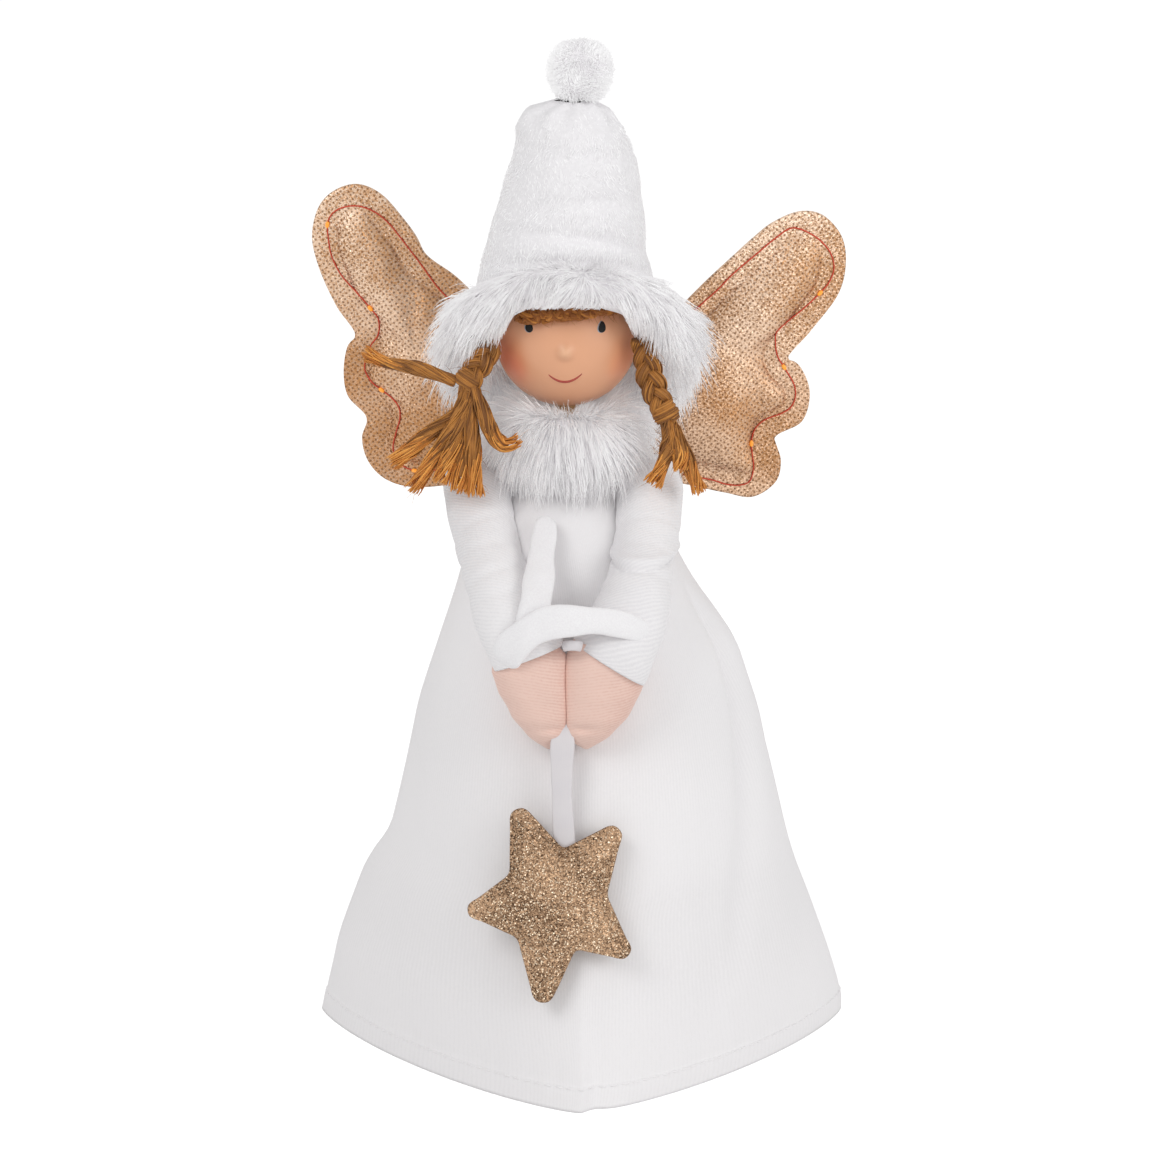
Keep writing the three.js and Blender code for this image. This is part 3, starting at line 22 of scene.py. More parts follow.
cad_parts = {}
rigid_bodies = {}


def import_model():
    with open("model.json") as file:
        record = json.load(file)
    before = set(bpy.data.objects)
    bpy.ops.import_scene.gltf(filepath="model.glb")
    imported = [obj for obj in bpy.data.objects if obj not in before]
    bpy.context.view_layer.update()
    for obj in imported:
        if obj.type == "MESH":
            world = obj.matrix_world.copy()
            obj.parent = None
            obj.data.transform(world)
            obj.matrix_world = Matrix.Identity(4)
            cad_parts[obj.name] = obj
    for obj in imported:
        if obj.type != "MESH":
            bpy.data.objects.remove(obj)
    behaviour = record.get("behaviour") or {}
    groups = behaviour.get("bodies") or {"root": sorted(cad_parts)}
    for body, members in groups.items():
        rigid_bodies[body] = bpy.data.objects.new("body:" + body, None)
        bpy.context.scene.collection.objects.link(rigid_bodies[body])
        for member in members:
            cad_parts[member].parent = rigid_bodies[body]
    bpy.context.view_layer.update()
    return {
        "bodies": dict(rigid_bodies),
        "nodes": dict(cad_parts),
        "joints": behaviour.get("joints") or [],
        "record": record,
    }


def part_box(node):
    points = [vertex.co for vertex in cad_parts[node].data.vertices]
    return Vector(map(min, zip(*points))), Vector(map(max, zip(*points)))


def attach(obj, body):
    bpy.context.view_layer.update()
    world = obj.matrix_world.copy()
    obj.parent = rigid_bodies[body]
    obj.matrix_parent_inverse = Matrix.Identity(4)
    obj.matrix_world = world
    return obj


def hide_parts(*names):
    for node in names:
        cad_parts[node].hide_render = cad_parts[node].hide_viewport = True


log = logging.getLogger("angel")

MM = 0.001
TURN = 2 * math.pi
# Air between two solids of the model, in millimetres
GAP = 0.3
# Points between two given places of a curve
CURVE_STEPS = 24
# Seed of the noise vectors, which would follow the clock without one
NOISE_SEED = 1

Array = np.ndarray
Colour = tuple[float, float, float, float]
Node = bpy.types.Node
Tree = bpy.types.NodeTree
Socket = bpy.types.NodeSocket
Piece = bpy.types.Object

ACROSS = np.array([1.0, 0.0, 0.0])
BACKWARD = np.array([0.0, 1.0, 0.0])
UPWARD = np.array([0.0, 0.0, 1.0])


class Body(Enum):
    """The moving bodies of the model."""

    FIGURE = "figure"
    ARMS = "arms"
    RIBBON = "ribbon"
    STAR = "star"
    WING_LEFT = "wing_left"
    WING_RIGHT = "wing_right"
    PLAIT_LEFT = "plait_left"
    PLAIT_RIGHT = "plait_right"


class Side(Enum):
    """The viewer's left and right, as the sign of X."""

    LEFT = -1
    RIGHT = 1

    @property
    def word(self) -> str:
        """The side's name as it stands in the model's node names."""
        return self.name.lower()


# Arithmetic on points


def unit(vectors: Array) -> Array:
    """Vectors brought to length one along their last axis."""
    length = np.linalg.norm(vectors, axis=-1, keepdims=True)
    return vectors / np.maximum(length, 1e-9)


def smoothstep(value: Array | float, low: float, high: float) -> Array:
    """A soft step from 0 at low to 1 at high."""
    share = np.clip((np.asarray(value, float) - low) / (high - low), 0, 1)
    return share * share * (3 - 2 * share)


def dip(value: Array | float, middle: float, half_width: float) -> Array:
    """A bell of height one around a middle."""
    return np.exp(-(((np.asarray(value, float) - middle) / half_width) ** 2))


def ripple(points: Array, size: float, seed: float = 0.0) -> Array:
    """Smooth noise from -1 to 1 at each point.

    Args:
        points: Places in millimetres, one a row.
        size: Width of a ripple in millimetres.
        seed: Moves the noise to another stretch.

    Returns:
        One value for each point.
    """
    shifted = points / size + seed * 17.3
    return np.array([noise.noise(Vector(p)) for p in shifted.reshape(-1, 3)]).reshape(points.shape[:-1])


def swirl(points: Array, size: float, seed: float = 0.0) -> Array:
    """Smooth noise vectors at each point, for hair that wanders."""
    shifted = points / size + seed * 11.9
    return np.array([noise.noise_vector(Vector(p)) for p in shifted])


def smooth_path(places: Sequence, count: int, closed: bool = False) -> Array:
    """Evenly spaced points on a centripetal Catmull-Rom curve.

    Args:
        places: The points that the curve passes through.
        count: How many points to return.
        closed: Whether the curve runs back to its start.

    Returns:
        The points; a closed curve leaves out the repeated first one.
    """
    given = np.asarray(places, float)
    last = len(given) - 1
    fine = []
    t = np.linspace(0, 1, CURVE_STEPS, endpoint=False)[:, None]
    for i in range(len(given) if closed else last):
        here, after = given[i], given[(i + 1) % len(given)]
        before = given[i - 1] if closed or i > 0 else 2 * given[0] - given[1]
        beyond = given[(i + 2) % len(given)] if closed or i + 2 <= last else 2 * given[-1] - given[-2]
        spans = ((before, here), (here, after), (after, beyond))
        reach = [max(np.linalg.norm(b - a), 1e-6) ** 0.5 for a, b in spans]
        bend_in = (here - before) / reach[0] - (after - before) / (reach[0] + reach[1])
        bend_out = (beyond - here) / (reach[1] + reach[2]) - (beyond - after) / reach[2]
        leave, arrive = bend_in * reach[1] + (after - here), (after - here) - bend_out * reach[1]
        fine.append((2 * t**3 - 3 * t**2 + 1) * here + (t**3 - 2 * t**2 + t) * leave
                    + (3 * t**2 - 2 * t**3) * after + (t**3 - t**2) * arrive)
    route = np.concatenate(fine + [given[:1] if closed else given[-1:]])
    along = travelled(route)
    return between(np.linspace(0, along[-1], count, endpoint=not closed), along, route)


def tangents(path: Array) -> Array:
    """Direction of a path at each of its points."""
    return unit(np.gradient(path, axis=0))


def travelled(path: Array) -> Array:
    """How far along a path each of its points lies."""
    return np.concatenate([[0], np.cumsum(np.linalg.norm(np.diff(path, axis=0), axis=1))])


def between(stops: Array, marks: Array, rows: Array) -> Array:
    """Rows of values at stops between the marks that carry them."""
    return np.stack([np.interp(stops, marks, column) for column in rows.T], axis=-1)


def stacked(*parts: Array) -> Array:
    """Arrays brought to one shape and put side by side on a new last axis."""
    return np.stack(np.broadcast_arrays(*parts), axis=-1)


def turns(count: int) -> Array:
    """Angles of evenly spaced places round a circle."""
    return np.arange(count) / count * TURN


def spokes(angle: Array, across: Array, deep: Array) -> Array:
    """Directions at angles from one direction towards another."""
    return np.cos(angle)[..., None] * across + np.sin(angle)[..., None] * deep


def ball_rings(rise: Array, sides: int) -> Array:
    """Rings of a ball of radius one at heights from -1 to 1."""
    level, angle = np.sqrt(np.maximum(1 - rise**2, 1e-5))[:, None], turns(sides)
    return stacked(level * np.cos(angle), level * np.sin(angle), rise[:, None])


def carried_frames(path: Array, hint: Array) -> tuple[Array, Array]:
    """Two directions across a path at each point, carried along it without twist.

    Args:
        path: Points of the path.
        hint: The first direction at its start.

    Returns:
        Both directions, a row for each point.
    """
    along = tangents(path)
    across = np.empty_like(path)
    current = np.asarray(hint, float)
    for i, direction in enumerate(along):
        current = current - direction * current.dot(direction)
        current = current / max(np.linalg.norm(current), 1e-9)
        across[i] = current
    return across, np.cross(along, across)


def edge_distance(points: Array, outline: Array) -> Array:
    """Distance of flat points to a closed outline.

    Args:
        points: Flat places, one a row.
        outline: Corners of the outline.

    Returns:
        One distance for each point.
    """
    start, step = outline, np.roll(outline, -1, axis=0) - outline
    length = np.maximum((step**2).sum(axis=1), 1e-9)
    nearest = np.full(len(points), np.inf)
    for a, d, size in zip(start, step, length):
        share = np.clip(((points - a) @ d) / size, 0, 1)
        nearest = np.minimum(nearest, np.linalg.norm(points - a - share[:, None] * d, axis=1))
    return nearest


# Shapes


@dataclass
class Shape:
    """Points and faces of a piece before it becomes a mesh.

    Attributes:
        points: Places in millimetres.
        faces: Blocks of triangles or four-cornered faces.
        finishes: The finish number of each block.
        flat: Places on the flat cloth in millimetres, for weaves and knits.
    """

    points: Array
    faces: list[Array]
    finishes: list[int] = field(default_factory=list)
    flat: Array | None = None

    def __post_init__(self) -> None:
        """Gives every block a finish number."""
        self.finishes = self.finishes or [0] * len(self.faces)

    def outward(self) -> "Shape":
        """Turns the faces round if they look inward.

        Returns:
            The shape itself.
        """
        volume = 0.0
        for block in self.faces:
            a = self.points[block[:, 0]]
            for k in range(1, block.shape[1] - 1):
                b, c = self.points[block[:, k]], self.points[block[:, k + 1]]
                volume += np.einsum("ij,ij->", a, np.cross(b, c))
        if volume < 0:
            self.faces = [block[:, ::-1] for block in self.faces]
        return self

    def painted(self, finish: int) -> "Shape":
        """The same shape with every face in one finish."""
        self.finishes = [finish] * len(self.faces)
        return self


def joined(shapes: Sequence[Shape]) -> Shape:
    """Several shapes as one.

    Args:
        shapes: The shapes, each with its own finish numbers.

    Returns:
        The joined shape.
    """
    starts = np.cumsum([0] + [len(shape.points) for shape in shapes])
    faces = [block + start for shape, start in zip(shapes, starts) for block in shape.faces]
    finishes = [number for shape in shapes for number in shape.finishes]
    flats = [shape.flat if shape.flat is not None else np.zeros((len(shape.points), 2)) for shape in shapes]
    return Shape(np.concatenate([shape.points for shape in shapes]), faces, finishes, np.concatenate(flats))


def loft(rings: Array, caps: bool = True, loops: bool = False, flat: Array | None = None) -> Shape:
    """Skins a row of rings.

    Args:
        rings: Ring points as (ring, side, axis).
        caps: Whether both ends are closed with a fan.
        loops: Whether the last ring joins the first.
        flat: Flat cloth places as (ring, side, 2).

    Returns:
        The skinned shape.
    """
    count, sides = rings.shape[:2]
    points = rings.reshape(-1, 3)
    row = np.arange(count if loops else count - 1)[:, None]
    side = np.arange(sides)[None, :]
    low, high = row * sides, (row + 1) % count * sides
    after = (side + 1) % sides
    quads = np.stack([low + side, low + after, high + after, high + side], axis=-1).reshape(-1, 4)
    places = flat.reshape(-1, 2) if flat is not None else None
    if loops or not caps:
        return Shape(points, [quads], flat=places).outward()
    ends = np.stack([rings[0].mean(axis=0), rings[-1].mean(axis=0)])
    first, last = len(points), len(points) + 1
    ring = np.arange(sides)
    start = np.stack([np.full(sides, first), (ring + 1) % sides, ring], axis=1)
    top = (count - 1) * sides
    finish = np.stack([np.full(sides, last), ring + top, (ring + 1) % sides + top], axis=1)
    if places is not None:
        places = np.concatenate([places, flat[0].mean(axis=0)[None], flat[-1].mean(axis=0)[None]])
    faces = [quads, np.concatenate([start, finish])]
    return Shape(np.concatenate([points, ends]), faces, flat=places).outward()


def tube(path: Array, radii: Array | float, sides: int, hint: Array = UPWARD, flatten: float = 1.0) -> Shape:
    """A tube along a path, closed at both ends.

    Args:
        path: Points of its middle line.
        radii: Half width at each point, or one for all.
        sides: Number of sides.
        hint: Direction that the half width lies along.
        flatten: Half depth as a share of the half width.

    Returns:
        The tube with its flat places along and around it.
    """
    across, deep = carried_frames(path, hint)
    radii = np.broadcast_to(np.asarray(radii, float), (len(path),))
    angle = turns(sides)
    rings = path[:, None] + radii[:, None, None] * spokes(angle, across[:, None], flatten * deep[:, None])
    return loft(rings, flat=stacked(angle[None] * radii.max(), travelled(path)[:, None]))


def round_ended(count: int, length: float, radius: float, end: bool = True) -> tuple[Array, Array]:
    """Stops along a tube and the share of its radius at each, with round ends.

    Args:
        count: Number of stops on its straight part.
        length: Its length.
        radius: Its radius.
        end: Whether its far end is round too.

    Returns:
        The stops from 0 to 1, and the shares.
    """
    quarter = np.sin(np.linspace(0.12, 1, 7)[:-1] * math.pi / 2)
    reach = 1 - np.cos(np.arcsin(quarter))
    cap = min(radius / length, 0.45)
    stops = [reach * cap, np.linspace(cap, 1 - cap if end else 1, count)]
    scales = [quarter, np.ones(count)]
    if end:
        stops.append(1 - reach[::-1] * cap)
        scales.append(quarter[::-1])
    return np.concatenate(stops), np.concatenate(scales)


def at_stops(path: Array, stops: Array) -> Array:
    """Points of an evenly spaced path at shares of its length."""
    return between(stops, np.linspace(0, 1, len(path)), path)


def bent_hairs(roots: Array, tips: Array, sag: Array, widths: Array) -> Shape:
    """Tapered three-sided hairs, each closed.

    Args:
        roots: Where each hair starts.
        tips: Where each hair ends.
        sag: How far the middle of each hair is drawn aside.
        widths: Width of each hair at its root.

    Returns:
        All the hairs as one shape.
    """
    shares = np.array([0.0, 0.4, 0.75])
    taper = np.array([1.0, 0.8, 0.5])
    run = tips - roots
    bow = (4 * shares * (1 - shares))[None, :, None] * sag[:, None]
    middles = roots[:, None] + shares[None, :, None] * run[:, None] + bow
    along = unit(run)
    helper = np.where(np.abs(along[:, 2:3]) > 0.9, ACROSS, UPWARD)
    across = unit(np.cross(along, helper))
    deep = np.cross(along, across)
    spoke = spokes(turns(3), across[:, None], deep[:, None])
    rings = middles[:, :, None] + (widths[:, None] * taper)[:, :, None, None] / 2 * spoke[:, None]
    count = len(roots)
    points = np.concatenate([rings.reshape(count, 9, 3), tips[:, None]], axis=1).reshape(-1, 3)
    start = (np.arange(count) * 10)[:, None, None]
    side = np.arange(3)
    after = (side + 1) % 3
    band = np.stack([side, after, 3 + after, 3 + side], axis=1)
    bands = np.concatenate([band, band + 3])
    ends = np.concatenate([np.stack([6 + side, 6 + after, np.full(3, 9)], axis=1), [[2, 1, 0]]])
    return Shape(points, [(start + bands).reshape(-1, 4), (start + ends).reshape(-1, 3)])


def linked(name: str, data: bpy.types.ID) -> Piece:
    """A new object in the scene that shows a mesh, a light or a camera."""
    piece = bpy.data.objects.new(name, data)
    bpy.context.scene.collection.objects.link(piece)
    return piece


def declare(piece: Piece, body: Body, nodes: Sequence[str]) -> None:
    """Tells the frame what carries a piece and what it replaces.

    Args:
        piece: The piece.
        body: The body that carries it.
        nodes: The nodes that it replaces.
    """
    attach(piece, body.value)
    if nodes:
        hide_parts(*nodes)


def make_piece(name: str, shape: Shape, finishes: Sequence["Finish"], body: Body, slot: str, *nodes: str,
               fill: float = 0.0) -> Piece:
    """Makes a mesh piece of the model that rides on a body and stands for the model's nodes.

    Args:
        name: The piece's name.
        shape: Its points and faces in millimetres.
        finishes: Its finishes, in the order of the shape's finish numbers.
        body: The body that carries it.
        slot: The record's slot for its look; not used.
        *nodes: The nodes that it replaces.
        fill: How full it is padded, 0 for a piece that isn't; not used.

    Returns:
        The new object.
    """
    mesh = bpy.data.meshes.new(name)
    mesh.vertices.add(len(shape.points))
    mesh.vertices.foreach_set("co", (shape.points * MM).astype(np.float32).ravel())
    sizes = np.concatenate([np.full(len(block), block.shape[1]) for block in shape.faces])
    corners = np.concatenate([block.ravel() for block in shape.faces]).astype(np.int32)
    mesh.loops.add(len(corners))
    mesh.loops.foreach_set("vertex_index", corners)
    mesh.polygons.add(len(sizes))
    mesh.polygons.foreach_set("loop_start", np.concatenate([[0], np.cumsum(sizes)[:-1]]).astype(np.int32))
    numbers = np.repeat(shape.finishes, [len(block) for block in shape.faces])
    mesh.polygons.foreach_set("material_index", numbers.astype(np.int32))
    mesh.polygons.foreach_set("use_smooth", np.array([not finish.faceted for finish in finishes])[numbers])
    if shape.flat is not None:
        layer = mesh.uv_layers.new(name="flat_mm")
        layer.data.foreach_set("uv", shape.flat[corners].astype(np.float32).ravel())
    mesh.update(calc_edges=True)
    mesh.validate()
    for finish in finishes:
        mesh.materials.append(finish.material())
    piece = linked(name, mesh)
    declare(piece, body, nodes)
    log.info("%s: %d points, %d faces on %s", name, len(shape.points), len(sizes), body.value)
    return piece


@dataclass
class Inflation:
    """Blows a closed shape up like a stuffed cover, with Blender's cloth.

    Attributes:
        pressure: How hard the filling presses outward.
        cap: Farthest that a point may move, in millimetres.
        frames: Number of frames that it runs.
        bending: How stiffly the cloth bends.
        scale: Size of a millimetre in the simulation, where the cloth's usual weight suits it.
    """

    pressure: float = 6.0
    cap: float = 3.0
    frames: int = 20
    bending: float = 0.4
    scale: float = 0.05

    def run(self, shape: Shape, held: Array) -> Array:
        """Runs the simulation.

        Args:
            shape: The cover, a little smaller than it ends.
            held: How firmly each point keeps its place, from 0 to 1.

        Returns:
            The points of the blown-up cover in millimetres.
        """
        mesh = bpy.data.meshes.new("cover")
        faces = [tuple(int(i) for i in face) for block in shape.faces for face in block]
        mesh.from_pydata((shape.points * self.scale).tolist(), [], faces)
        cover = linked("cover", mesh)
        group = cover.vertex_groups.new(name="held")
        for number in np.flatnonzero(held > 0):
            group.add([int(number)], float(held[number]), "REPLACE")
        cloth = cover.modifiers.new("cloth", "CLOTH")
        settings = cloth.settings
        settings.vertex_group_mass = "held"
        settings.use_pressure = True
        settings.uniform_pressure_force = self.pressure
        settings.bending_stiffness = self.bending
        settings.effector_weights.gravity = 0
        cloth.collision_settings.use_collision = False
        scene = bpy.context.scene
        for frame in range(1, self.frames + 1):
            scene.frame_set(frame)
        solved = cover.evaluated_get(bpy.context.evaluated_depsgraph_get()).data
        blown = np.empty(len(solved.vertices) * 3, np.float32)
        solved.vertices.foreach_get("co", blown)
        scene.frame_set(1)
        bpy.data.objects.remove(cover)
        bpy.data.meshes.remove(mesh)
        step = blown.reshape(-1, 3).astype(float) / self.scale - shape.points
        length = np.linalg.norm(step, axis=1, keepdims=True)
        log.info("cover of %d points blown up by %.2f mm at most", len(step), length.max())
        return shape.points + step * np.minimum(1, self.cap / np.maximum(length, 1e-9))


def doubled(rings: Array) -> Array:
    """Rings with a point put between every two along them and between them, on smooth curves.

    Args:
        rings: Rings as (ring, side, axis).

    Returns:
        The finer rings.
    """
    before, after, beyond = (np.roll(rings, shift, axis=1) for shift in (1, -1, -2))
    wide = np.stack([rings, (9 * (rings + after) - before - beyond) / 16], axis=2)
    wide = wide.reshape(len(rings), -1, rings.shape[2])
    padded = np.concatenate([2 * wide[:1] - wide[1:2], wide, 2 * wide[-1:] - wide[-2:-1]])
    middle = (9 * (padded[1:-2] + padded[2:-1]) - padded[:-3] - padded[3:]) / 16
    fine = np.empty((2 * len(wide) - 1, *wide.shape[1:]))
    fine[0::2], fine[1::2] = wide, middle
    return fine


# Finishes


def linear(colour: str) -> Colour:
    """An sRGB hex colour as linear red, green, blue and alpha."""
    shares = [int(colour[i:i + 2], 16) / 255 for i in (1, 3, 5)]
    return (*[s / 12.92 if s <= 0.04045 else ((s + 0.055) / 1.055) ** 2.4 for s in shares], 1.0)


def fresh_tree(owner: bpy.types.Material | bpy.types.World) -> Tree:
    """The emptied node tree of a new material or world."""
    owner.use_nodes = True
    owner.node_tree.nodes.clear()
    return owner.node_tree


def add_node(tree: Tree, kind: str, inputs: dict | None = None, **settings: object) -> Node:
    """Adds a node, sets its options, and fills its sockets with values or links.

    Args:
        tree: The node tree.
        kind: The node's type without the ShaderNode at its front.
        inputs: Socket name or number to a value or to another node's output.
        **settings: The node's own options.

    Returns:
        The new node.
    """
    node = tree.nodes.new("ShaderNode" + kind)
    for name, value in settings.items():
        setattr(node, name, value)
    for key, value in (inputs or {}).items():
        if isinstance(value, Socket):
            tree.links.new(value, node.inputs[key])
        else:
            node.inputs[key].default_value = value
    return node


def ranged(tree: Tree, value: Socket, low: float, high: float, start: float = 0.0,
           end: float = 1.0) -> Socket:
    """A value spread from one range over another, and held at its ends."""
    inputs = {"Value": value, "From Min": low, "From Max": high, "To Min": start, "To Max": end}
    return add_node(tree, "MapRange", inputs).outputs[0]


def maths(tree: Tree, operation: str, *values: Socket | float, clamp: bool = False) -> Socket:
    """The result of an operation on numbers and sockets."""
    return add_node(tree, "Math", dict(enumerate(values)), operation=operation, use_clamp=clamp).outputs[0]


@dataclass(frozen=True)
class Finish:
    """A finish that is the same all over, apart from a fine grain.

    Attributes:
        label: What the real material is called.
        colour: Its colour as sRGB hex.
        roughness: How matt it is.
        metallic: 1 for a metal, 0 for anything else.
        sheen: Share of soft light that loose fibres give at the rim.
        grain: Width of its grain in millimetres.
        depth: Height of its grain in millimetres.
        shade: Colour that the grain turns to in its hollows.
        faceted: Whether its faces are flat, so that thin hairs stay as bright as their cloth.
    """

    label: str
    colour: str
    roughness: float = 0.8
    metallic: float = 0.0
    sheen: float = 0.0
    grain: float = 1.0
    depth: float = 0.05
    shade: str = ""
    faceted: bool = False

    def material(self) -> bpy.types.Material:
        """The finish as a Blender material, made once.

        Returns:
            The material.
        """
        found = bpy.data.materials.get(self.label)
        if found:
            return found
        material = bpy.data.materials.new(self.label)
        tree = fresh_tree(material)
        shader = add_node(tree, "BsdfPrincipled", {
            "Base Color": linear(self.colour), "Roughness": self.roughness, "Metallic": self.metallic,
            "Sheen Weight": self.sheen,
        })
        self.surface(tree, shader)
        add_node(tree, "OutputMaterial", {"Surface": shader.outputs[0]})
        return material

    def places(self, tree: Tree) -> Socket:
        """The socket that gives a point's place on the piece in metres."""
        return add_node(tree, "TexCoord").outputs["Object"]

    def noise(self, tree: Tree, size: float, detail: float = 2.0) -> Socket:
        """Noise from 0 to 1 with features of a size in millimetres."""
        inputs = {"Vector": self.places(tree), "Scale": 1 / (size * MM), "Detail": detail}
        return add_node(tree, "TexNoise", inputs, noise_dimensions="3D").outputs[0]

    def blended(self, tree: Tree, share: Socket, low: Socket | Colour, high: Socket | Colour) -> Socket:
        """Two colours mixed by a share; each is a linear colour or a socket."""
        return add_node(tree, "Mix", {0: share, 6: low, 7: high}, data_type="RGBA").outputs[2]

    def raised(self, tree: Tree, shader: Node, height: Socket, depth: float) -> None:
        """Bumps the surface by a height from 0 to 1 times a depth in millimetres."""
        bump = add_node(tree, "Bump", {"Height": height, "Distance": depth * MM, "Strength": 1.0})
        tree.links.new(bump.outputs[0], shader.inputs["Normal"])

    def surface(self, tree: Tree, shader: Node) -> None:
        """Adds the grain and the colour in its hollows.

        Args:
            tree: The material's tree.
            shader: Its shader.
        """
        grain = self.noise(tree, self.grain, 4)
        if self.shade:
            share = ranged(tree, grain, 0.35, 0.65)
            mixed = self.blended(tree, share, linear(self.shade), linear(self.colour))
            tree.links.new(mixed, shader.inputs["Base Color"])
        self.raised(tree, shader, grain, self.depth)


@dataclass(frozen=True)
class Weave(Finish):
    """Cloth woven or knitted in rows, on the flat places of the piece.

    Attributes:
        pitch: Width of a rib or thread across, and of a stitch along, in millimetres.
        slant: Turn of the ribs in degrees.
        wander: Size of the waves in which the ribs stray, in millimetres.
    """

    pitch: tuple[float, float] = (1.0, 1.0)
    slant: float = 0.0
    wander: float = 6.0

    def surface(self, tree: Tree, shader: Node) -> None:
        """Adds crossing ribs over a soft fuzz, darker between the ribs.

        Args:
            tree: The material's tree.
            shader: Its shader.
        """
        flat = add_node(tree, "UVMap", uv_map="flat_mm").outputs[0]
        turned = add_node(tree, "VectorRotate", {"Vector": flat, "Angle": math.radians(self.slant)},
                          rotation_type="Z_AXIS").outputs[0]
        inputs = {"Vector": self.places(tree), "Scale": 1 / (self.wander * MM)}
        wander = add_node(tree, "TexNoise", inputs).outputs[1]
        moved = add_node(tree, "VectorMath", {0: turned, 1: wander}, operation="ADD").outputs[0]
        waves = add_node(tree, "VectorMath", {0: moved, 1: (TURN / self.pitch[0], TURN / self.pitch[1], 0)},
                         operation="MULTIPLY").outputs[0]
        parts = add_node(tree, "SeparateXYZ", {0: waves})
        across, along = (maths(tree, "SINE", parts.outputs[axis]) for axis in (0, 1))
        ribs = ranged(tree, maths(tree, "ADD", across, along), -2.0, 2.0)
        height = maths(tree, "ADD", ribs, self.noise(tree, self.grain, 5))
        if self.shade:
            share = ranged(tree, height, 0.6, 1.2)
            tree.links.new(self.blended(tree, share, linear(self.shade), linear(self.colour)),
                           shader.inputs["Base Color"])
        self.raised(tree, shader, height, self.depth)


@dataclass(frozen=True)
class Hair(Finish):
    """Loose fibres: every hair a little lighter or darker than the next.

    Attributes:
        light: Colour of the lightest hairs.
        carried: A painted glow, emission that stands in for the light that hairs hand on to each other deep
            in the pile, beyond what a render follows.
    """

    light: str = "#ffffff"
    carried: float = 0.0

    def surface(self, tree: Tree, shader: Node) -> None:
        """Varies the colour from hair to hair, and gives the hairs their painted glow.

        Args:
            tree: The material's tree.
            shader: Its shader.
        """
        chance = add_node(tree, "NewGeometry").outputs["Random Per Island"]
        patch = self.noise(tree, self.grain, 2)
        spread = ranged(tree, maths(tree, "MULTIPLY", chance, patch), 0.0, 0.5)
        colour = self.blended(tree, spread, linear(self.colour), linear(self.light))
        tree.links.new(colour, shader.inputs["Base Color"])
        # Painted glow: the hairs shine faintly in their lightest colour, in place of light passed between
        # them
        shader.inputs["Emission Color"].default_value = linear(self.light)
        shader.inputs["Emission Strength"].default_value = self.carried


@dataclass(frozen=True)
class GlitterCloth(Finish):
    """Cloth coated with metal flakes that each catch the light at their own angle, with painted glints and
    painted reflections on top.

    Attributes:
        flake: Width of a flake in millimetres.
        bright: Colour of the painted glints, flakes painted bright at random.
        sparks: Share of flakes painted as glints.
        tilt: How far flakes lean off the surface.
        lustre: How far broad patches are painted brighter or darker than the rest, as painted reflections in
            bent foil.
        hole_pitch: Distance between pressed holes in millimetres, 0 for none.
        hole_slant: Turn of their rows in degrees.
        hole: Colour in the holes.
        low: Colour towards which the cloth darkens where it hangs away from the light.
        fall: How far it gets there.
        heights: Where that begins and where it ends, in millimetres.
    """

    flake: float = 0.6
    bright: str = "#ffffff"
    sparks: float = 0.12
    tilt: float = 0.5
    lustre: float = 0.3
    hole_pitch: float = 0.0
    hole_slant: float = 38.0
    hole: str = "#6e4a2c"
    low: str = "#a8743f"
    fall: float = 0.0
    heights: tuple[float, float] = (0.0, 1.0)

    def surface(self, tree: Tree, shader: Node) -> None:
        """Leans the normal and varies the colour flake by flake, with painted glints, painted reflection
        patches, painted shade towards the foot and holes pressed between.

        Args:
            tree: The material's tree.
            shader: Its shader.
        """
        flakes = add_node(tree, "TexVoronoi", {"Vector": self.places(tree), "Scale": 1 / (self.flake * MM)})
        spread = add_node(tree, "VectorMath", {0: flakes.outputs["Color"], 1: (0.5, 0.5, 0.5)},
                          operation="SUBTRACT").outputs[0]
        lean = add_node(tree, "VectorMath", {0: spread, "Scale": 2 * self.tilt}, operation="SCALE").outputs[0]
        normal = add_node(tree, "NewGeometry").outputs["Normal"]
        leaning = add_node(tree, "VectorMath", {0: normal, 1: lean}, operation="ADD").outputs[0]
        turned = add_node(tree, "VectorMath", {0: leaning}, operation="NORMALIZE").outputs[0]
        tree.links.new(turned, shader.inputs["Normal"])
        parts = add_node(tree, "SeparateXYZ", {0: flakes.outputs["Color"]})
        # Painted reflections: broad patches that turn the flakes towards their bright or their dark colour
        patch = ranged(tree, self.noise(tree, self.grain, 1.5), 0.35, 0.65, -self.lustre, self.lustre)
        chance = maths(tree, "ADD", parts.outputs[0], patch, clamp=True)
        colour = self.blended(tree, chance, linear(self.shade or self.colour), linear(self.colour))
        # Painted glints: a share of flakes painted bright
        start = 1 - self.sparks
        glint_mask = ranged(tree, parts.outputs[1], start, start + 0.08)
        colour = self.blended(tree, glint_mask, colour, linear(self.bright))
        # Painted shade: darker towards the foot, which hangs away from the light
        height = add_node(tree, "SeparateXYZ", {0: self.places(tree)}).outputs[2]
        foot_shade = ranged(tree, height, self.heights[0] * MM, self.heights[1] * MM, 0.0, self.fall)
        colour = self.blended(tree, foot_shade, colour, linear(self.low))
        if self.hole_pitch:
            flat = add_node(tree, "UVMap", uv_map="flat_mm").outputs[0]
            turn = add_node(tree, "VectorRotate", {"Vector": flat, "Angle": math.radians(self.hole_slant)},
                            rotation_type="Z_AXIS").outputs[0]
            inputs = {"Vector": turn, "Scale": 1 / self.hole_pitch, "Randomness": 0.3}
            grid = add_node(tree, "TexVoronoi", inputs, voronoi_dimensions="2D").outputs["Distance"]
            hole = ranged(tree, grid, 0.32, 0.14, 0.0, 0.75)
            colour = self.blended(tree, hole, colour, linear(self.hole))
        tree.links.new(colour, shader.inputs["Base Color"])


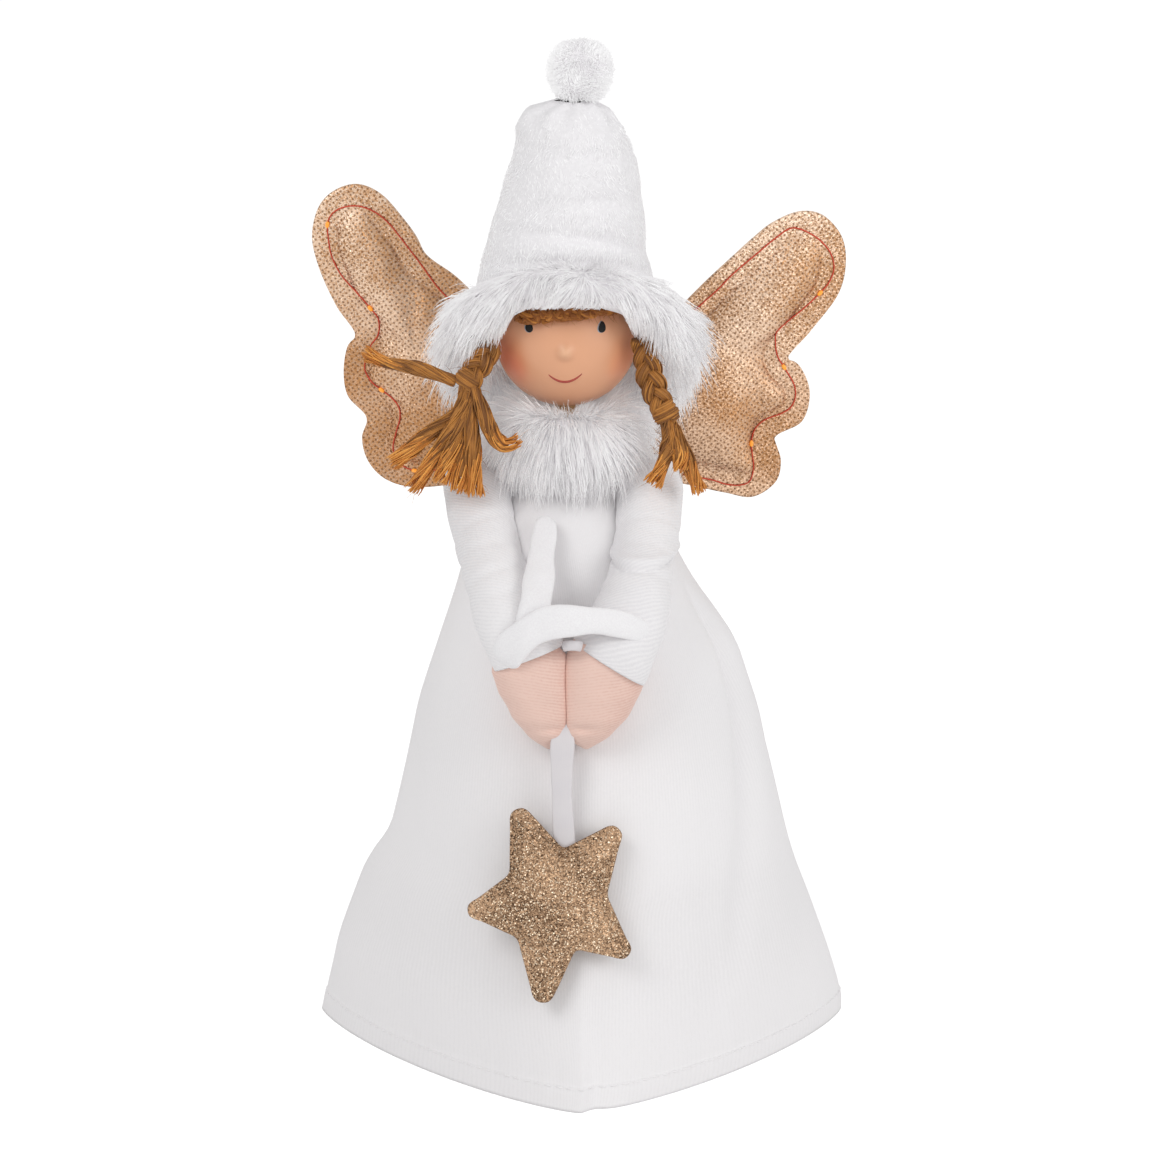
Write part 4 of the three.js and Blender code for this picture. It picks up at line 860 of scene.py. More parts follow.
@dataclass(frozen=True)
class Paint(Finish):
    """Satin paint on turned wood, with airbrushed blush spots and spots of painted light.

    Attributes:
        tints: Spots of airbrushed blush, and spots of painted highlight and painted light: the middle and the
            radius of each in millimetres, and its colour.
    """

    tints: tuple = ()

    def surface(self, tree: Tree, shader: Node) -> None:
        """Fades each spot, blush and painted light alike, out from its middle, over an even brushed coat.

        Args:
            tree: The material's tree.
            shader: Its shader.
        """
        colour = linear(self.colour)
        for *middle, reach, spot_colour in self.tints:
            away = add_node(tree, "VectorMath", {0: self.places(tree), 1: [value * MM for value in middle]},
                            operation="DISTANCE").outputs[1]
            inputs = {"Value": away, "From Min": reach * MM, "From Max": 0.0, "To Max": 0.8}
            share = add_node(tree, "MapRange", inputs, interpolation_type="SMOOTHSTEP").outputs[0]
            colour = self.blended(tree, share, colour, linear(spot_colour))
        coat = self.noise(tree, self.grain, 3)
        mottle = ranged(tree, coat, 0.0, 1.0, 0.0, 0.12)
        colour = self.blended(tree, mottle, colour, linear(self.shade or self.colour))
        tree.links.new(colour, shader.inputs["Base Color"])
        self.raised(tree, shader, coat, self.depth)


@dataclass(frozen=True)
class Glow(Finish):
    """A lamp's coloured resin that shines by itself.

    Attributes:
        strength: How strongly it shines.
    """

    strength: float = 1.0

    def surface(self, tree: Tree, shader: Node) -> None:
        """Lights the resin, with faint clouds in it.

        Args:
            tree: The material's tree.
            shader: Its shader.
        """
        super().surface(tree, shader)
        shader.inputs["Emission Color"].default_value = linear(self.colour)
        shader.inputs["Emission Strength"].default_value = self.strength


# Brushed cotton, woven and raised: matt white with a faint thread, which light grazes softly
DRESS_COTTON = Weave("dress brushed cotton", "#f3f1f2", 0.95, sheen=0.25, grain=0.9, depth=0.035,
                     shade="#efedee", pitch=(1.1, 60.0))
# Cotton thread, twisted: stitches a shade lighter than the cloth
SEWING_THREAD = Finish("white sewing thread", "#f4f2f3", 0.7, sheen=0.2, grain=0.2, depth=0.03)
# Long-pile acrylic fur: bright tips over a greyer depth, with a faint painted glow in place of light passed
# between the hairs
FUR_PILE = Hair("white acrylic fur pile", "#eae7e9", 0.65, sheen=0.6, grain=5.0, faceted=True, carried=0.075)
# The knitted backing of the fur, seen between the locks
FUR_BACKING = Finish("white fur backing", "#f6f4f6", 0.95, sheen=0.4, grain=1.2, depth=0.25, shade="#efecef")
# Short plush, sheared: soft white with a nap that lies in patches; the nap has a faint painted glow
HAT_PLUSH = Finish("white sheared plush", "#f4f2f4", 0.95, sheen=0.4, grain=1.2, depth=0.25, shade="#eeecee")
HAT_NAP = Hair("white plush nap", "#f6f5f6", 0.75, sheen=0.6, grain=8.0, faceted=True, carried=0.06)
# Sheared acrylic fur, packed close: white, kept almost shadowless by a painted glow
POMPOM_PILE = Hair("white pompom pile", "#f6f5f6", 0.7, sheen=0.6, grain=8.0, faceted=True, carried=0.105)
# Turned wood with satin acrylic paint: even skin tone, soft highlight, airbrushed cheeks; the right cheek's
# spots are painted lighter as painted light, and the nose carries a painted highlight
HEAD_PAINT = Paint("painted wooden head", "#e7ab85", 0.4, grain=3.0, depth=0.03, shade="#dc9c77",
                   tints=((-22.5, -9.5, 207.0, 14.0, "#e0662a"), (-19.5, -12.5, 206.0, 7.5, "#dc6a34"),
                          # Right cheek: airbrushed blush, painted lighter as painted light on the side the
                          # lamps reach less
                          (14.5, -9.5, 207.0, 12.5, "#ff9e68"), (12.0, -12.0, 206.0, 6.5, "#fba06c"),
                          # Painted highlight on the nose
                          (-4.3, -21.6, 211.9, 3.0, "#efbf99")))
EYE_PAINT = Finish("black satin paint", "#0d0b0a", 0.8, grain=0.5, depth=0.01)
EYE_SHADE_PAINT = Finish("pale blue brushed paint", "#a3a9b2", 0.5, grain=0.5, depth=0.01)
MOUTH_PAINT = Finish("red brushed paint", "#b0483a", 0.45, grain=0.6, depth=0.02, shade="#9c3a30")
# Acrylic roving yarn: loose lengthwise fibres, tan with golden ends
YARN = Hair("tan roving yarn", "#734518", 0.7, sheen=0.05, grain=5.0, light="#c28238")
YARN_ENDS = Hair("golden yarn ends", "#bd7024", 0.7, sheen=0.05, grain=4.0, light="#f0a84e")
FRINGE_YARN = Hair("brown curled yarn", "#884c16", 0.7, sheen=0.05, grain=3.0, light="#c88236")
# Fine rib knit, tubular: white with ribs that run round the sleeve on a slant
SLEEVE_KNIT = Weave("white rib knit", "#f3f1f2", 0.95, sheen=0.25, grain=0.6, depth=0.1, shade="#eae8ea",
                    pitch=(0.95, 60.0), slant=62)
# Nylon jersey, brushed: flesh pink with fine courses across the hand
HAND_JERSEY = Weave("pink brushed jersey", "#eecdc0", 0.95, sheen=0.3, grain=0.8, depth=0.06, shade="#e4bcae",
                    pitch=(40.0, 0.95))
# Short plush strip, soft: plain white with no weave
TIE_PLUSH = Finish("white plush strip", "#f6f5f6", 0.95, sheen=0.4, grain=0.5, depth=0.12, shade="#f1eff1")
# Polyester satin: smooth threads one way, so a soft streak of light
SATIN = Weave("white satin ribbon", "#dcd8da", 0.3, sheen=0.1, grain=2.0, depth=0.008, shade="#d9d5d8",
              pitch=(0.45, 9.0))
# Glitter bonded to cloth: fine gold-brown flakes, with painted glints among them and painted reflection
# patches
STAR_GLITTER = GlitterCloth("gold glitter cloth", "#bf9c7c", 0.4, 0.85, grain=13.0, flake=0.32,
                            bright="#ffe9cc", sparks=0.13, tilt=0.5, lustre=0.17, shade="#46301e")
STAR_EDGE = GlitterCloth("gold glitter cut edge", "#8f6f52", 0.5, 0.6, flake=0.4, bright="#c9a27a", tilt=0.3,
                         shade="#5d4533")
# Foil cloth over open weave: rose gold, with rows of small pressed holes, painted glints, painted reflection
# patches and painted shade towards the foot
WING_FOIL = GlitterCloth("rose gold foil cloth", "#fde6cf", 0.42, 0.85, grain=24.0, flake=0.36,
                         bright="#fff6ea", sparks=0.05, tilt=0.3, lustre=0.35, shade="#b68a63",
                         hole_pitch=1.4, hole="#6b4628", low="#a8703a", fall=0.55, heights=(258.0, 184.0))
# Drawn copper with red enamel, as on thin lamp wire
COPPER_WIRE = Finish("red enamelled copper wire", "#c2452f", 0.4, 0.5, grain=1.0, depth=0.01)
# Dipped lamp resin, amber, lit from inside
LAMP_RESIN = Glow("amber lamp resin", "#f09a34", 0.25, grain=0.8, depth=0.02, strength=0.45)
# Needle felt: pressed fibres
FELT = Finish("white needle felt", "#e8e5e4", 0.95, sheen=0.3, grain=0.8, depth=0.25, shade="#dcd8d7")
FOAM = Finish("white foam tape", "#dddcd8", 0.9, grain=0.6, depth=0.3, shade="#c2c1bc")
WADDING = Finish("polyester wadding", "#f0efef", 0.95, sheen=0.5, grain=2.5, depth=1.2, shade="#dcdadb")
CARD = Finish("grey board card", "#b9a88f", 0.9, grain=0.7, depth=0.05, shade="#ab9a80")
PLAIN_WOOD = Finish("turned beech", "#cfa877", 0.55, grain=1.5, depth=0.04, shade="#bb9060")
CASE_PLASTIC = Finish("white moulded polypropylene", "#e4e3df", 0.42, grain=0.6, depth=0.02)
BLACK_PLASTIC = Finish("black moulded nylon", "#1d1d1f", 0.45, grain=0.6, depth=0.02)
STEEL = Finish("nickel plated steel", "#c9c7c3", 0.28, 1.0, grain=1.2, depth=0.01)
BOARD = Finish("green circuit board", "#2c5a3c", 0.45, grain=0.8, depth=0.02, shade="#244c33")
INSULATION = Finish("clear brown lead insulation", "#8c5a3c", 0.35, grain=1.0, depth=0.01)


# Dress


@dataclass
class Dress:
    """The white dress: a tall cloth cone with four soft corners at its hem."""

    height: float = 175.0
    half_width: float = 79.0
    half_depth: float = 77.0
    wall: float = 1.2
    softening: float = 0.018
    slant_share: float = 1.06
    round_share: float = 0.75
    fold_depth: float = 3.0
    crease_depth: float = 2.0
    hem_height: float = 7.0
    hem_rise: float = 0.35
    stitch_length: float = 2.6
    stitch_width: float = 0.42
    stitch_pitch_share: float = 1.35
    groove_drop: float = 0.9
    sides: int = 300
    rows: int = 150
    # Height shares of the rings below the fine rows: the hem's turned edge and its seam
    hem_shares: tuple = (0, 0.006, 0.014, 0.022, 0.03, 0.0362, 0.0395, 0.0405, 0.043)
    # Height, left, right, front and back reach, corner place and exponent of the plan, as in the model
    station_shares: tuple = (
        (0, 1, 1.012, 1, 1, 0.104, 1.32),
        (0.04, 0.982, 1.012, 0.974, 0.968, 0.097, 1.35),
        (0.143, 0.935, 0.939, 0.903, 0.883, 0.071, 1.45),
        (0.289, 0.813, 0.819, 0.786, 0.747, 0.032, 1.6),
        (0.343, 0.728, 0.785, 0.747, 0.701, 0.013, 1.7),
        (0.457, 0.671, 0.725, 0.669, 0.636, 0, 1.85),
        (0.577, 0.614, 0.66, 0.571, 0.558, 0, 1.95),
        (0.686, 0.537, 0.572, 0.494, 0.494, 0, 2),
        (0.789, 0.462, 0.42, 0.422, 0.429, 0, 2.1),
        (0.857, 0.42, 0.34, 0.364, 0.396, 0, 2.1),
        (0.914, 0.345, 0.235, 0.28, 0.35, 0, 2.1),
        (0.96, 0.26, 0.16, 0.195, 0.265, 0, 2),
        (0.989, 0.16, 0.055, 0.112, 0.15, 0, 2),
        (1, 0.122, 0.02, 0.075, 0.075, 0, 2),
    )

    def stations(self, share: Array) -> Array:
        """The station values at height shares, softened between the given stations.

        Args:
            share: Shares of the height.

        Returns:
            A row of values for each share.
        """
        table = np.array(self.station_shares, float)
        marks, rows = table[:, 0], table[:, 1:]
        shifts = (-self.softening, 0, self.softening)
        near = [between(np.clip(share + shift, 0, 1), marks, rows) for shift in shifts]
        softened = sum(near) / len(near)
        exact = between(share, marks, rows)
        blend = smoothstep(share, 0.0, 0.03)[..., None] * (1 - smoothstep(share, 0.97, 1.0))[..., None]
        return exact + (softened - exact) * blend

    def fold(self, angle: Array, share: Array) -> Array:
        """How far the folds draw the cloth in.

        Args:
            angle: Angles round the dress.
            share: Shares of its height.

        Returns:
            The way in at each place.
        """
        degrees = np.degrees(angle)
        middle = np.interp(share, [0.27, 0.73], [-40, -16]) + (share < 0.27) * (share - 0.27) * 52
        window = smoothstep(share, 0.1, 0.3) * (1 - smoothstep(share, 0.7, 0.82))
        valley = dip(degrees - middle, 0, 4.5) - 0.45 * dip(degrees - middle, 14, 10)
        crease = dip(degrees, -82.5, 5) * (1 - smoothstep(share, 0.05, 0.25))
        return self.fold_depth * valley * window + self.crease_depth * crease

    def rings(self, shares: Array, grow: Array | float, sides: int) -> Array:
        """Rings of the dress at height shares, grown outward by a distance.

        Args:
            shares: Shares of the height, from 0 to 1.
            grow: The distance.
            sides: Points in a ring.

        Returns:
            The rings as (ring, side, axis).
        """
        share = np.asarray(shares, float)[:, None]
        left, right, front, back, corner, power = np.moveaxis(self.stations(share[:, 0]), -1, 0)[..., None]
        left, right = -left * self.half_width, right * self.half_width
        corner = corner * self.half_depth
        front = front * self.half_depth + corner + grow
        back = back * self.half_depth - corner + grow
        half = (right - left) / 2 + grow
        angle = (turns(sides) - math.pi)[None]
        c, s = np.cos(angle), np.sin(angle)
        drawn = self.fold(angle, share)
        x = np.sign(c) * np.abs(c) ** (2 / power) * (half - drawn * np.abs(c))
        y = np.sign(s) * np.abs(s) ** (2 / power) * (np.where(s < 0, front, back) - drawn * np.abs(s))
        z = np.broadcast_to(share * self.height, x.shape)
        return np.stack([(left + right) / 2 + x, corner + y, z], axis=-1)

    def pushed_out(self, points: Array, room: float) -> Array:
        """Points moved out of the dress until they lie a distance clear of it.

        Args:
            points: Places, one a row.
            room: The distance.

        Returns:
            The moved points.
        """
        moved = points.copy()
        shares = np.clip(moved[:, 2] / self.height, 0, 1)
        order = np.argsort(shares)
        for chunk in np.array_split(order, max(1, len(order) // 400)):
            rings = self.rings(shares[chunk], room, 180)
            middle = rings.mean(axis=1)
            arm = moved[chunk, :2] - middle[:, :2]
            bearing = np.arctan2(arm[:, 1], arm[:, 0])
            rim = rings[..., :2] - middle[:, None, :2]
            rim_bearing = np.arctan2(rim[..., 1], rim[..., 0])
            rim_reach = np.linalg.norm(rim, axis=-1)
            for row, k in enumerate(chunk):
                if moved[k, 2] > self.height:
                    continue
                reach = np.interp(bearing[row], rim_bearing[row], rim_reach[row], period=TURN)
                length = np.linalg.norm(arm[row])
                if length < reach:
                    moved[k, :2] = middle[row, :2] + arm[row] / max(length, 1e-6) * reach
        return moved

    def outer(self) -> Array:
        """The outside of the cloth with its hem, its seam and its soft unevenness.

        Returns:
            The rings as (ring, side, axis).
        """
        shares = np.append(self.hem_shares, np.linspace(0.05, 1, self.rows - len(self.hem_shares)))
        rings = self.rings(shares, 0.0, self.sides)
        middle = rings.mean(axis=1, keepdims=True) * [1, 1, 0]
        outward = unit((rings - middle) * [1, 1, 0])
        height = rings[..., 2]
        stretched = rings * [1, 1, 0.3]
        waves = ripple(stretched, 24.0, 1) * 1.1 + ripple(stretched, 9.0, 2) * 0.3
        fade = smoothstep(height, 3, 25) * (1 - smoothstep(height, 150, 172))
        hem = (1 - smoothstep(height, self.hem_height - 0.25, self.hem_height + 0.35)) * self.hem_rise
        groove = dip(height, self.hem_height - self.groove_drop, 0.4) * 0.3
        pucker = dip(height, self.hem_height, 5.0) * ripple(rings * [1, 1, 0], 4.5, 3) * 0.35
        return rings + outward * (np.minimum(waves, 0.6) * fade + hem - groove + pucker)[..., None]

    def build(self) -> None:
        """Makes the dress and its hem stitches."""
        outer = self.outer()
        middle = outer.mean(axis=1, keepdims=True) * [1, 1, 0]
        inner = outer - unit((outer - middle) * [1, 1, 0]) * self.wall
        rings = np.concatenate([outer, inner[::-1]])
        along = np.concatenate([outer[:, 0, 2], inner[::-1, 0, 2]]) * self.slant_share
        flat = stacked(turns(self.sides)[None] * self.half_width * self.round_share, along[:, None])
        shape = loft(rings, loops=True, flat=flat)
        dress = make_piece("dress_cloth", shape, [DRESS_COTTON], Body.FIGURE, "dress_cloth", "dress")
        self.stitches(outer)

    def stitches(self, outer: Array) -> Piece:
        """The row of stitches along the top of the hem.

        Args:
            outer: Rings of the outside of the cloth.

        Returns:
            The piece.
        """
        row = int(np.argmin(np.abs(outer[:, 0, 2] - (self.hem_height - self.groove_drop))))
        path = np.concatenate([outer[row], outer[row][:1]])
        reach = travelled(path)
        count = int(reach[-1] / (self.stitch_length * self.stitch_pitch_share))
        stops = np.arange(count) / count * reach[-1]
        lift = np.array([-0.15, 0.16, 0.22, 0.16, -0.15])[:, None]
        radii = self.stitch_width / 2 * np.array([0.5, 1, 1, 1, 0.5])
        parts = []
        for stop in stops:
            middle = between(np.linspace(stop, stop + self.stitch_length, len(lift)), reach, path)
            parts.append(tube(middle + unit(middle * [1, 1, 0]) * lift, radii, 6))
        return make_piece("hem_stitches", joined(parts), [SEWING_THREAD], Body.FIGURE, "dress_cloth")


# Fur


@dataclass
class Pile:
    """A pile of hairs on a backing, drawn together in locks.

    Attributes:
        count: Number of hairs.
        length: Shortest and longest hair.
        width: Width of a hair at its root, as coarse as it needs to show.
        lock: Number of hairs that share a lock.
        gather: How far a lock draws its tips together.
        wander: How far the hairs stray from the way they are brushed.
        lift: How far they stand off the backing.
        droop: How far a hair sags in its own length.
        seed: Seed of its random draws.
    """

    count: int
    length: tuple[float, float]
    width: float = 0.3
    lock: int = 14
    gather: float = 0.7
    wander: float = 0.4
    lift: float = 0.4
    droop: float = 0.1
    seed: int = 1

    def grown(self, roots: Array, normals: Array, brushed: Array, scale: Array | float = 1.0,
              guide: Callable[[Array], Array] | None = None) -> Shape:
        """Hairs on given roots.

        Args:
            roots: Where the hairs stand.
            normals: The way out of the backing at each root.
            brushed: The way that the hairs are laid.
            scale: Share of the pile's length at each root.
            guide: Moves places that no hair may reach to where it may.

        Returns:
            The hairs as one shape.
        """
        rng = np.random.default_rng(self.seed)
        count = len(roots)
        stray = swirl(roots, 9.0, self.seed) * self.wander + rng.normal(0, 0.12, (count, 3))
        heading = unit(normals * self.lift + brushed + stray)
        buried = np.einsum("ij,ij->i", heading, normals)
        heading = unit(heading + normals * np.maximum(0.1 - buried, 0)[:, None])
        length = rng.uniform(*self.length, count) * (0.8 + 0.75 * rng.random(count) ** 6) * scale
        tips = roots + heading * length[:, None]
        leaders = rng.choice(count, max(1, count // self.lock), replace=False)
        tree = KDTree(len(leaders))
        for k, leader in enumerate(leaders):
            tree.insert(Vector(roots[leader]), k)
        tree.balance()
        chosen = np.array([leaders[tree.find(Vector(root))[1]] for root in roots])
        tips = tips + (tips[chosen] - tips) * (self.gather * rng.uniform(0.2, 1.0, count))[:, None]
        tips[:, 2] -= self.droop * length
        middles = (roots + tips) / 2 + (normals * 0.08 + rng.normal(0, 0.04, (count, 3))) * length[:, None]
        if guide:
            tips, middles = guide(tips), guide(middles)
        widths = self.width * rng.uniform(0.6, 1.2, count)
        return bent_hairs(roots, tips, middles - (roots + tips) / 2, widths)


@dataclass
class FurRing:
    """A ring of fur: a tilted circle with an oval section that may thin towards the front."""

    name: str
    centre: tuple[float, float, float]
    radius: float
    half_width: float
    half_height: float
    tilt: float
    front_share: float
    inset: float
    pile: Pile
    front_rise: float = 0.0

    def axes(self) -> tuple[Array, Array]:
        """The ring's forward direction and the way it faces."""
        slope = math.radians(self.tilt)
        c, s = math.cos(slope), math.sin(slope)
        return np.array([0, -c, s]), np.array([0, s, c])

    def surface(self, turn: Array, around: Array, grow: float) -> tuple[Array, Array, Array]:
        """Places, outward normals and the way round the ring at angles on it.

        Args:
            turn: Angles round the ring.
            around: Angles round its section.
            grow: How far it is grown.

        Returns:
            The places, the normals and the way round.
        """
        forward, normal = self.axes()
        turn, around = turn[..., None], around[..., None]
        out = ACROSS * np.cos(turn) + forward * np.sin(turn)
        along = -ACROSS * np.sin(turn) + forward * np.cos(turn)
        scale = 1 + (self.front_share - 1) * np.maximum(0, np.sin(turn)) ** 2
        wide, high = self.half_width * scale + grow, self.half_height * scale + grow
        place = np.array(self.centre) + out * (self.radius + np.cos(around) * wide)
        place = place + normal * np.sin(around) * high
        place = place + UPWARD * self.front_rise * np.maximum(0, np.sin(turn)) ** 2
        facing = unit(out * np.cos(around) * high + normal * np.sin(around) * wide)
        return place, facing, along

    def backing(self) -> Shape:
        """The knitted backing under the pile, raised in locks that run with the hair.

        Returns:
            The backing.
        """
        turn, around = np.meshgrid(turns(220), turns(48), indexing="ij")
        place, facing, _ = self.surface(turn, around, -self.inset)
        combed = np.stack([np.cos(turn) * 9, np.sin(turn) * 9, around * 7], axis=-1)
        relief = ripple(combed, 2.6, 5) * 0.8 + ripple(place, 6.0, 6) * 0.6
        return loft(place + facing * relief[..., None], loops=True)

    def brushed(self, turn: Array, facing: Array, along: Array) -> Array:
        """The way the pile is laid: sideways and forward over the face, out and down at the sides.

        Args:
            turn: Angles round the ring.
            facing: The way out at each root.
            along: The way round the ring there.

        Returns:
            The way each hair is laid.
        """
        away = -np.tanh(1.6 * (np.cos(turn) - 0.15)) * 0.8
        front = np.maximum(0, np.sin(turn))[:, None]
        out = np.cross(self.axes()[1], along)
        over = np.cross(facing, along) * 0.7 * front
        return along * away[:, None] + over + (out * 0.5 - UPWARD * 0.75) * (1 - front)

    def scale(self, turn: Array) -> Array:
        """Share of the hair's length, shorter over the face."""
        return 1 - 0.4 * np.maximum(0, np.sin(turn)) ** 2

    def roots(self, count: int) -> tuple[Array, Array, Array, Array]:
        """Random angles on the ring's outside with their places and directions.

        Args:
            count: How many to find.

        Returns:
            Angles, places, the way out and the way round.
        """
        rng = np.random.default_rng(self.pile.seed + 40)
        turn = rng.random(count * 2) * TURN
        around = rng.random(count * 2) * TURN
        outer = rng.random(count * 2) < 0.25 + 0.75 * smoothstep(np.cos(around), -1.1, -0.4)
        turn, around = turn[outer][:count], around[outer][:count]
        place, facing, along = self.surface(turn, around, -self.inset)
        return turn, place, facing, along

    def build(self, node: str) -> None:
        """Makes the ring and lets it stand for its node.

        Args:
            node: The node's name.
        """
        turn, place, facing, along = self.roots(self.pile.count)
        laid = self.brushed(turn, facing, along)
        hairs = self.pile.grown(place, facing, laid, self.scale(turn), clear_of_face)
        shape = joined([self.backing(), hairs.painted(1)])
        make_piece(self.name, shape, [FUR_BACKING, FUR_PILE], Body.FIGURE, "fur", node)


class Collar(FurRing):
    """The fur collar, whose pile comes up round the chin, lies over the rim and hangs over the chest."""

    def brushed(self, turn: Array, facing: Array, along: Array) -> Array:
        """Up at the inner rim, and from there over the ring, out and down."""
        over = np.cross(facing, along)
        rise = smoothstep(over[:, 2], -0.3, 0.8)[:, None]
        return over + np.cross(self.axes()[1], along) * 0.35 + UPWARD * (1.1 * rise - 0.25)

    def scale(self, turn: Array) -> Array:
        """The whole length all round."""
        return np.ones_like(turn)


HEAD_CENTRE = np.array([-4.0, 0.0, 212.8])
HEAD_RADIUS = 21.0


def clear_of_face(points: Array) -> Array:
    """Places of hair moved out of the head, and off the face between the brim's arch and the chin.

    Args:
        points: Places of hair, one a row.

    Returns:
        The moved places.
    """
    away = points - HEAD_CENTRE
    reach = np.linalg.norm(away, axis=1, keepdims=True)
    moved = HEAD_CENTRE + away * np.maximum(1, (HEAD_RADIUS + 0.5) / np.maximum(reach, 1e-6))
    brow, temple_drop, cheek_height = 225.1, 9.0, 208
    sine, cosine, tangent = 0.259, 0.966, 0.268
    aside = np.abs(moved[:, 0] - HEAD_CENTRE[0] - 0.6)
    forward = -moved[:, 1]
    wisp = 1.3 * ripple(points, 0.9, 7)
    arch = brow - temple_drop * smoothstep(aside, 14.0, 20.5) + 0.22 * (forward - 22) + wisp
    level = np.sqrt(np.maximum(HEAD_RADIUS**2 - aside**2, 0))
    # The chin's edge as the camera sees it from 15 degrees above
    chin = HEAD_CENTRE[2] + 0.6 - cosine * level + tangent * (forward - sine * level) + wisp * 0.6
    before = (forward > 7) & (aside < 20)
    hanging = before & (moved[:, 2] > cheek_height)
    moved[hanging, 2] = np.maximum(moved[hanging, 2], arch[hanging])
    rising = before & (moved[:, 2] <= cheek_height)
    moved[rising, 2] = np.minimum(moved[rising, 2], chin[rising])
    return moved


@dataclass
class Hat:
    """The plush hat with its pompom."""

    rim_radius: float = 27.5
    height: float = 282.0
    wall: float = 1.4
    shift: float = 2.5
    lift: float = 4.3
    brim_centre: tuple[float, float, float] = (-3.0, -1.5, 211.0)
    brim_tilt: float = 43.0
    pompom_radius: float = 9.9
    pompom_centre: tuple[float, float, float] = (0.0, 0.0, 289.9)
    pompom_backing: float = 1.3
    gathers: int = 9
    top_rise: float = 1.2
    sides: int = 160
    rows: int = 90
    # Share of the way up, radius, tilt of the ring and shift to the side, as in the model
    station_shares: tuple = (
        (0, 1, 1, 0), (0.16, 0.95, 0.62, -0.6), (0.34, 0.86, 0.3, -1), (0.55, 0.76, 0.1, -0.65),
        (0.74, 0.67, 0, -0.45), (0.88, 0.54, 0, -0.9), (0.96, 0.37, 0, -0.9), (0.995, 0.16, 0, -0.4),
    )
    # Height share, slant, turn and depth of the soft folds round the lower half
    fold_bands: tuple = ((0.26, 0.04, 0.4, 1.1), (0.38, 0.05, 2.2, 1.2), (0.55, 0.04, 4.0, 0.8),
                         (0.8, 0.02, 1.0, 0.8))

    def rings(self, shares: Array) -> Array:
        """Rings of the hat at shares of the way up.

        Args:
            shares: Shares of the way up.

        Returns:
            The rings as (ring, side, axis).
        """
        table = np.array(self.station_shares)
        radius, tilt, shift = between(shares, table[:, 0], table[:, 1:]).T
        slope = np.radians(tilt * self.brim_tilt)
        turned = math.radians(self.brim_tilt)
        start = np.array(self.brim_centre) + np.array([0, math.sin(turned), math.cos(turned)]) * self.lift
        centre = start + (np.array([0, 0, self.height]) - start) * shares[:, None]
        centre[:, 0] += shift * self.shift
        forward = np.stack([0 * slope, -np.cos(slope), np.sin(slope)], axis=1)
        out = spokes(turns(self.sides)[None], ACROSS, forward[:, None])
        return centre[:, None] + out * (self.rim_radius * radius)[:, None, None]

    def folds(self, rings: Array, shares: Array) -> Array:
        """How far the soft folds, the gathered top and the shoulder at its left move the cloth.

        Args:
            rings: The smooth rings.
            shares: Shares of the way up.

        Returns:
            The way out at each place.
        """
        angle = turns(self.sides)[None]
        share = shares[:, None]
        front = np.maximum(0, np.sin(angle + 0.3))
        bands = sum(
            depth * dip(share + slant * np.sin(angle + turn), place, 0.036) * front
            for place, slant, turn, depth in self.fold_bands
        )
        soft = ripple(rings * [0.6, 0.6, 1.0], 13.0, 8) * 0.9 + ripple(rings, 5.0, 9) * 0.25
        gather = np.sin(angle * self.gathers + 1.3) * smoothstep(share, 0.86, 0.97) * 0.9
        shoulder = dip(angle, math.pi, 0.8) * dip(share, 0.935, 0.07) * 3.2
        return soft - bands + gather + shoulder

    def cloth(self, outer: Array, outward: Array) -> Shape:
        """The cloth of the hat, gathered to a point at its top.

        Args:
            outer: Rings of its outside.
            outward: The way out at each place.

        Returns:
            The closed cloth.
        """
        inner = outer - outward * self.wall
        shell = loft(np.concatenate([outer, inner[::-1]]), loops=True)
        side = np.arange(self.sides)
        start = (self.rows - 1) * self.sides
        tip = np.full(self.sides, len(shell.points))
        cap = np.stack([side + start, (side + 1) % self.sides + start, tip], axis=1)
        top = outer[-1].mean(axis=0) + UPWARD * self.top_rise
        return Shape(np.concatenate([shell.points, top[None]]), shell.faces + [cap]).outward()

    def nap(self, outer: Array, outward: Array, middle: Array) -> Shape:
        """The short nap that stands on the cloth.

        Args:
            outer: Rings of the cloth's outside.
            outward: The way out at each place.
            middle: The rings' middles.

        Returns:
            The hairs, in the second finish.
        """
        rng = np.random.default_rng(71)
        nap = Pile(14000, (1.0, 1.7), width=0.22, lock=7, gather=0.3, wander=0.9, lift=0.12, seed=72)
        row = rng.integers(0, self.rows - 1, nap.count)
        side = rng.integers(0, self.sides, nap.count)
        reach = np.linalg.norm(outer[row, side] - middle[row, 0], axis=1)
        keep = rng.random(nap.count) < reach / self.rim_radius
        row, side = row[keep], side[keep]
        slide = rng.random((len(row), 1))
        roots = outer[row, side] * (1 - slide) + outer[row + 1, (side + 1) % self.sides] * slide
        return nap.grown(roots, outward[row, side], np.tile(-UPWARD * 0.7, (len(row), 1))).painted(1)

    def build(self) -> None:
        """Makes the hat with its nap, and its pompom."""
        shares = np.linspace(0, 0.995, self.rows)
        outer = self.rings(shares)
        middle = outer.mean(axis=1, keepdims=True)
        outward = unit(outer - middle)
        outer = outer + outward * self.folds(outer, shares)[..., None]
        shape = joined([self.cloth(outer, outward), self.nap(outer, outward, middle)])
        make_piece("plush_hat", shape, [HAT_PLUSH, HAT_NAP], Body.FIGURE, "hat_cloth", "hat")
        self.pompom()

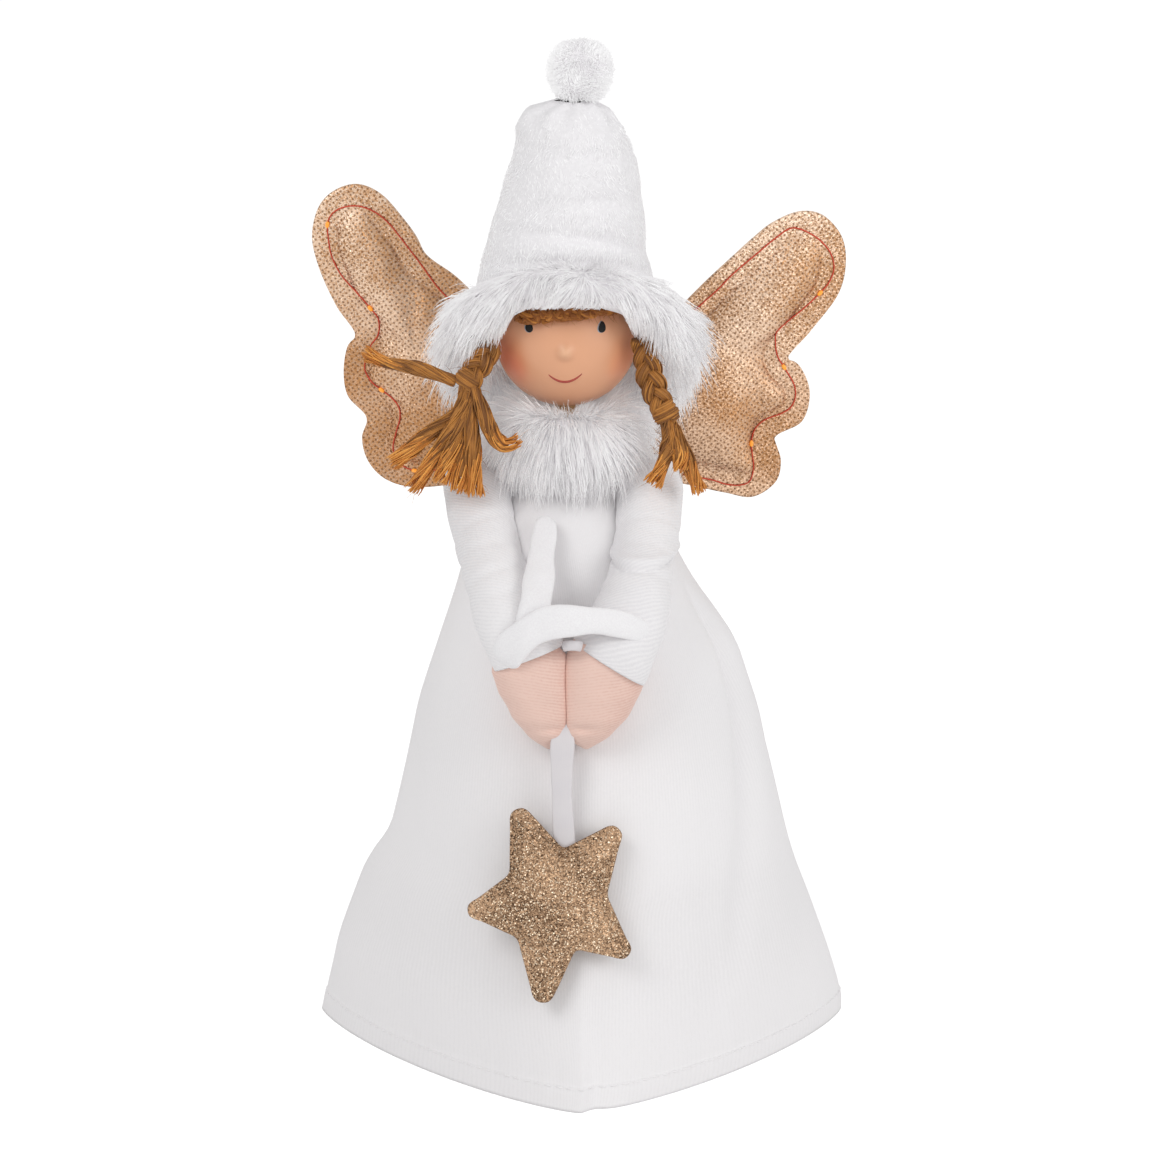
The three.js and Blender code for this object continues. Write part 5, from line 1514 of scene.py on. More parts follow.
    def pompom(self) -> None:
        """The fur ball on the tip of the hat."""
        centre = np.array(self.pompom_centre)
        core = self.pompom_radius - self.pompom_backing
        rise = np.linspace(-0.97, 0.97, 26)
        rings = ball_rings(rise, 40)
        rings = rings * (core + ripple(rings * 10, 3.0, 4) * 0.5)[..., None] + centre
        rng = np.random.default_rng(31)
        facing = unit(rng.normal(0, 1, (8000, 3)))
        pile = Pile(len(facing), (1.6, 2.2), width=0.22, lock=8, gather=0.3, wander=1.4, droop=0.02, seed=32)
        hairs = pile.grown(centre + facing * core, facing, facing * 0.3).painted(1)
        hairs.points[:, 2] = np.maximum(hairs.points[:, 2], self.height - 1.5)
        shape = joined([loft(rings), hairs])
        make_piece("pompom", shape, [FUR_BACKING, POMPOM_PILE], Body.FIGURE, "fur", "hat_pompom")


# Head


@dataclass
class Head:
    """The painted wooden ball head with its nose, eyes and mouth."""

    nose: tuple[float, float] = (-4.3, 211.6)
    nose_height: float = 1.7
    nose_radius: float = 3.4
    eyes: tuple = ((-14.7, 218.5), (6.3, 218.5))
    eye_half_width: float = 1.05
    eye_half_height: float = 1.6
    mouth: tuple[float, float] = (-4.3, 204.9)
    mouth_half_width: float = 4.8
    mouth_dip: float = 2.3
    paint: float = 0.1

    def on_face(self, x: Array, z: Array, lift: float) -> Array:
        """Places on the front of the ball, lifted off it.

        Args:
            x: Places across.
            z: Heights.
            lift: How far they are lifted.

        Returns:
            The places.
        """
        dx, dz = x - HEAD_CENTRE[0], z - HEAD_CENTRE[2]
        depth = -np.sqrt(np.maximum(HEAD_RADIUS**2 - dx**2 - dz**2, 0))
        away = np.stack([dx, depth, dz], axis=-1)
        return HEAD_CENTRE + away * (1 + lift / HEAD_RADIUS)

    def ball(self) -> Shape:
        """The ball with the nose raised on it and a flat where the peg enters.

        Returns:
            The ball.
        """
        rise = np.sin(np.linspace(-0.47, 0.5, 130) * math.pi)
        rings = ball_rings(rise, 190) * HEAD_RADIUS + HEAD_CENTRE
        nose = self.on_face(np.array(self.nose[0]), np.array(self.nose[1]), 0)
        away = np.linalg.norm(rings - nose, axis=-1)
        bump = self.nose_height * smoothstep(1 - away / self.nose_radius, 0, 1)
        outward = unit(rings - HEAD_CENTRE)
        uneven = ripple(rings, 14.0, 6) * 0.06
        return loft(rings + (outward * 0.6 - BACKWARD * 0.4) * bump[..., None] + outward * uneven[..., None])

    def drop(self, middle: tuple[float, float], half_width: float, half_height: float, lift: float) -> Shape:
        """A painted drop with its point up, raised by the paint's thickness.

        Args:
            middle: Its place across and its height.
            half_width: Half its width.
            half_height: Half its height.
            lift: The paint's thickness.

        Returns:
            The drop.
        """
        angle = turns(36)
        x = np.sin(angle) * (1 - 0.28 * np.cos(angle)) * half_width
        z = np.cos(angle) * half_height
        rings = []
        for reach, height in ((1.0, -0.05), (1.0, 0.4), (0.85, 0.85), (0.5, 1.0), (0.15, 1.05)):
            rings.append(self.on_face(middle[0] + x * reach, middle[1] + z * reach, lift * height))
        return loft(np.array(rings))

    def smile(self) -> Shape:
        """A thin painted line, thicker in the middle, turned up at its ends.

        Returns:
            The line.
        """
        share = np.linspace(-1, 1, 41)
        x = self.mouth[0] + share * self.mouth_half_width
        z = self.mouth[1] - self.mouth_dip * (1 - share**2) + 0.15 * share
        middle = self.on_face(x, z, 0.02)
        radii = 0.12 + 0.34 * (1 - share**2) ** 0.7
        return tube(middle, radii, 10, hint=UPWARD, flatten=0.35)

    def build(self) -> None:
        """Makes the head and the painted face."""
        make_piece("painted_head", self.ball(), [HEAD_PAINT], Body.FIGURE, "painted_skin", "head", "nose")
        wide, high = self.eye_half_width, self.eye_half_height
        eyes = [self.drop(middle, wide, high, self.paint) for middle in self.eyes]
        shades = [self.drop((x - 0.16, z), wide * 1.1, high * 1.05, self.paint * 0.5) for x, z in self.eyes]
        features = joined(eyes + [shade.painted(1) for shade in shades] + [self.smile().painted(2)])
        finishes = [EYE_PAINT, EYE_SHADE_PAINT, MOUTH_PAINT]
        make_piece("painted_face", features, finishes, Body.FIGURE, "painted_skin")


# Yarn


@dataclass
class Yarn:
    """Loose roving yarn: a core under fine fibre bundles that run along it and splay at a cut end.

    Attributes:
        radius: Half width of a strand.
        fibres: Number of fibre bundles on a strand of that half width.
        twist: Turns of the bundles in a strand's length.
        splay: How much wider a cut end is.
        stray: Number of single fibres that leave the strand.
    """

    radius: float = 2.35
    fibres: int = 40
    twist: float = 0.6
    splay: float = 0.2
    stray: int = 14

    def strand(self, path: Array, seed: int, cut_end: bool = True, radius: float | None = None) -> Shape:
        """One strand along a path.

        Args:
            path: Points of its middle line.
            seed: Seed of its random draws.
            cut_end: Whether it ends in a frayed cut.
            radius: Its half width, if not the usual one.

        Returns:
            The strand, its cut end in the second finish.
        """
        rng = np.random.default_rng(seed)
        half = radius or self.radius
        count = len(path)
        share = np.linspace(0, 1, count)
        across, deep = carried_frames(path, UPWARD)
        fibres = max(5, int(self.fibres * half / self.radius))
        wave = 1 + 0.12 * np.sin(share * 9 + rng.random() * 6)
        opened = smoothstep(share, 0.78, 1.0) * cut_end
        core = (half * 0.8 * wave)[:int(count * 0.86) if cut_end else count]
        parts = [tube(path[:len(core)], core, 10)]
        for k in range(fibres):
            reach = rng.uniform(0.7, 0.95) + 0.06 * np.sin(share * rng.uniform(8, 22) + rng.random() * 6)
            reach = half * reach
            reach = reach + (half * (1 + self.splay) * math.sqrt(rng.random()) - reach) * opened
            phase = k / fibres * TURN + self.twist * TURN * share
            phase = phase + 0.3 * np.sin(share * rng.uniform(4, 10) + k)
            offset = (reach * wave)[:, None] * spokes(phase, across, deep)
            stop = count - (int(rng.integers(0, max(2, count // 12))) if cut_end else 0)
            size = np.full(stop, half * math.pi / fibres * rng.uniform(0.9, 1.5))
            size[[0, -1]] *= 0.4
            body = tube((path + offset)[:stop], size, 4)
            if cut_end:
                split = int(stop * rng.uniform(0.55, 0.8))
                quads = body.faces[0].reshape(stop - 1, 4, 4)
                faces = [quads[:split].reshape(-1, 4), quads[split:].reshape(-1, 4), body.faces[1]]
                body = Shape(body.points, faces, [0, 1, 1], body.flat)
            parts.append(body)
        parts.append(self.loose_fibres(path, across, deep, half, rng))
        return joined(parts)

    def loose_fibres(self, path: Array, across: Array, deep: Array, half: float,
                     rng: np.random.Generator) -> Shape:
        """Single fibres that stand off the strand.

        Args:
            path: The strand's middle line.
            across: The first direction across it.
            deep: The second one.
            half: The strand's half width.
            rng: The strand's random draws.

        Returns:
            The fibres.
        """
        at = rng.integers(1, len(path) - 1, self.stray)
        out = spokes(rng.random(self.stray) * TURN, across[at], deep[at])
        roots = path[at] + out * half * 0.8
        along = tangents(path)[at]
        heading = unit(out * 0.6 + along + rng.normal(0, 0.3, (self.stray, 3)))
        tips = roots + heading * rng.uniform(2, 5, (self.stray, 1))
        return bent_hairs(roots, tips, out * 0.5, np.full(self.stray, 0.14))


@dataclass
class Plait:
    """One plait: a braided root, a tie of wound yarn and a tassel of cut ends."""

    side: Side
    body: Body
    root_shares: tuple
    end_shares: tuple
    cycles: float
    loose_shares: tuple = ()
    curl_shares: tuple = ()
    reach: float = 30.0
    braid_radius: float = 3.4
    tie_radius: float = 4.0
    tie_length: float = 6.6
    tie_turns: float = 3.2

    def root(self) -> Array:
        """The three places of the braided root in millimetres."""
        return HEAD_CENTRE + np.array(self.root_shares) * HEAD_RADIUS

    def braid(self, yarn: Yarn) -> Shape:
        """Three strands that cross over each other along the root.

        Args:
            yarn: The yarn.

        Returns:
            The braid.
        """
        path = smooth_path(self.root(), 60)
        across, deep = carried_frames(path, ACROSS)
        share = np.linspace(0, 1, len(path))[:, None]
        parts = []
        for k in range(3):
            phase = share * self.cycles * TURN + k * TURN / 3
            line = path + across * np.sin(phase) * self.braid_radius * 0.62
            line = line + deep * np.sin(2 * phase) * self.braid_radius * 0.3
            parts.append(yarn.strand(line, 200 + 10 * self.side.value + k, False, self.braid_radius * 0.58))
        return joined(parts)

    def tie(self, yarn: Yarn) -> Shape:
        """Yarn wound round the end of the braid.

        Args:
            yarn: The yarn.

        Returns:
            The winding.
        """
        _, bend, tie = self.root()
        along = unit(tie - bend)
        across = unit(np.cross(along, BACKWARD))
        deep = np.cross(along, across)
        share = np.linspace(0, 1, 90)[:, None]
        angle = share * self.tie_turns * TURN
        reach = self.tie_radius * (0.62 + 0.1 * np.sin(share * math.pi))
        wound = (across * np.cos(angle) + deep * np.sin(angle) * 0.9) * reach
        line = tie + along * (share - 0.5) * self.tie_length * 0.72 + wound
        return yarn.strand(line, 300 + self.side.value, cut_end=False, radius=1.15)

    def from_tie(self, shares: Sequence) -> Array:
        """A smooth line through places given from the tie, in shares of the tassel's reach."""
        tie = self.root()[2]
        return smooth_path([tie + np.array(place) * self.reach for place in shares], 46)

    def ends(self, yarn: Yarn) -> Shape:
        """Cut strands that leave the tie.

        Args:
            yarn: The yarn.

        Returns:
            The strands.
        """
        seed = 400 + 20 * self.side.value
        routes = self.end_shares + self.curl_shares
        paths = [self.from_tie(((0, 0, 0), *route)) for route in routes]
        return joined([yarn.strand(path, seed + k) for k, path in enumerate(paths)])

    def build(self, yarn: Yarn) -> None:
        """Makes the plait's pieces.

        Args:
            yarn: The yarn.
        """
        word = self.side.word
        pieces = {
            f"plait_{word}": self.braid(yarn),
            f"plait_tie_{word}": self.tie(yarn),
            f"plait_ends_{word}": self.ends(yarn),
        }
        if self.loose_shares:
            pieces[f"loose_strand_{word}"] = yarn.strand(self.from_tie(self.loose_shares), 480, radius=1.9)
        for name, shape in pieces.items():
            make_piece(f"{name}_yarn", shape, [YARN, YARN_ENDS], self.body, "yarn", name)


@dataclass
class Fringe:
    """Tangled curls of yarn on the forehead, under the brim, thicker at the left."""

    left_angle: float = -40.0
    right_angle: float = 50.0
    rise: float = 10.9
    fall: float = 2.2
    curls: int = 6
    bends: int = 64
    loop: float = 1.5
    radius: float = 0.55

    def curl(self, number: int, yarn: Yarn) -> Shape:
        """One strand that wanders across the forehead in uneven loops.

        Args:
            number: The strand's number, from 0.
            yarn: The yarn.

        Returns:
            The strand.
        """
        rng = np.random.default_rng(600 + number)
        share = np.linspace(0, 1, self.bends)
        degrees = self.left_angle + (self.right_angle - self.left_angle) * share
        angle = np.radians(degrees + rng.normal(0, 3.2, self.bends))
        spread = rng.uniform(-1, 1, self.bends) * self.loop * (1.25 - 0.6 * share)
        height = self.rise - self.fall * (1 - share) * (number % 3) / 2 + spread
        level = np.sqrt((HEAD_RADIUS + self.radius + rng.uniform(0.4, 3.0, self.bends)) ** 2 - height**2)
        x, y = HEAD_CENTRE[0] + level * np.sin(angle), -level * np.cos(angle)
        places = np.stack([x, y, HEAD_CENTRE[2] + height], axis=1)
        return yarn.strand(smooth_path(places, 380), 500 + number, False)

    def build(self) -> None:
        """Makes the fringe."""
        yarn = Yarn(radius=self.radius, fibres=6, twist=9, stray=40)
        curls = joined([self.curl(number, yarn) for number in range(self.curls)])
        make_piece("fringe_yarn", curls, [FRINGE_YARN], Body.FIGURE, "yarn", "hair_fringe")


# Arms


@dataclass
class Arms:
    """Both knitted sleeves, the hands and the strip tied round the wrists."""

    dress: Dress
    shoulder_height: float = 167.0
    shoulder_spread: float = 25.8
    shoulder_forward: float = 5.0
    middle: float = -5.2
    sleeve_radius: float = 10.4
    wrist_radius: float = 8.2
    wrist_spread: float = 12.0
    wrist_forward: float = 46.62
    wrist_height: float = 130.5
    lift: float = 18.0
    hand_middle: float = -4.2
    hand_half_width: float = 11.4
    hand_half_depth: float = 7.8
    hand_length: float = 28.0
    cuff_half_width: float = 10.8
    right_cuff_wider: float = 1.0
    right_cuff_drop: float = 3.2
    press: float = 0.8
    hand_overlap: float = 0.6
    right_hand_wider: float = 0.12
    hand_drift: float = 1.4
    tie_reach: float = 30.0
    tie_half_width: float = 4.3
    tie_half_thickness: float = 1.35
    fold_height: float = 152.2
    sleeve_fill: float = 0.7
    hand_fill: float = 0.8
    sleeve_sides: int = 88
    hand_sides: int = 80
    # Inward, forward and height shares from shoulder to wrist, as in the model
    sleeve_shares: tuple = ((0, -0.1, 1.26), (0.02, 0.06, 0.98), (0.14, 0.34, 0.66), (0.34, 0.65, 0.42),
                            (0.62, 0.9, 0.19), (0.86, 0.99, 0.05), (1, 1.01, -0.07))
    # Way down, way inward, width and depth of the hand, as in the model
    hand_shares: tuple = ((0, 0.12, 0.9, 0.92), (0.24, 0.14, 1, 1), (0.46, 0.28, 0.92, 1),
                          (0.7, 0.46, 0.76, 0.88), (0.9, 0.66, 0.5, 0.62), (1, 0.76, 0.24, 0.3))
    # Share of the way down, turn and depth of the sleeves' creases
    creases: tuple = ((0.36, 0.4, 0.25), (0.5, 2.1, 0.25), (0.64, 1.0, 0.3), (0.76, 2.8, 0.25))
    # Places of the strip over the wrists and of its end on the chest, in shares of its reach
    strip_shares: tuple = ((-0.59, -0.2, -0.08), (-0.44, -0.285, 0.12), (-0.24, -0.31, 0.29),
                           (0, -0.325, 0.36), (0.3, -0.3, 0.355), (0.6, -0.22, 0.29), (0.85, -0.1, 0.17))
    end_shares: tuple = ((-0.3, -0.27, 0.2), (-0.25, -0.11, 0.47), (-0.2, 0.32, 0.79), (-0.155, 0.78, 1.11))

    def clear_of_dress(self, points: Array) -> Array:
        """Points pushed out of the dress at rest and while the arms lift.

        Args:
            points: Places, one a row.

        Returns:
            The moved points.
        """
        pivot = np.array([0, -self.shoulder_forward, self.shoulder_height])
        moved = points
        for degrees in (0.0, self.lift / 2, self.lift):
            turn = -math.radians(degrees)
            c, s = math.cos(turn), math.sin(turn)
            matrix = np.array([[1, 0, 0], [0, c, s], [0, -s, c]])
            turned = (moved - pivot) @ matrix + pivot
            moved = (self.dress.pushed_out(turned, 0.7) - pivot) @ matrix.T + pivot
        return moved

    def sleeve_path(self, side: Side) -> Array:
        """The middle line of a sleeve.

        Args:
            side: The sleeve's side.

        Returns:
            Its points.
        """
        inward, forward, height = np.array(self.sleeve_shares).T
        spread = self.shoulder_spread + (self.wrist_spread - self.shoulder_spread) * inward
        ahead = self.shoulder_forward + (self.wrist_forward - self.shoulder_forward) * forward
        level = self.wrist_height + (self.shoulder_height - self.wrist_height) * height
        return smooth_path(np.stack([self.middle + side.value * spread, -ahead, level], axis=1), 200)

    def sleeve(self, side: Side) -> Shape:
        """A stuffed sleeve with its folds and its turned cuff.

        Args:
            side: The sleeve's side.

        Returns:
            The sleeve.
        """
        path = self.sleeve_path(side)
        length = travelled(path)[-1]
        stops, scales = round_ended(96, length, self.sleeve_radius, end=False)
        line = at_stops(path, stops)
        cuff = smoothstep(stops, 0.5, 1.0)
        right = side is Side.RIGHT
        half_width = self.cuff_half_width + self.right_cuff_wider * right
        line[:, 0] += (self.hand_middle + side.value * half_width - path[-1, 0]) * cuff
        line[:, 0] += 1.0 * dip(stops, 0.75, 0.3) if right else 2.4 * dip(stops, 0.55, 0.35)
        across, deep = carried_frames(line, ACROSS)
        across = across * (1 + (half_width / self.wrist_radius - 1) * cuff)[:, None]
        angle = (turns(self.sleeve_sides) + math.pi * right)[None]
        share = stops[:, None]
        radius = (self.sleeve_radius + (self.wrist_radius - self.sleeve_radius) * share) * scales[:, None]
        spoke = spokes(angle, across[:, None], deep[:, None])
        rings = line[:, None] + radius[..., None] * spoke
        creases = sum(
            depth * dip(share + 0.02 * np.cos(angle + turn), place, 0.02)
            for place, turn, depth in self.creases
        )
        level = rings[..., 2] - self.fold_height
        fold = (0.9 * dip(level, 1.3, 1.1) - 0.9 * dip(level, -0.6, 0.5)) * right
        slack = 0.5 * ripple(rings, 8.0, 3 + side.value)
        rings = rings + ((fold - creases + slack) * scales[:, None] ** 2)[..., None] * spoke
        inner = 0.5 + 0.5 * np.cos(angle)
        rings[..., 2] -= self.right_cuff_drop * right * inner * smoothstep(share, 0.75, 1.0)
        mouth = line[-1] + (rings[-1] - line[-1]) * 0.9
        recess = mouth - tangents(line)[-1] * 3.0
        rings = np.concatenate([rings, mouth[None], recess[None]])
        around = (angle[0] * self.sleeve_radius)[None, :]
        along = np.concatenate([stops, [1.01, 1.05]])[:, None] * length
        flat = stacked(around * side.value, along)
        shape = loft(rings, flat=flat)
        shape.points = self.clear_of_dress(self.own_half(shape.points, side))
        return shape

    def own_half(self, points: Array, side: Side) -> Array:
        """Points pressed softly back to their side of the wavy crease where the hands meet.

        Args:
            points: Places, one a row.
            side: Their side.

        Returns:
            The moved points.
        """
        crease = self.hand_middle + 0.3 * np.sin(points[:, 2] * 0.35) - side.value * 0.28
        beyond = (points[:, 0] - crease) * side.value
        pressed = self.press * np.exp(np.minimum(beyond - self.press, 0) / self.press)
        kept = points.copy()
        kept[:, 0] = crease + side.value * np.where(beyond < self.press, pressed, beyond)
        return kept

    def hand(self, side: Side) -> Shape:
        """A mitten hand, pressed against the other.

        Args:
            side: The hand's side.

        Returns:
            The hand.
        """
        table = np.array(self.hand_shares)
        down = np.concatenate([np.linspace(-0.09, 0.96, 64), 1.06 - 0.1 * np.linspace(1, 0.02, 9)[1:] ** 2])
        inward, width, depth = between(down, table[:, 0], table[:, 1:]).T
        rounding = np.sqrt(np.maximum(1 - (np.maximum(down - 0.82, 0) / 0.245) ** 2, 0.0))
        width, depth = np.maximum(width, 0.55 * rounding), np.maximum(depth, 0.6 * rounding)
        for row in (width, depth) * 4:
            row[1:-1] = (row[:-2] + 2 * row[1:-1] + row[2:]) / 4
        width, depth = width * np.minimum(1, rounding + 0.02), depth * np.minimum(1, rounding + 0.02)
        wider = self.right_hand_wider * (side is Side.RIGHT) * smoothstep(down, -0.1, 0.3)
        wrist = side.value * (self.hand_half_width - self.hand_overlap)
        x = self.hand_middle + wrist * (1 - 0.75 * np.clip(inward, 0, 1)) + self.hand_half_width * wider
        angle = (turns(self.hand_sides) + math.pi * (side is Side.RIGHT))[None]
        square_x, square_y = (np.sign(part) * np.abs(part) ** 0.85 for part in (np.cos(angle), np.sin(angle)))
        wide, deep = self.hand_half_width * width * (1 + wider), self.hand_half_depth * depth
        y = -self.wrist_forward - self.hand_drift * down
        z = self.wrist_height - self.hand_length * down
        x, y, z, wide, deep = (row[:, None] for row in (x, y, z, wide, deep))
        rings = stacked(x + square_x * wide, y + square_y * deep, z)
        inside = 1 - 0.25 * (1 - smoothstep(down, -0.05, 0.12))
        middle = rings.mean(axis=1, keepdims=True)
        rings = middle + (rings - middle) * inside[:, None, None]
        outward = unit(rings - middle)
        soft = ripple(rings, 6.0, 9 + side.value) * 0.4
        tuck = 0.8 * dip(down, 0.8, 0.04)[:, None] * dip(angle, 1.5 * math.pi - side.value * 0.4, 0.4)
        rings = rings + outward * (soft - tuck)[..., None]
        bow = 2.2 * np.cos(angle - math.pi * (0.5 - 0.5 * side.value))
        flat = stacked(angle * self.hand_half_width, (down * self.hand_length)[:, None] + bow)
        shape = loft(rings, flat=flat)
        shape.points = self.clear_of_dress(self.own_half(shape.points, side))
        return shape

    def tie(self) -> Shape:
        """The soft strip that lies over both wrists, with its other end up on the chest.

        Returns:
            The strip.
        """
        routes = ((self.strip_shares, UPWARD, 1.0), (self.end_shares, ACROSS, 0.95))
        origin = np.array([self.middle, -self.wrist_forward, self.wrist_height])
        flatness = self.tie_half_thickness / self.tie_half_width
        strips = []
        for route, hint, width_share in routes:
            path = smooth_path(origin + np.array(route) * self.tie_reach, 120)
            half = self.tie_half_width * width_share
            stops, scales = round_ended(60, travelled(path)[-1], half)
            half = half * scales * (1.12 - 0.35 * smoothstep(stops, 0.3, 1.0))
            half = half * (1 + 0.05 * np.sin(stops * 17))
            strips.append(tube(at_stops(path, stops), half, 40, hint, flatness))
        strip = joined(strips)
        strip.points = self.clear_of_dress(strip.points + swirl(strip.points, 7.0, 3) * 0.5)
        return strip

    def build(self) -> None:
        """Makes the sleeves, the hands and the tie."""
        for side in Side:
            make_piece(f"knit_sleeve_{side.word}", self.sleeve(side), [SLEEVE_KNIT], Body.ARMS, "sleeve_knit",
                       f"sleeve_{side.word}", fill=self.sleeve_fill)
            make_piece(f"jersey_hand_{side.word}", self.hand(side), [HAND_JERSEY], Body.ARMS, "hand_knit",
                       f"hand_{side.word}", fill=self.hand_fill)
        make_piece("plush_wrist_tie", self.tie(), [TIE_PLUSH], Body.ARMS, "tie_felt", "wrist_tie")


@dataclass
class Ribbon:
    """The satin ribbon that the star hangs from."""

    width: float = 6.3
    neck: float = 1.6
    length: float = 42.5
    tuck: float = 2.5
    forward: float = 49.32
    wave: float = 1.1
    top: float = 116.5
    slope: float = math.tan(math.radians(18)) * 0.75
    middle: float = -4.2
    thickness: float = 0.45
    # Where its top loops over the wrists, under the strip
    loop_places: tuple = ((-0.6, -54.2, 133.2), (0.9, -55.4, 133.8), (3.0, -55.4, 133.8), (4.5, -54.2, 133.2))
    loop_half_width: float = 1.5
    loop_flatness: float = 0.35

    def build(self) -> None:
        """Makes the ribbon, gathered at its top and cupped below, and its loop on the wrists."""
        share = np.linspace(0, 1, 90)
        widen = smoothstep(share, 0, 0.3)
        half = (self.neck + (self.width - self.neck) * widen) / 2
        bulge = 0.12 * dip(share, 0.3, 0.1) - 0.1 * dip(share, 0.62, 0.1)
        half = half * (1 + bulge)
        x = self.middle - self.wave * np.sin(share * math.pi)
        y = -self.forward - share * self.length * self.slope + 2.0 * smoothstep(share, 0.7, 1)
        z = self.top - share * (self.length + self.tuck)
        across = np.concatenate([np.linspace(-1, 1, 15), np.linspace(1, -1, 15)])
        front = np.concatenate([-np.ones(15), np.ones(15)]) * self.thickness / 2
        cup = 0.42 * (across**2 - 0.5)
        twist = 0.5 * np.sin(share * 5.0 + 0.6)
        bent = y[:, None] + front + cup * widen[:, None] + twist[:, None] * across * 0.6
        rings = stacked(x[:, None] + across * half[:, None], bent, z[:, None])
        flat = stacked(across * self.width / 2, (share * self.length)[:, None])
        make_piece("satin_ribbon", loft(rings, flat=flat), [SATIN], Body.RIBBON, "satin", "ribbon")
        loop = smooth_path(np.array(self.loop_places) + [self.middle, 0, 0], 30)
        bit = tube(loop, self.loop_half_width, 24, UPWARD, self.loop_flatness)
        make_piece("satin_loop", bit, [SATIN], Body.ARMS, "satin")


# Padded star and wings


@dataclass
class Pad:
    """A flat padded shape: two cloths sewn together at a seam inside their edge.

    Attributes:
        outline: Its edge in its own plane.
        centre: The place that its rings shrink to.
        origin: Where its plane's zero lies.
        across: The plane's first axis.
        upward: The plane's second axis.
        front: The way its front faces.
        seam: Width of the flat border outside the seam.
        edge: Thickness at the edge.
        crowns: How far the front and the back swell.
        softness: Distance over which the swelling rises.
        rows: Rings between the edge and the centre.
    """

    outline: Array
    centre: Array
    origin: Array
    across: Array
    upward: Array
    front: Array
    seam: float
    edge: float
    crowns: tuple[float, float]
    softness: float
    rows: int = 26

    def placed(self, flat: Array, lift: Array) -> Array:
        """Places in the model of flat points and their lift towards the front."""
        spot = self.origin + flat[..., 0:1] * self.across + flat[..., 1:2] * self.upward
        return spot + lift[..., None] * self.front

    def flat_rings(self) -> Array:
        """Rings of flat points from the edge to the centre."""
        shares = 1 - np.linspace(0, 1, self.rows + 1)[:-1] ** 1.05
        return self.centre + (self.outline - self.centre)[None] * shares[:, None, None]

    def height(self, flat: Array, crown: float, seed: float) -> Array:
        """How far the cloth swells at flat points.

        Args:
            flat: The points in the pad's plane.
            crown: The full swelling.
            seed: Moves the ripples to another stretch.

        Returns:
            One height for each point.
        """
        shape = flat.shape[:-1]
        depth = edge_distance(flat.reshape(-1, 2), self.outline).reshape(shape)
        inside = np.maximum(depth - self.seam, 0)
        swell = crown * (1 - np.exp(-((inside / self.softness) ** 0.9)))
        still = np.concatenate([flat, np.zeros((*shape, 1))], axis=-1)
        soft = ripple(still, 12.0, seed) * 1.1 * smoothstep(inside, 0, 6)
        border = ripple(still, 7.0, seed + 5) * 0.3 * (1 - smoothstep(inside, 0, 2))
        return self.edge / 2 + swell + soft + border * smoothstep(depth, 0.3, 3)

    def rings(self) -> tuple[Array, Array]:
        """Rings from the front's middle round the edge to the back's, and their flat places.

        Returns:
            The rings and the flat places.
        """
        flat = self.flat_rings()
        front = self.placed(flat, self.height(flat, self.crowns[0], 1))
        back = self.placed(flat, -self.height(flat, self.crowns[1], 3))
        return np.concatenate([front[::-1], back]), np.concatenate([flat[::-1], flat])

    def shape(self, inflation: Inflation) -> Shape:
        """The pad blown up, as one closed shape with its cut edge in the second finish.

        Args:
            inflation: How it is blown up.

        Returns:
            The closed shape.
        """
        rings, places = self.rings()
        cover = loft(rings)
        depth = edge_distance(places.reshape(-1, 2), self.outline)
        held = np.append(1 - smoothstep(depth, self.seam, self.seam + 0.6), [0, 0])
        blown = inflation.run(cover, held)[:-2].reshape(rings.shape)
        fine, spots = doubled(blown), doubled(places)
        depth = edge_distance(spots.reshape(-1, 2), self.outline).reshape(spots.shape[:2])
        middle = (len(fine) - 1) / 2
        side = np.where(np.arange(len(fine)) < middle, 1.0, -1.0)[:, None]
        groove = 0.3 * dip(depth, self.seam, 0.6) * (self.seam > 1)
        still = np.concatenate([spots, side[..., None] * np.ones((*spots.shape[:2], 1))], axis=-1)
        relief = ripple(still, 3.2, 8) * 0.12 * smoothstep(depth, 0.3, 2) - groove
        fine = fine + (side * relief)[..., None] * self.front
        shape = loft(fine, flat=spots)
        quads = shape.faces[0].reshape(len(fine) - 1, fine.shape[1], 4)
        rim = len(fine) // 2
        edge = slice(rim - 1, rim + 1)
        sheets = np.concatenate([quads[:rim - 1], quads[rim + 1:]]).reshape(-1, 4)
        faces = [sheets, shape.faces[1], quads[edge].reshape(-1, 4)]
        return Shape(shape.points, faces, [0, 0, 1], shape.flat)


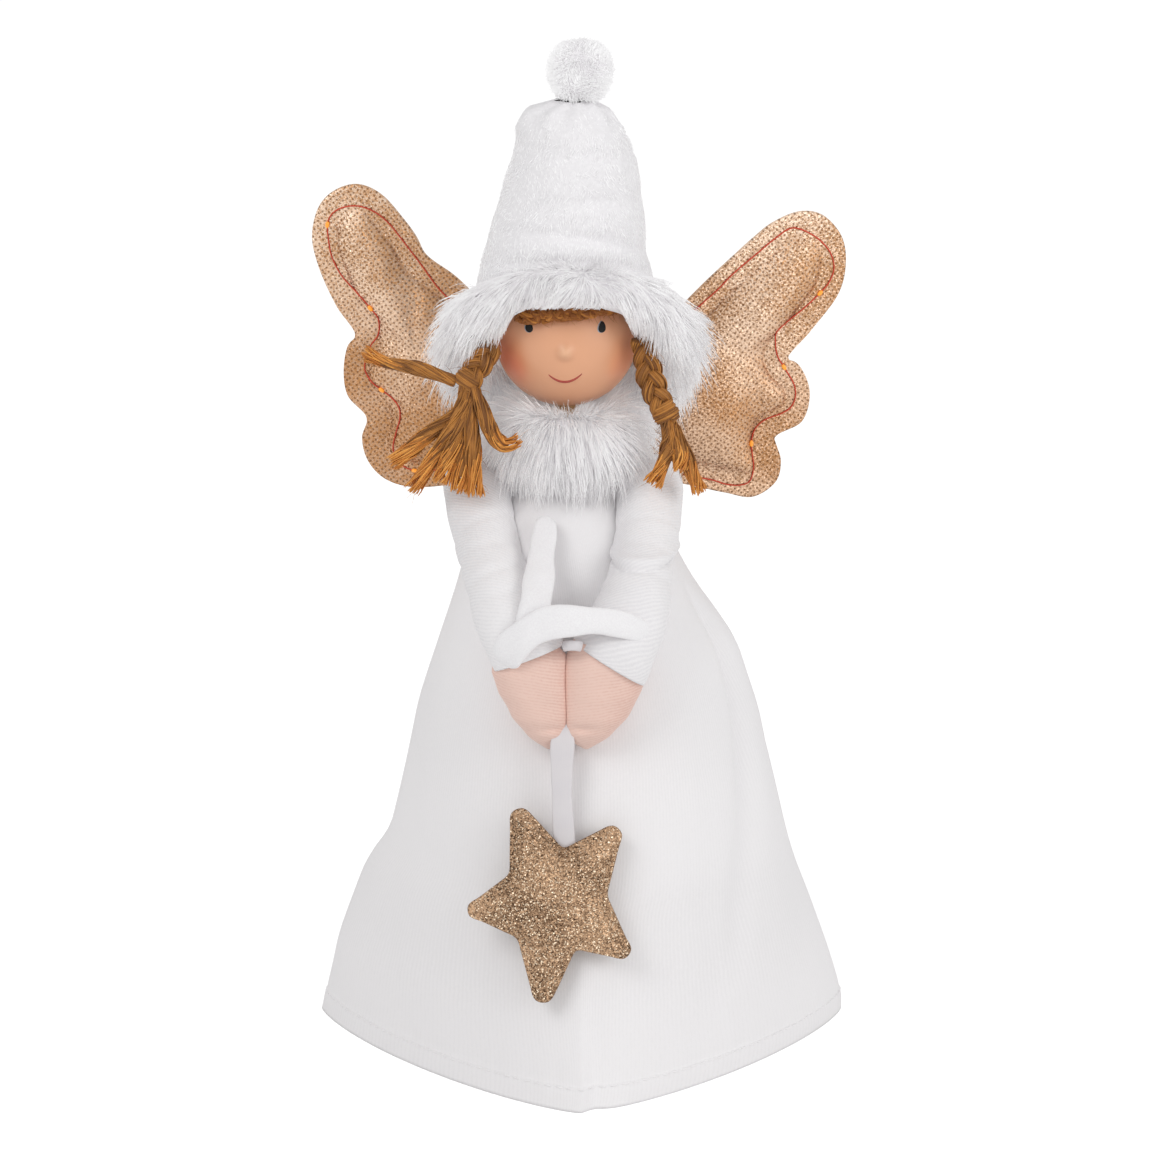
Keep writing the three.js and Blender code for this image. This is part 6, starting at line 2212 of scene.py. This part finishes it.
@dataclass
class Star:
    """The padded glitter star."""

    radius: float = 27.6
    notch_share: float = 0.545
    round_share: float = 0.125
    tip_width_share: float = 0.6
    centre: tuple[float, float, float] = (-7.3, -62.8, 59.6)
    slope: float = 18.0
    seam: float = 1.6
    crown: float = 3.4
    unblown_share: float = 0.6
    tip_angles: tuple = (112.6, 48.7, -35.8, -97.3, -173.6)
    tip_shares: tuple = (1.03, 1, 0.95, 1.06, 0.91)
    fill: float = 0.8

    def outline(self) -> Array:
        """The star's edge with rounded tips, evenly spaced.

        Returns:
            Its corners in the star's plane.
        """
        corners = []
        for i, (degrees, share) in enumerate(zip(self.tip_angles, self.tip_shares)):
            after = self.tip_angles[(i + 1) % 5] - (360 if i == 4 else 0)
            middle, heading = math.radians((degrees + after) / 2), math.radians(degrees)
            tip = np.array([math.cos(heading), math.sin(heading)]) * self.radius * share
            sideways = np.array([-tip[1], tip[0]])
            shoulder = 1 - self.round_share
            narrow = self.round_share * self.tip_width_share
            corners += [tip * shoulder + sideways * self.round_share, tip + sideways * narrow,
                        tip - sideways * narrow, tip * shoulder - sideways * self.round_share]
            corners.append(np.array([math.cos(middle), math.sin(middle)]) * self.radius * self.notch_share)
        path = []
        for i, corner in enumerate(corners):
            after = corners[(i + 1) % len(corners)]
            steps = max(2, int(np.linalg.norm(after - corner) / 1.5))
            path += [corner + (after - corner) * k / steps for k in range(steps)]
        outline = np.array(path)
        return (np.roll(outline, 1, axis=0) + 2 * outline + np.roll(outline, -1, axis=0)) / 4

    def build(self) -> None:
        """Makes the star."""
        slope = math.radians(self.slope)
        upward = np.array([0, math.sin(slope), math.cos(slope)])
        front = np.array([0, -math.cos(slope), math.sin(slope)])
        crown = self.crown * self.unblown_share
        pad = Pad(self.outline(), np.zeros(2), np.array(self.centre), ACROSS, upward, front, seam=0.4,
                  edge=self.seam, crowns=(crown, crown), softness=5.0, rows=20)
        make_piece("glitter_star", pad.shape(Inflation()), [STAR_GLITTER, STAR_EDGE], Body.STAR,
                   "star_glitter", "star", fill=self.fill)


@dataclass
class Wing:
    """A padded foil wing with its lamp wire and lamps."""

    side: Side
    body: Body
    outline_shares: tuple
    wire_places: tuple
    span: float = 72.0
    height: float = 96.0
    hinge: float = 9.3
    plane: float = 31.0
    foot: float = 155.0
    sweep: float = 8.0
    inset: float = 0.7
    border: float = 7.4
    cloth: float = 0.8
    crowns: tuple[float, float] = (4.6, 3.0)
    unblown_share: float = 0.6
    centre_shares: tuple[float, float] = (0.56, 0.47)
    wire_radius: float = 0.22
    lamp_count: int = 4
    lamp_radius: float = 0.6
    lamp_length: float = 2.0
    swelling: float = 2.6
    fill: float = 0.7

    def axes(self) -> tuple[Array, Array, Array]:
        """The wing's origin, its outward direction and the way its front faces.

        Returns:
            The origin and both directions.
        """
        turn = math.radians(self.sweep)
        out = np.array([self.side.value * math.cos(turn), math.sin(turn), 0])
        front = np.array([self.side.value * math.sin(turn), -math.cos(turn), 0])
        return np.array([self.side.value * self.hinge, self.plane, self.foot]), out, front

    def outline(self) -> Array:
        """The wing's edge in its plane: out from the hinge, and up.

        Returns:
            Its corners in the wing's plane.
        """
        corners = np.array(self.outline_shares) * [self.span, self.height]
        edge = smooth_path(corners, 150)
        root = edge[-1] + (edge[0] - edge[-1]) * np.linspace(0, 1, 15)[1:-1, None]
        outline = np.concatenate([edge, root])
        outline[:, 0] = np.maximum(outline[:, 0], self.inset)
        return outline

    def pad(self) -> Pad:
        """The wing as a padded shape.

        Returns:
            The pad, not yet blown up.
        """
        origin, out, front = self.axes()
        centre = np.array(self.centre_shares) * [self.span, self.height]
        crowns = tuple(self.unblown_share * crown for crown in self.crowns)
        return Pad(self.outline(), centre, origin, out, UPWARD, front, seam=self.border,
                   edge=2 * self.cloth + GAP, crowns=crowns, softness=4.5)

    def build(self) -> None:
        """Makes the wing, its wire and its lamps."""
        word = self.side.word
        pad = self.pad()
        shape = pad.shape(Inflation(cap=self.swelling))
        parts = (f"wing_{word}_front_cloth", f"wing_{word}_back_cloth", f"wing_{word}_wadding")
        make_piece(f"foil_wing_{word}", shape, [WING_FOIL, WING_FOIL], self.body, "wing_cloth", *parts,
                   fill=self.fill)
        polygons = [tuple(face) for block in shape.faces for face in block]
        surface = BVHTree.FromPolygons([Vector(p) for p in shape.points], polygons)
        flat = smooth_path(self.wire_places, 260) - [0, self.foot]
        wire = self.on_front(flat, pad, surface, self.wire_radius * 0.7)
        run = tube(wire, self.wire_radius, 8)
        make_piece(f"lamp_wire_{word}", run, [COPPER_WIRE], self.body, "copper_wire", f"led_wire_{word}")
        for number in range(1, self.lamp_count + 1):
            self.lamp(number, wire, pad.front)

    def on_front(self, flat: Array, pad: Pad, surface: BVHTree, lift: float) -> Array:
        """Flat places laid on the front of the wing.

        Args:
            flat: The places in the wing's plane.
            pad: The wing as a pad.
            surface: The blown-up wing.
            lift: How far off the cloth they lie.

        Returns:
            The places in the model.
        """
        far, near = (pad.placed(flat, np.full(len(flat), away)) for away in (30.0, 1.5))
        hits = [surface.ray_cast(Vector(p), Vector(-pad.front))[0] for p in far]
        return np.array([np.array(hit) if hit else p for hit, p in zip(hits, near)]) + pad.front * lift

    def lamp(self, number: int, wire: Array, front: Array) -> None:
        """One resin drop on the wire, by the lamp of the model.

        Args:
            number: The lamp's number, from 1.
            wire: Points of the wire.
            front: The way the wing's front faces.
        """
        name = f"led_{self.side.word}_{number}"
        middle = np.mean(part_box(name), axis=0) / MM
        at = int(np.linalg.norm(wire - middle, axis=1).argmin())
        along = tangents(wire)[at]
        stops, scales = round_ended(5, self.lamp_length, self.lamp_radius)
        swell = scales * (1 - 0.35 * np.abs(stops - 0.45))
        path = wire[at] + along * ((stops - 0.5) * self.lamp_length)[:, None]
        path = path + front * self.lamp_radius * 0.35
        drop = tube(path, swell * self.lamp_radius, 16, front)
        make_piece(f"lamp_{self.side.word}_{number}", drop, [LAMP_RESIN], self.body, "lamp_resin", name)


# Hidden parts


def soft_copy(node: str, name: str, finish: Finish, step: float) -> None:
    """A soft piece in the space of a hidden solid, with an uneven fibrous surface.

    Args:
        node: The solid's node.
        name: The piece's name.
        finish: Its finish.
        step: Size of the steps that the surface is rebuilt in, in millimetres.
    """
    piece = linked(name, bpy.data.objects[node].data.copy())
    remesh = piece.modifiers.new("remesh", "REMESH")
    remesh.mode = "VOXEL"
    remesh.voxel_size = step * MM
    smooth = piece.modifiers.new("smooth", "SMOOTH")
    smooth.iterations = 3
    graph = bpy.context.evaluated_depsgraph_get()
    solid = bpy.data.meshes.new_from_object(piece.evaluated_get(graph))
    piece.modifiers.clear()
    piece.data = solid
    count = len(solid.vertices)
    points, facing = np.empty(count * 3, np.float32), np.empty(count * 3, np.float32)
    solid.vertices.foreach_get("co", points)
    solid.vertices.foreach_get("normal", facing)
    places = points.reshape(-1, 3)
    uneven = ripple(places / MM, step * 2.5, 4) * step * 0.12 - step * 0.1
    moved = places + facing.reshape(-1, 3) * uneven[:, None] * MM
    solid.vertices.foreach_set("co", moved.astype(np.float32).ravel())
    solid.materials.clear()
    solid.materials.append(finish.material())
    solid.polygons.foreach_set("use_smooth", np.ones(len(solid.polygons), bool))
    solid.update()
    declare(piece, Body.FIGURE, [node])
    log.info("%s: %d points in the space of %s", name, count, node)


def dress_hidden_parts(nodes: dict[str, Piece]) -> None:
    """Gives the solids that stay their finishes and fills the soft ones.

    Args:
        nodes: The model's objects by name.
    """
    kept = {
        "cone_liner": CARD, "cone_plug": PLAIN_WOOD, "neck_peg": PLAIN_WOOD, "battery_case": CASE_PLASTIC,
        "battery_cover": CASE_PLASTIC, "cover_screw": STEEL, "contact_bottom": STEEL, "contact_side": STEEL,
        "cell_1": STEEL, "cell_2": STEEL, "circuit_board": BOARD, "switch_body": BLACK_PLASTIC,
        "switch_knob": BLACK_PLASTIC, "lead_wire": INSULATION,
    }
    for name, finish in kept.items():
        mesh = nodes[name].data
        mesh.materials.clear()
        mesh.materials.append(finish.material())
    soft_copy("wing_yoke", "felt_wing_yoke", FELT, 0.9)
    soft_copy("mounting_pad", "foam_mounting_pad", FOAM, 0.5)
    soft_copy("torso_stuffing", "wadding_stuffing", WADDING, 1.6)
    log.info("hidden: %d solids keep their shape and three get a soft one", len(kept))


# Studio


@dataclass
class Studio:
    """The floor, the soft light and the camera at the photograph's viewing angle."""

    distance: float = 1250.0
    elevation: float = 15.0
    aim: tuple[float, float, float] = (-1.19, 0.0, 139.5)
    focal_pixels: float = 4208.0
    frame_pixels: float = 1152.0
    sensor: float = 36.0
    floor_radius: float = 7000.0
    # Where the soft boxes look, then the name, place, width and power of each, in metres and watts
    lamp_aim: tuple[float, float, float] = (0.0, 0.0, 0.15)
    soft_boxes: tuple = (("key_soft_box", (-0.9, -1.1, 1.3), 0.8, 7.3),
                         ("fill_soft_box", (1.2, -0.9, 0.7), 0.9, 6.3))

    def camera(self) -> None:
        """Places the camera that took the photograph."""
        tilt = math.radians(self.elevation)
        aim = Vector(self.aim) * MM
        place = aim + Vector((0, -math.cos(tilt), math.sin(tilt))) * self.distance * MM
        lens = bpy.data.cameras.new("photo_camera")
        lens.sensor_width = self.sensor
        lens.lens = self.focal_pixels / self.frame_pixels * self.sensor
        lens.clip_end = 50
        camera = linked("photo_camera", lens)
        camera.location = place
        camera.rotation_euler = (aim - place).to_track_quat("-Z", "Y").to_euler()
        bpy.context.scene.camera = camera

    def seen_rays(self, tree: Tree) -> Socket:
        """1 for rays of the camera and for rays that gloss or glass sends on.

        Args:
            tree: The tree that asks.

        Returns:
            The share's socket.
        """
        rays = add_node(tree, "LightPath").outputs
        total = maths(tree, "ADD", rays["Is Camera Ray"], rays["Is Glossy Ray"])
        return maths(tree, "ADD", total, rays["Is Transmission Ray"], clamp=True)

    def floor(self) -> None:
        """A plain pale floor that shows white and keeps the shadow."""
        material = bpy.data.materials.new("pale studio floor")
        tree = fresh_tree(material)
        matt = add_node(tree, "BsdfDiffuse", {"Color": linear("#f2f2f2")})
        lift = maths(tree, "MULTIPLY", self.seen_rays(tree), 0.5)
        glow = add_node(tree, "Emission", {"Color": linear("#ffffff"), "Strength": lift})
        both = add_node(tree, "AddShader", {0: matt.outputs[0], 1: glow.outputs[0]})
        add_node(tree, "OutputMaterial", {"Surface": both.outputs[0]})
        ring = spokes(turns(64), ACROSS, BACKWARD)
        mesh = bpy.data.meshes.new("floor")
        mesh.from_pydata([tuple(p * self.floor_radius * MM) for p in ring], [], [tuple(range(64))])
        mesh.materials.append(material)
        linked("floor", mesh)

    def world(self) -> None:
        """Even light from all round, seen as white."""
        world = bpy.data.worlds.new("studio")
        bpy.context.scene.world = world
        tree = fresh_tree(world)
        strength = ranged(tree, self.seen_rays(tree), 0.0, 1.0, 0.6, 1.0)
        light = add_node(tree, "Background", {"Color": linear("#ffffff"), "Strength": strength})
        add_node(tree, "OutputWorld", {"Surface": light.outputs[0]})

    def lamp(self, name: str, place: tuple[float, float, float], size: float, power: float) -> None:
        """A square soft box that looks at the figure.

        Args:
            name: Its name.
            place: Its place in metres.
            size: Its width in metres.
            power: Its power in watts.
        """
        light = bpy.data.lights.new(name, "AREA")
        light.size = size
        light.energy = power
        lamp = linked(name, light)
        lamp.location = place
        lamp.rotation_euler = (Vector(self.lamp_aim) - Vector(place)).to_track_quat("-Z", "Y").to_euler()

    def build(self) -> None:
        """Makes the whole studio."""
        bpy.context.scene.view_settings.view_transform = "Standard"
        self.camera()
        self.floor()
        self.world()
        for box in self.soft_boxes:
            self.lamp(*box)


def wings() -> list[Wing]:
    """Both wings, each with its own outline and wire, as in the model."""
    left = Wing(
        Side.LEFT, Body.WING_LEFT,
        ((0, 0.43), (0.19, 0.56), (0.39, 0.707), (0.52, 0.778), (0.556, 0.83), (0.607, 0.883),
         (0.712, 0.967), (0.806, 0.993), (0.9, 0.971), (0.964, 0.923), (0.997, 0.833), (0.976, 0.743),
         (0.899, 0.609), (0.819, 0.514), (0.851, 0.482), (0.871, 0.396), (0.854, 0.319), (0.775, 0.25),
         (0.796, 0.188), (0.776, 0.117), (0.71, 0.059), (0.597, 0.031), (0.347, 0.052), (0, 0.115)),
        ((10, 204), (22, 211), (32.1, 218.3), (37.5, 225.2), (41.3, 230.2), (45.1, 235.2), (48.9, 239.6),
         (53.3, 242.7), (57.8, 244), (62.3, 243.4), (65.5, 241.4), (66.9, 238.5), (66.6, 232.8),
         (65.7, 228.3), (63.2, 223.2), (59.4, 218.8), (56.2, 215.7), (53.7, 212.8), (51.8, 210.6),
         (51.5, 207.4), (52.2, 204.2), (54.2, 201.5), (56.2, 194.3), (54.6, 191.1), (51.1, 188.3),
         (47.6, 185.8), (45.3, 183.2), (45, 180.3), (46.5, 175), (47.5, 170), (46, 165.5), (41.5, 163.2),
         (34, 163.6), (22, 165.5)),
    )
    right = Wing(
        Side.RIGHT, Body.WING_RIGHT,
        ((0, 0.406), (0.194, 0.542), (0.407, 0.699), (0.51, 0.769), (0.594, 0.825), (0.681, 0.875),
         (0.801, 0.908), (0.889, 0.894), (0.972, 0.824), (0.99, 0.74), (0.963, 0.649), (0.843, 0.527),
         (0.75, 0.441), (0.793, 0.423), (0.844, 0.336), (0.814, 0.239), (0.696, 0.186), (0.724, 0.12),
         (0.707, 0.048), (0.607, -0.002), (0.483, 0.015), (0.285, 0.051), (0, 0.083)),
        ((10, 201), (20, 209), (31.8, 218.9), (36.7, 223.8), (42.9, 228.9), (49.1, 234), (52.8, 236.7),
         (55.2, 237.4), (59, 236.2), (63.4, 233.3), (66.6, 229.2), (67.6, 224.8), (66.1, 220.5),
         (63.5, 217.4), (58.7, 212.9), (53.1, 208.3), (50.4, 205.9), (50, 202.1), (50.7, 198.3),
         (53.4, 193.8), (55.9, 189.3), (56.3, 185.6), (55, 182.4), (52.2, 180.6), (47.2, 178.8),
         (44.1, 176.1), (43, 172), (43.4, 166.9), (43.6, 163.1), (42.4, 159.6), (39.2, 158.6),
         (34.8, 159.2), (31.7, 160.3), (22, 162.5)),
    )
    return [left, right]


def plaits() -> list[Plait]:
    """Both plaits; places are shares of the head's radius and of the tassel's reach, as in the model."""
    left = Plait(
        Side.LEFT, Body.PLAIT_LEFT,
        ((-1.01, -0.724, 0.01), (-1.171, -0.838, -0.21), (-1.352, -0.876, -0.467)),
        (((-0.037, -0.02, -0.233), (-0.353, -0.037, -0.5), (-0.753, -0.02, -0.833)),
         ((-0.037, -0.053, -0.233), (-0.287, -0.103, -0.667), (-0.553, -0.087, -1.083)),
         ((-0.02, -0.07, -0.25), (-0.153, -0.14, -0.633), (-0.287, -0.133, -0.987)),
         ((0, -0.04, -0.25), (-0.05, -0.12, -0.68), (-0.1, -0.15, -1.08)),
         ((0.013, -0.07, -0.25), (0.05, -0.167, -0.7), (0.08, -0.2, -1.113))),
        cycles=1.0,
        loose_shares=((-0.115, 0, -0.01), (-0.467, 0.047, 0.1), (-0.787, 0.113, 0.153), (-1.02, 0.18, 0.233)),
        curl_shares=(((0.127, -0.107, -0.233), (0.233, -0.173, -0.487), (0.36, -0.22, -0.593),
                      (0.5, -0.253, -0.533)),),
    )
    right = Plait(
        Side.RIGHT, Body.PLAIT_RIGHT,
        ((1.05, -0.71, 0.08), (1.171, -0.838, -0.514), (1.362, -0.876, -0.924)),
        (((0.047, -0.037, -0.247), (-0.02, -0.1, -0.48), (-0.12, -0.12, -0.693)),
         ((0.08, -0.053, -0.247), (0.147, -0.093, -0.38), (0.167, -0.1, -0.56)),
         ((0.113, -0.037, -0.247), (0.233, -0.067, -0.513), (0.347, -0.04, -0.793))),
        cycles=1.5,
    )
    return [left, right]


def fur_rings() -> dict[str, FurRing]:
    """The fur collar and the fur brim, by the node that each stands for."""
    pile = Pile(11000, (8.0, 12.5), width=0.28, lock=24, gather=0.35, wander=0.6, lift=0.3, seed=11)
    collar = Collar("fur_collar", centre=(-4.0, -1.0, 182.0), radius=14.4, half_width=8.6, half_height=10.0,
                    tilt=-16.0, front_share=1.0, inset=1.2, pile=pile, front_rise=4.0)
    brim = FurRing("fur_brim", centre=Hat.brim_centre, radius=30.0, half_width=8.0, half_height=8.6,
                   tilt=Hat.brim_tilt, front_share=0.7, inset=1.3,
                   pile=replace(pile, count=15000, wander=0.8, seed=21))
    return {"collar": collar, "hat_brim": brim}


def main() -> None:
    """Builds every part of the angel on the frame, in order."""
    logging.basicConfig(level=logging.INFO, format="%(name)s: %(message)s")
    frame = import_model()
    noise.seed_set(NOISE_SEED)
    Studio().build()
    dress = Dress()
    dress.build()
    for node, ring in fur_rings().items():
        ring.build(node)
    Hat().build()
    Head().build()
    Fringe().build()
    yarn = Yarn()
    for plait in plaits():
        plait.build(yarn)
    Arms(dress).build()
    Ribbon().build()
    Star().build()
    for wing in wings():
        wing.build()
    dress_hidden_parts(frame["nodes"])


if __name__ == "__main__":
    main()
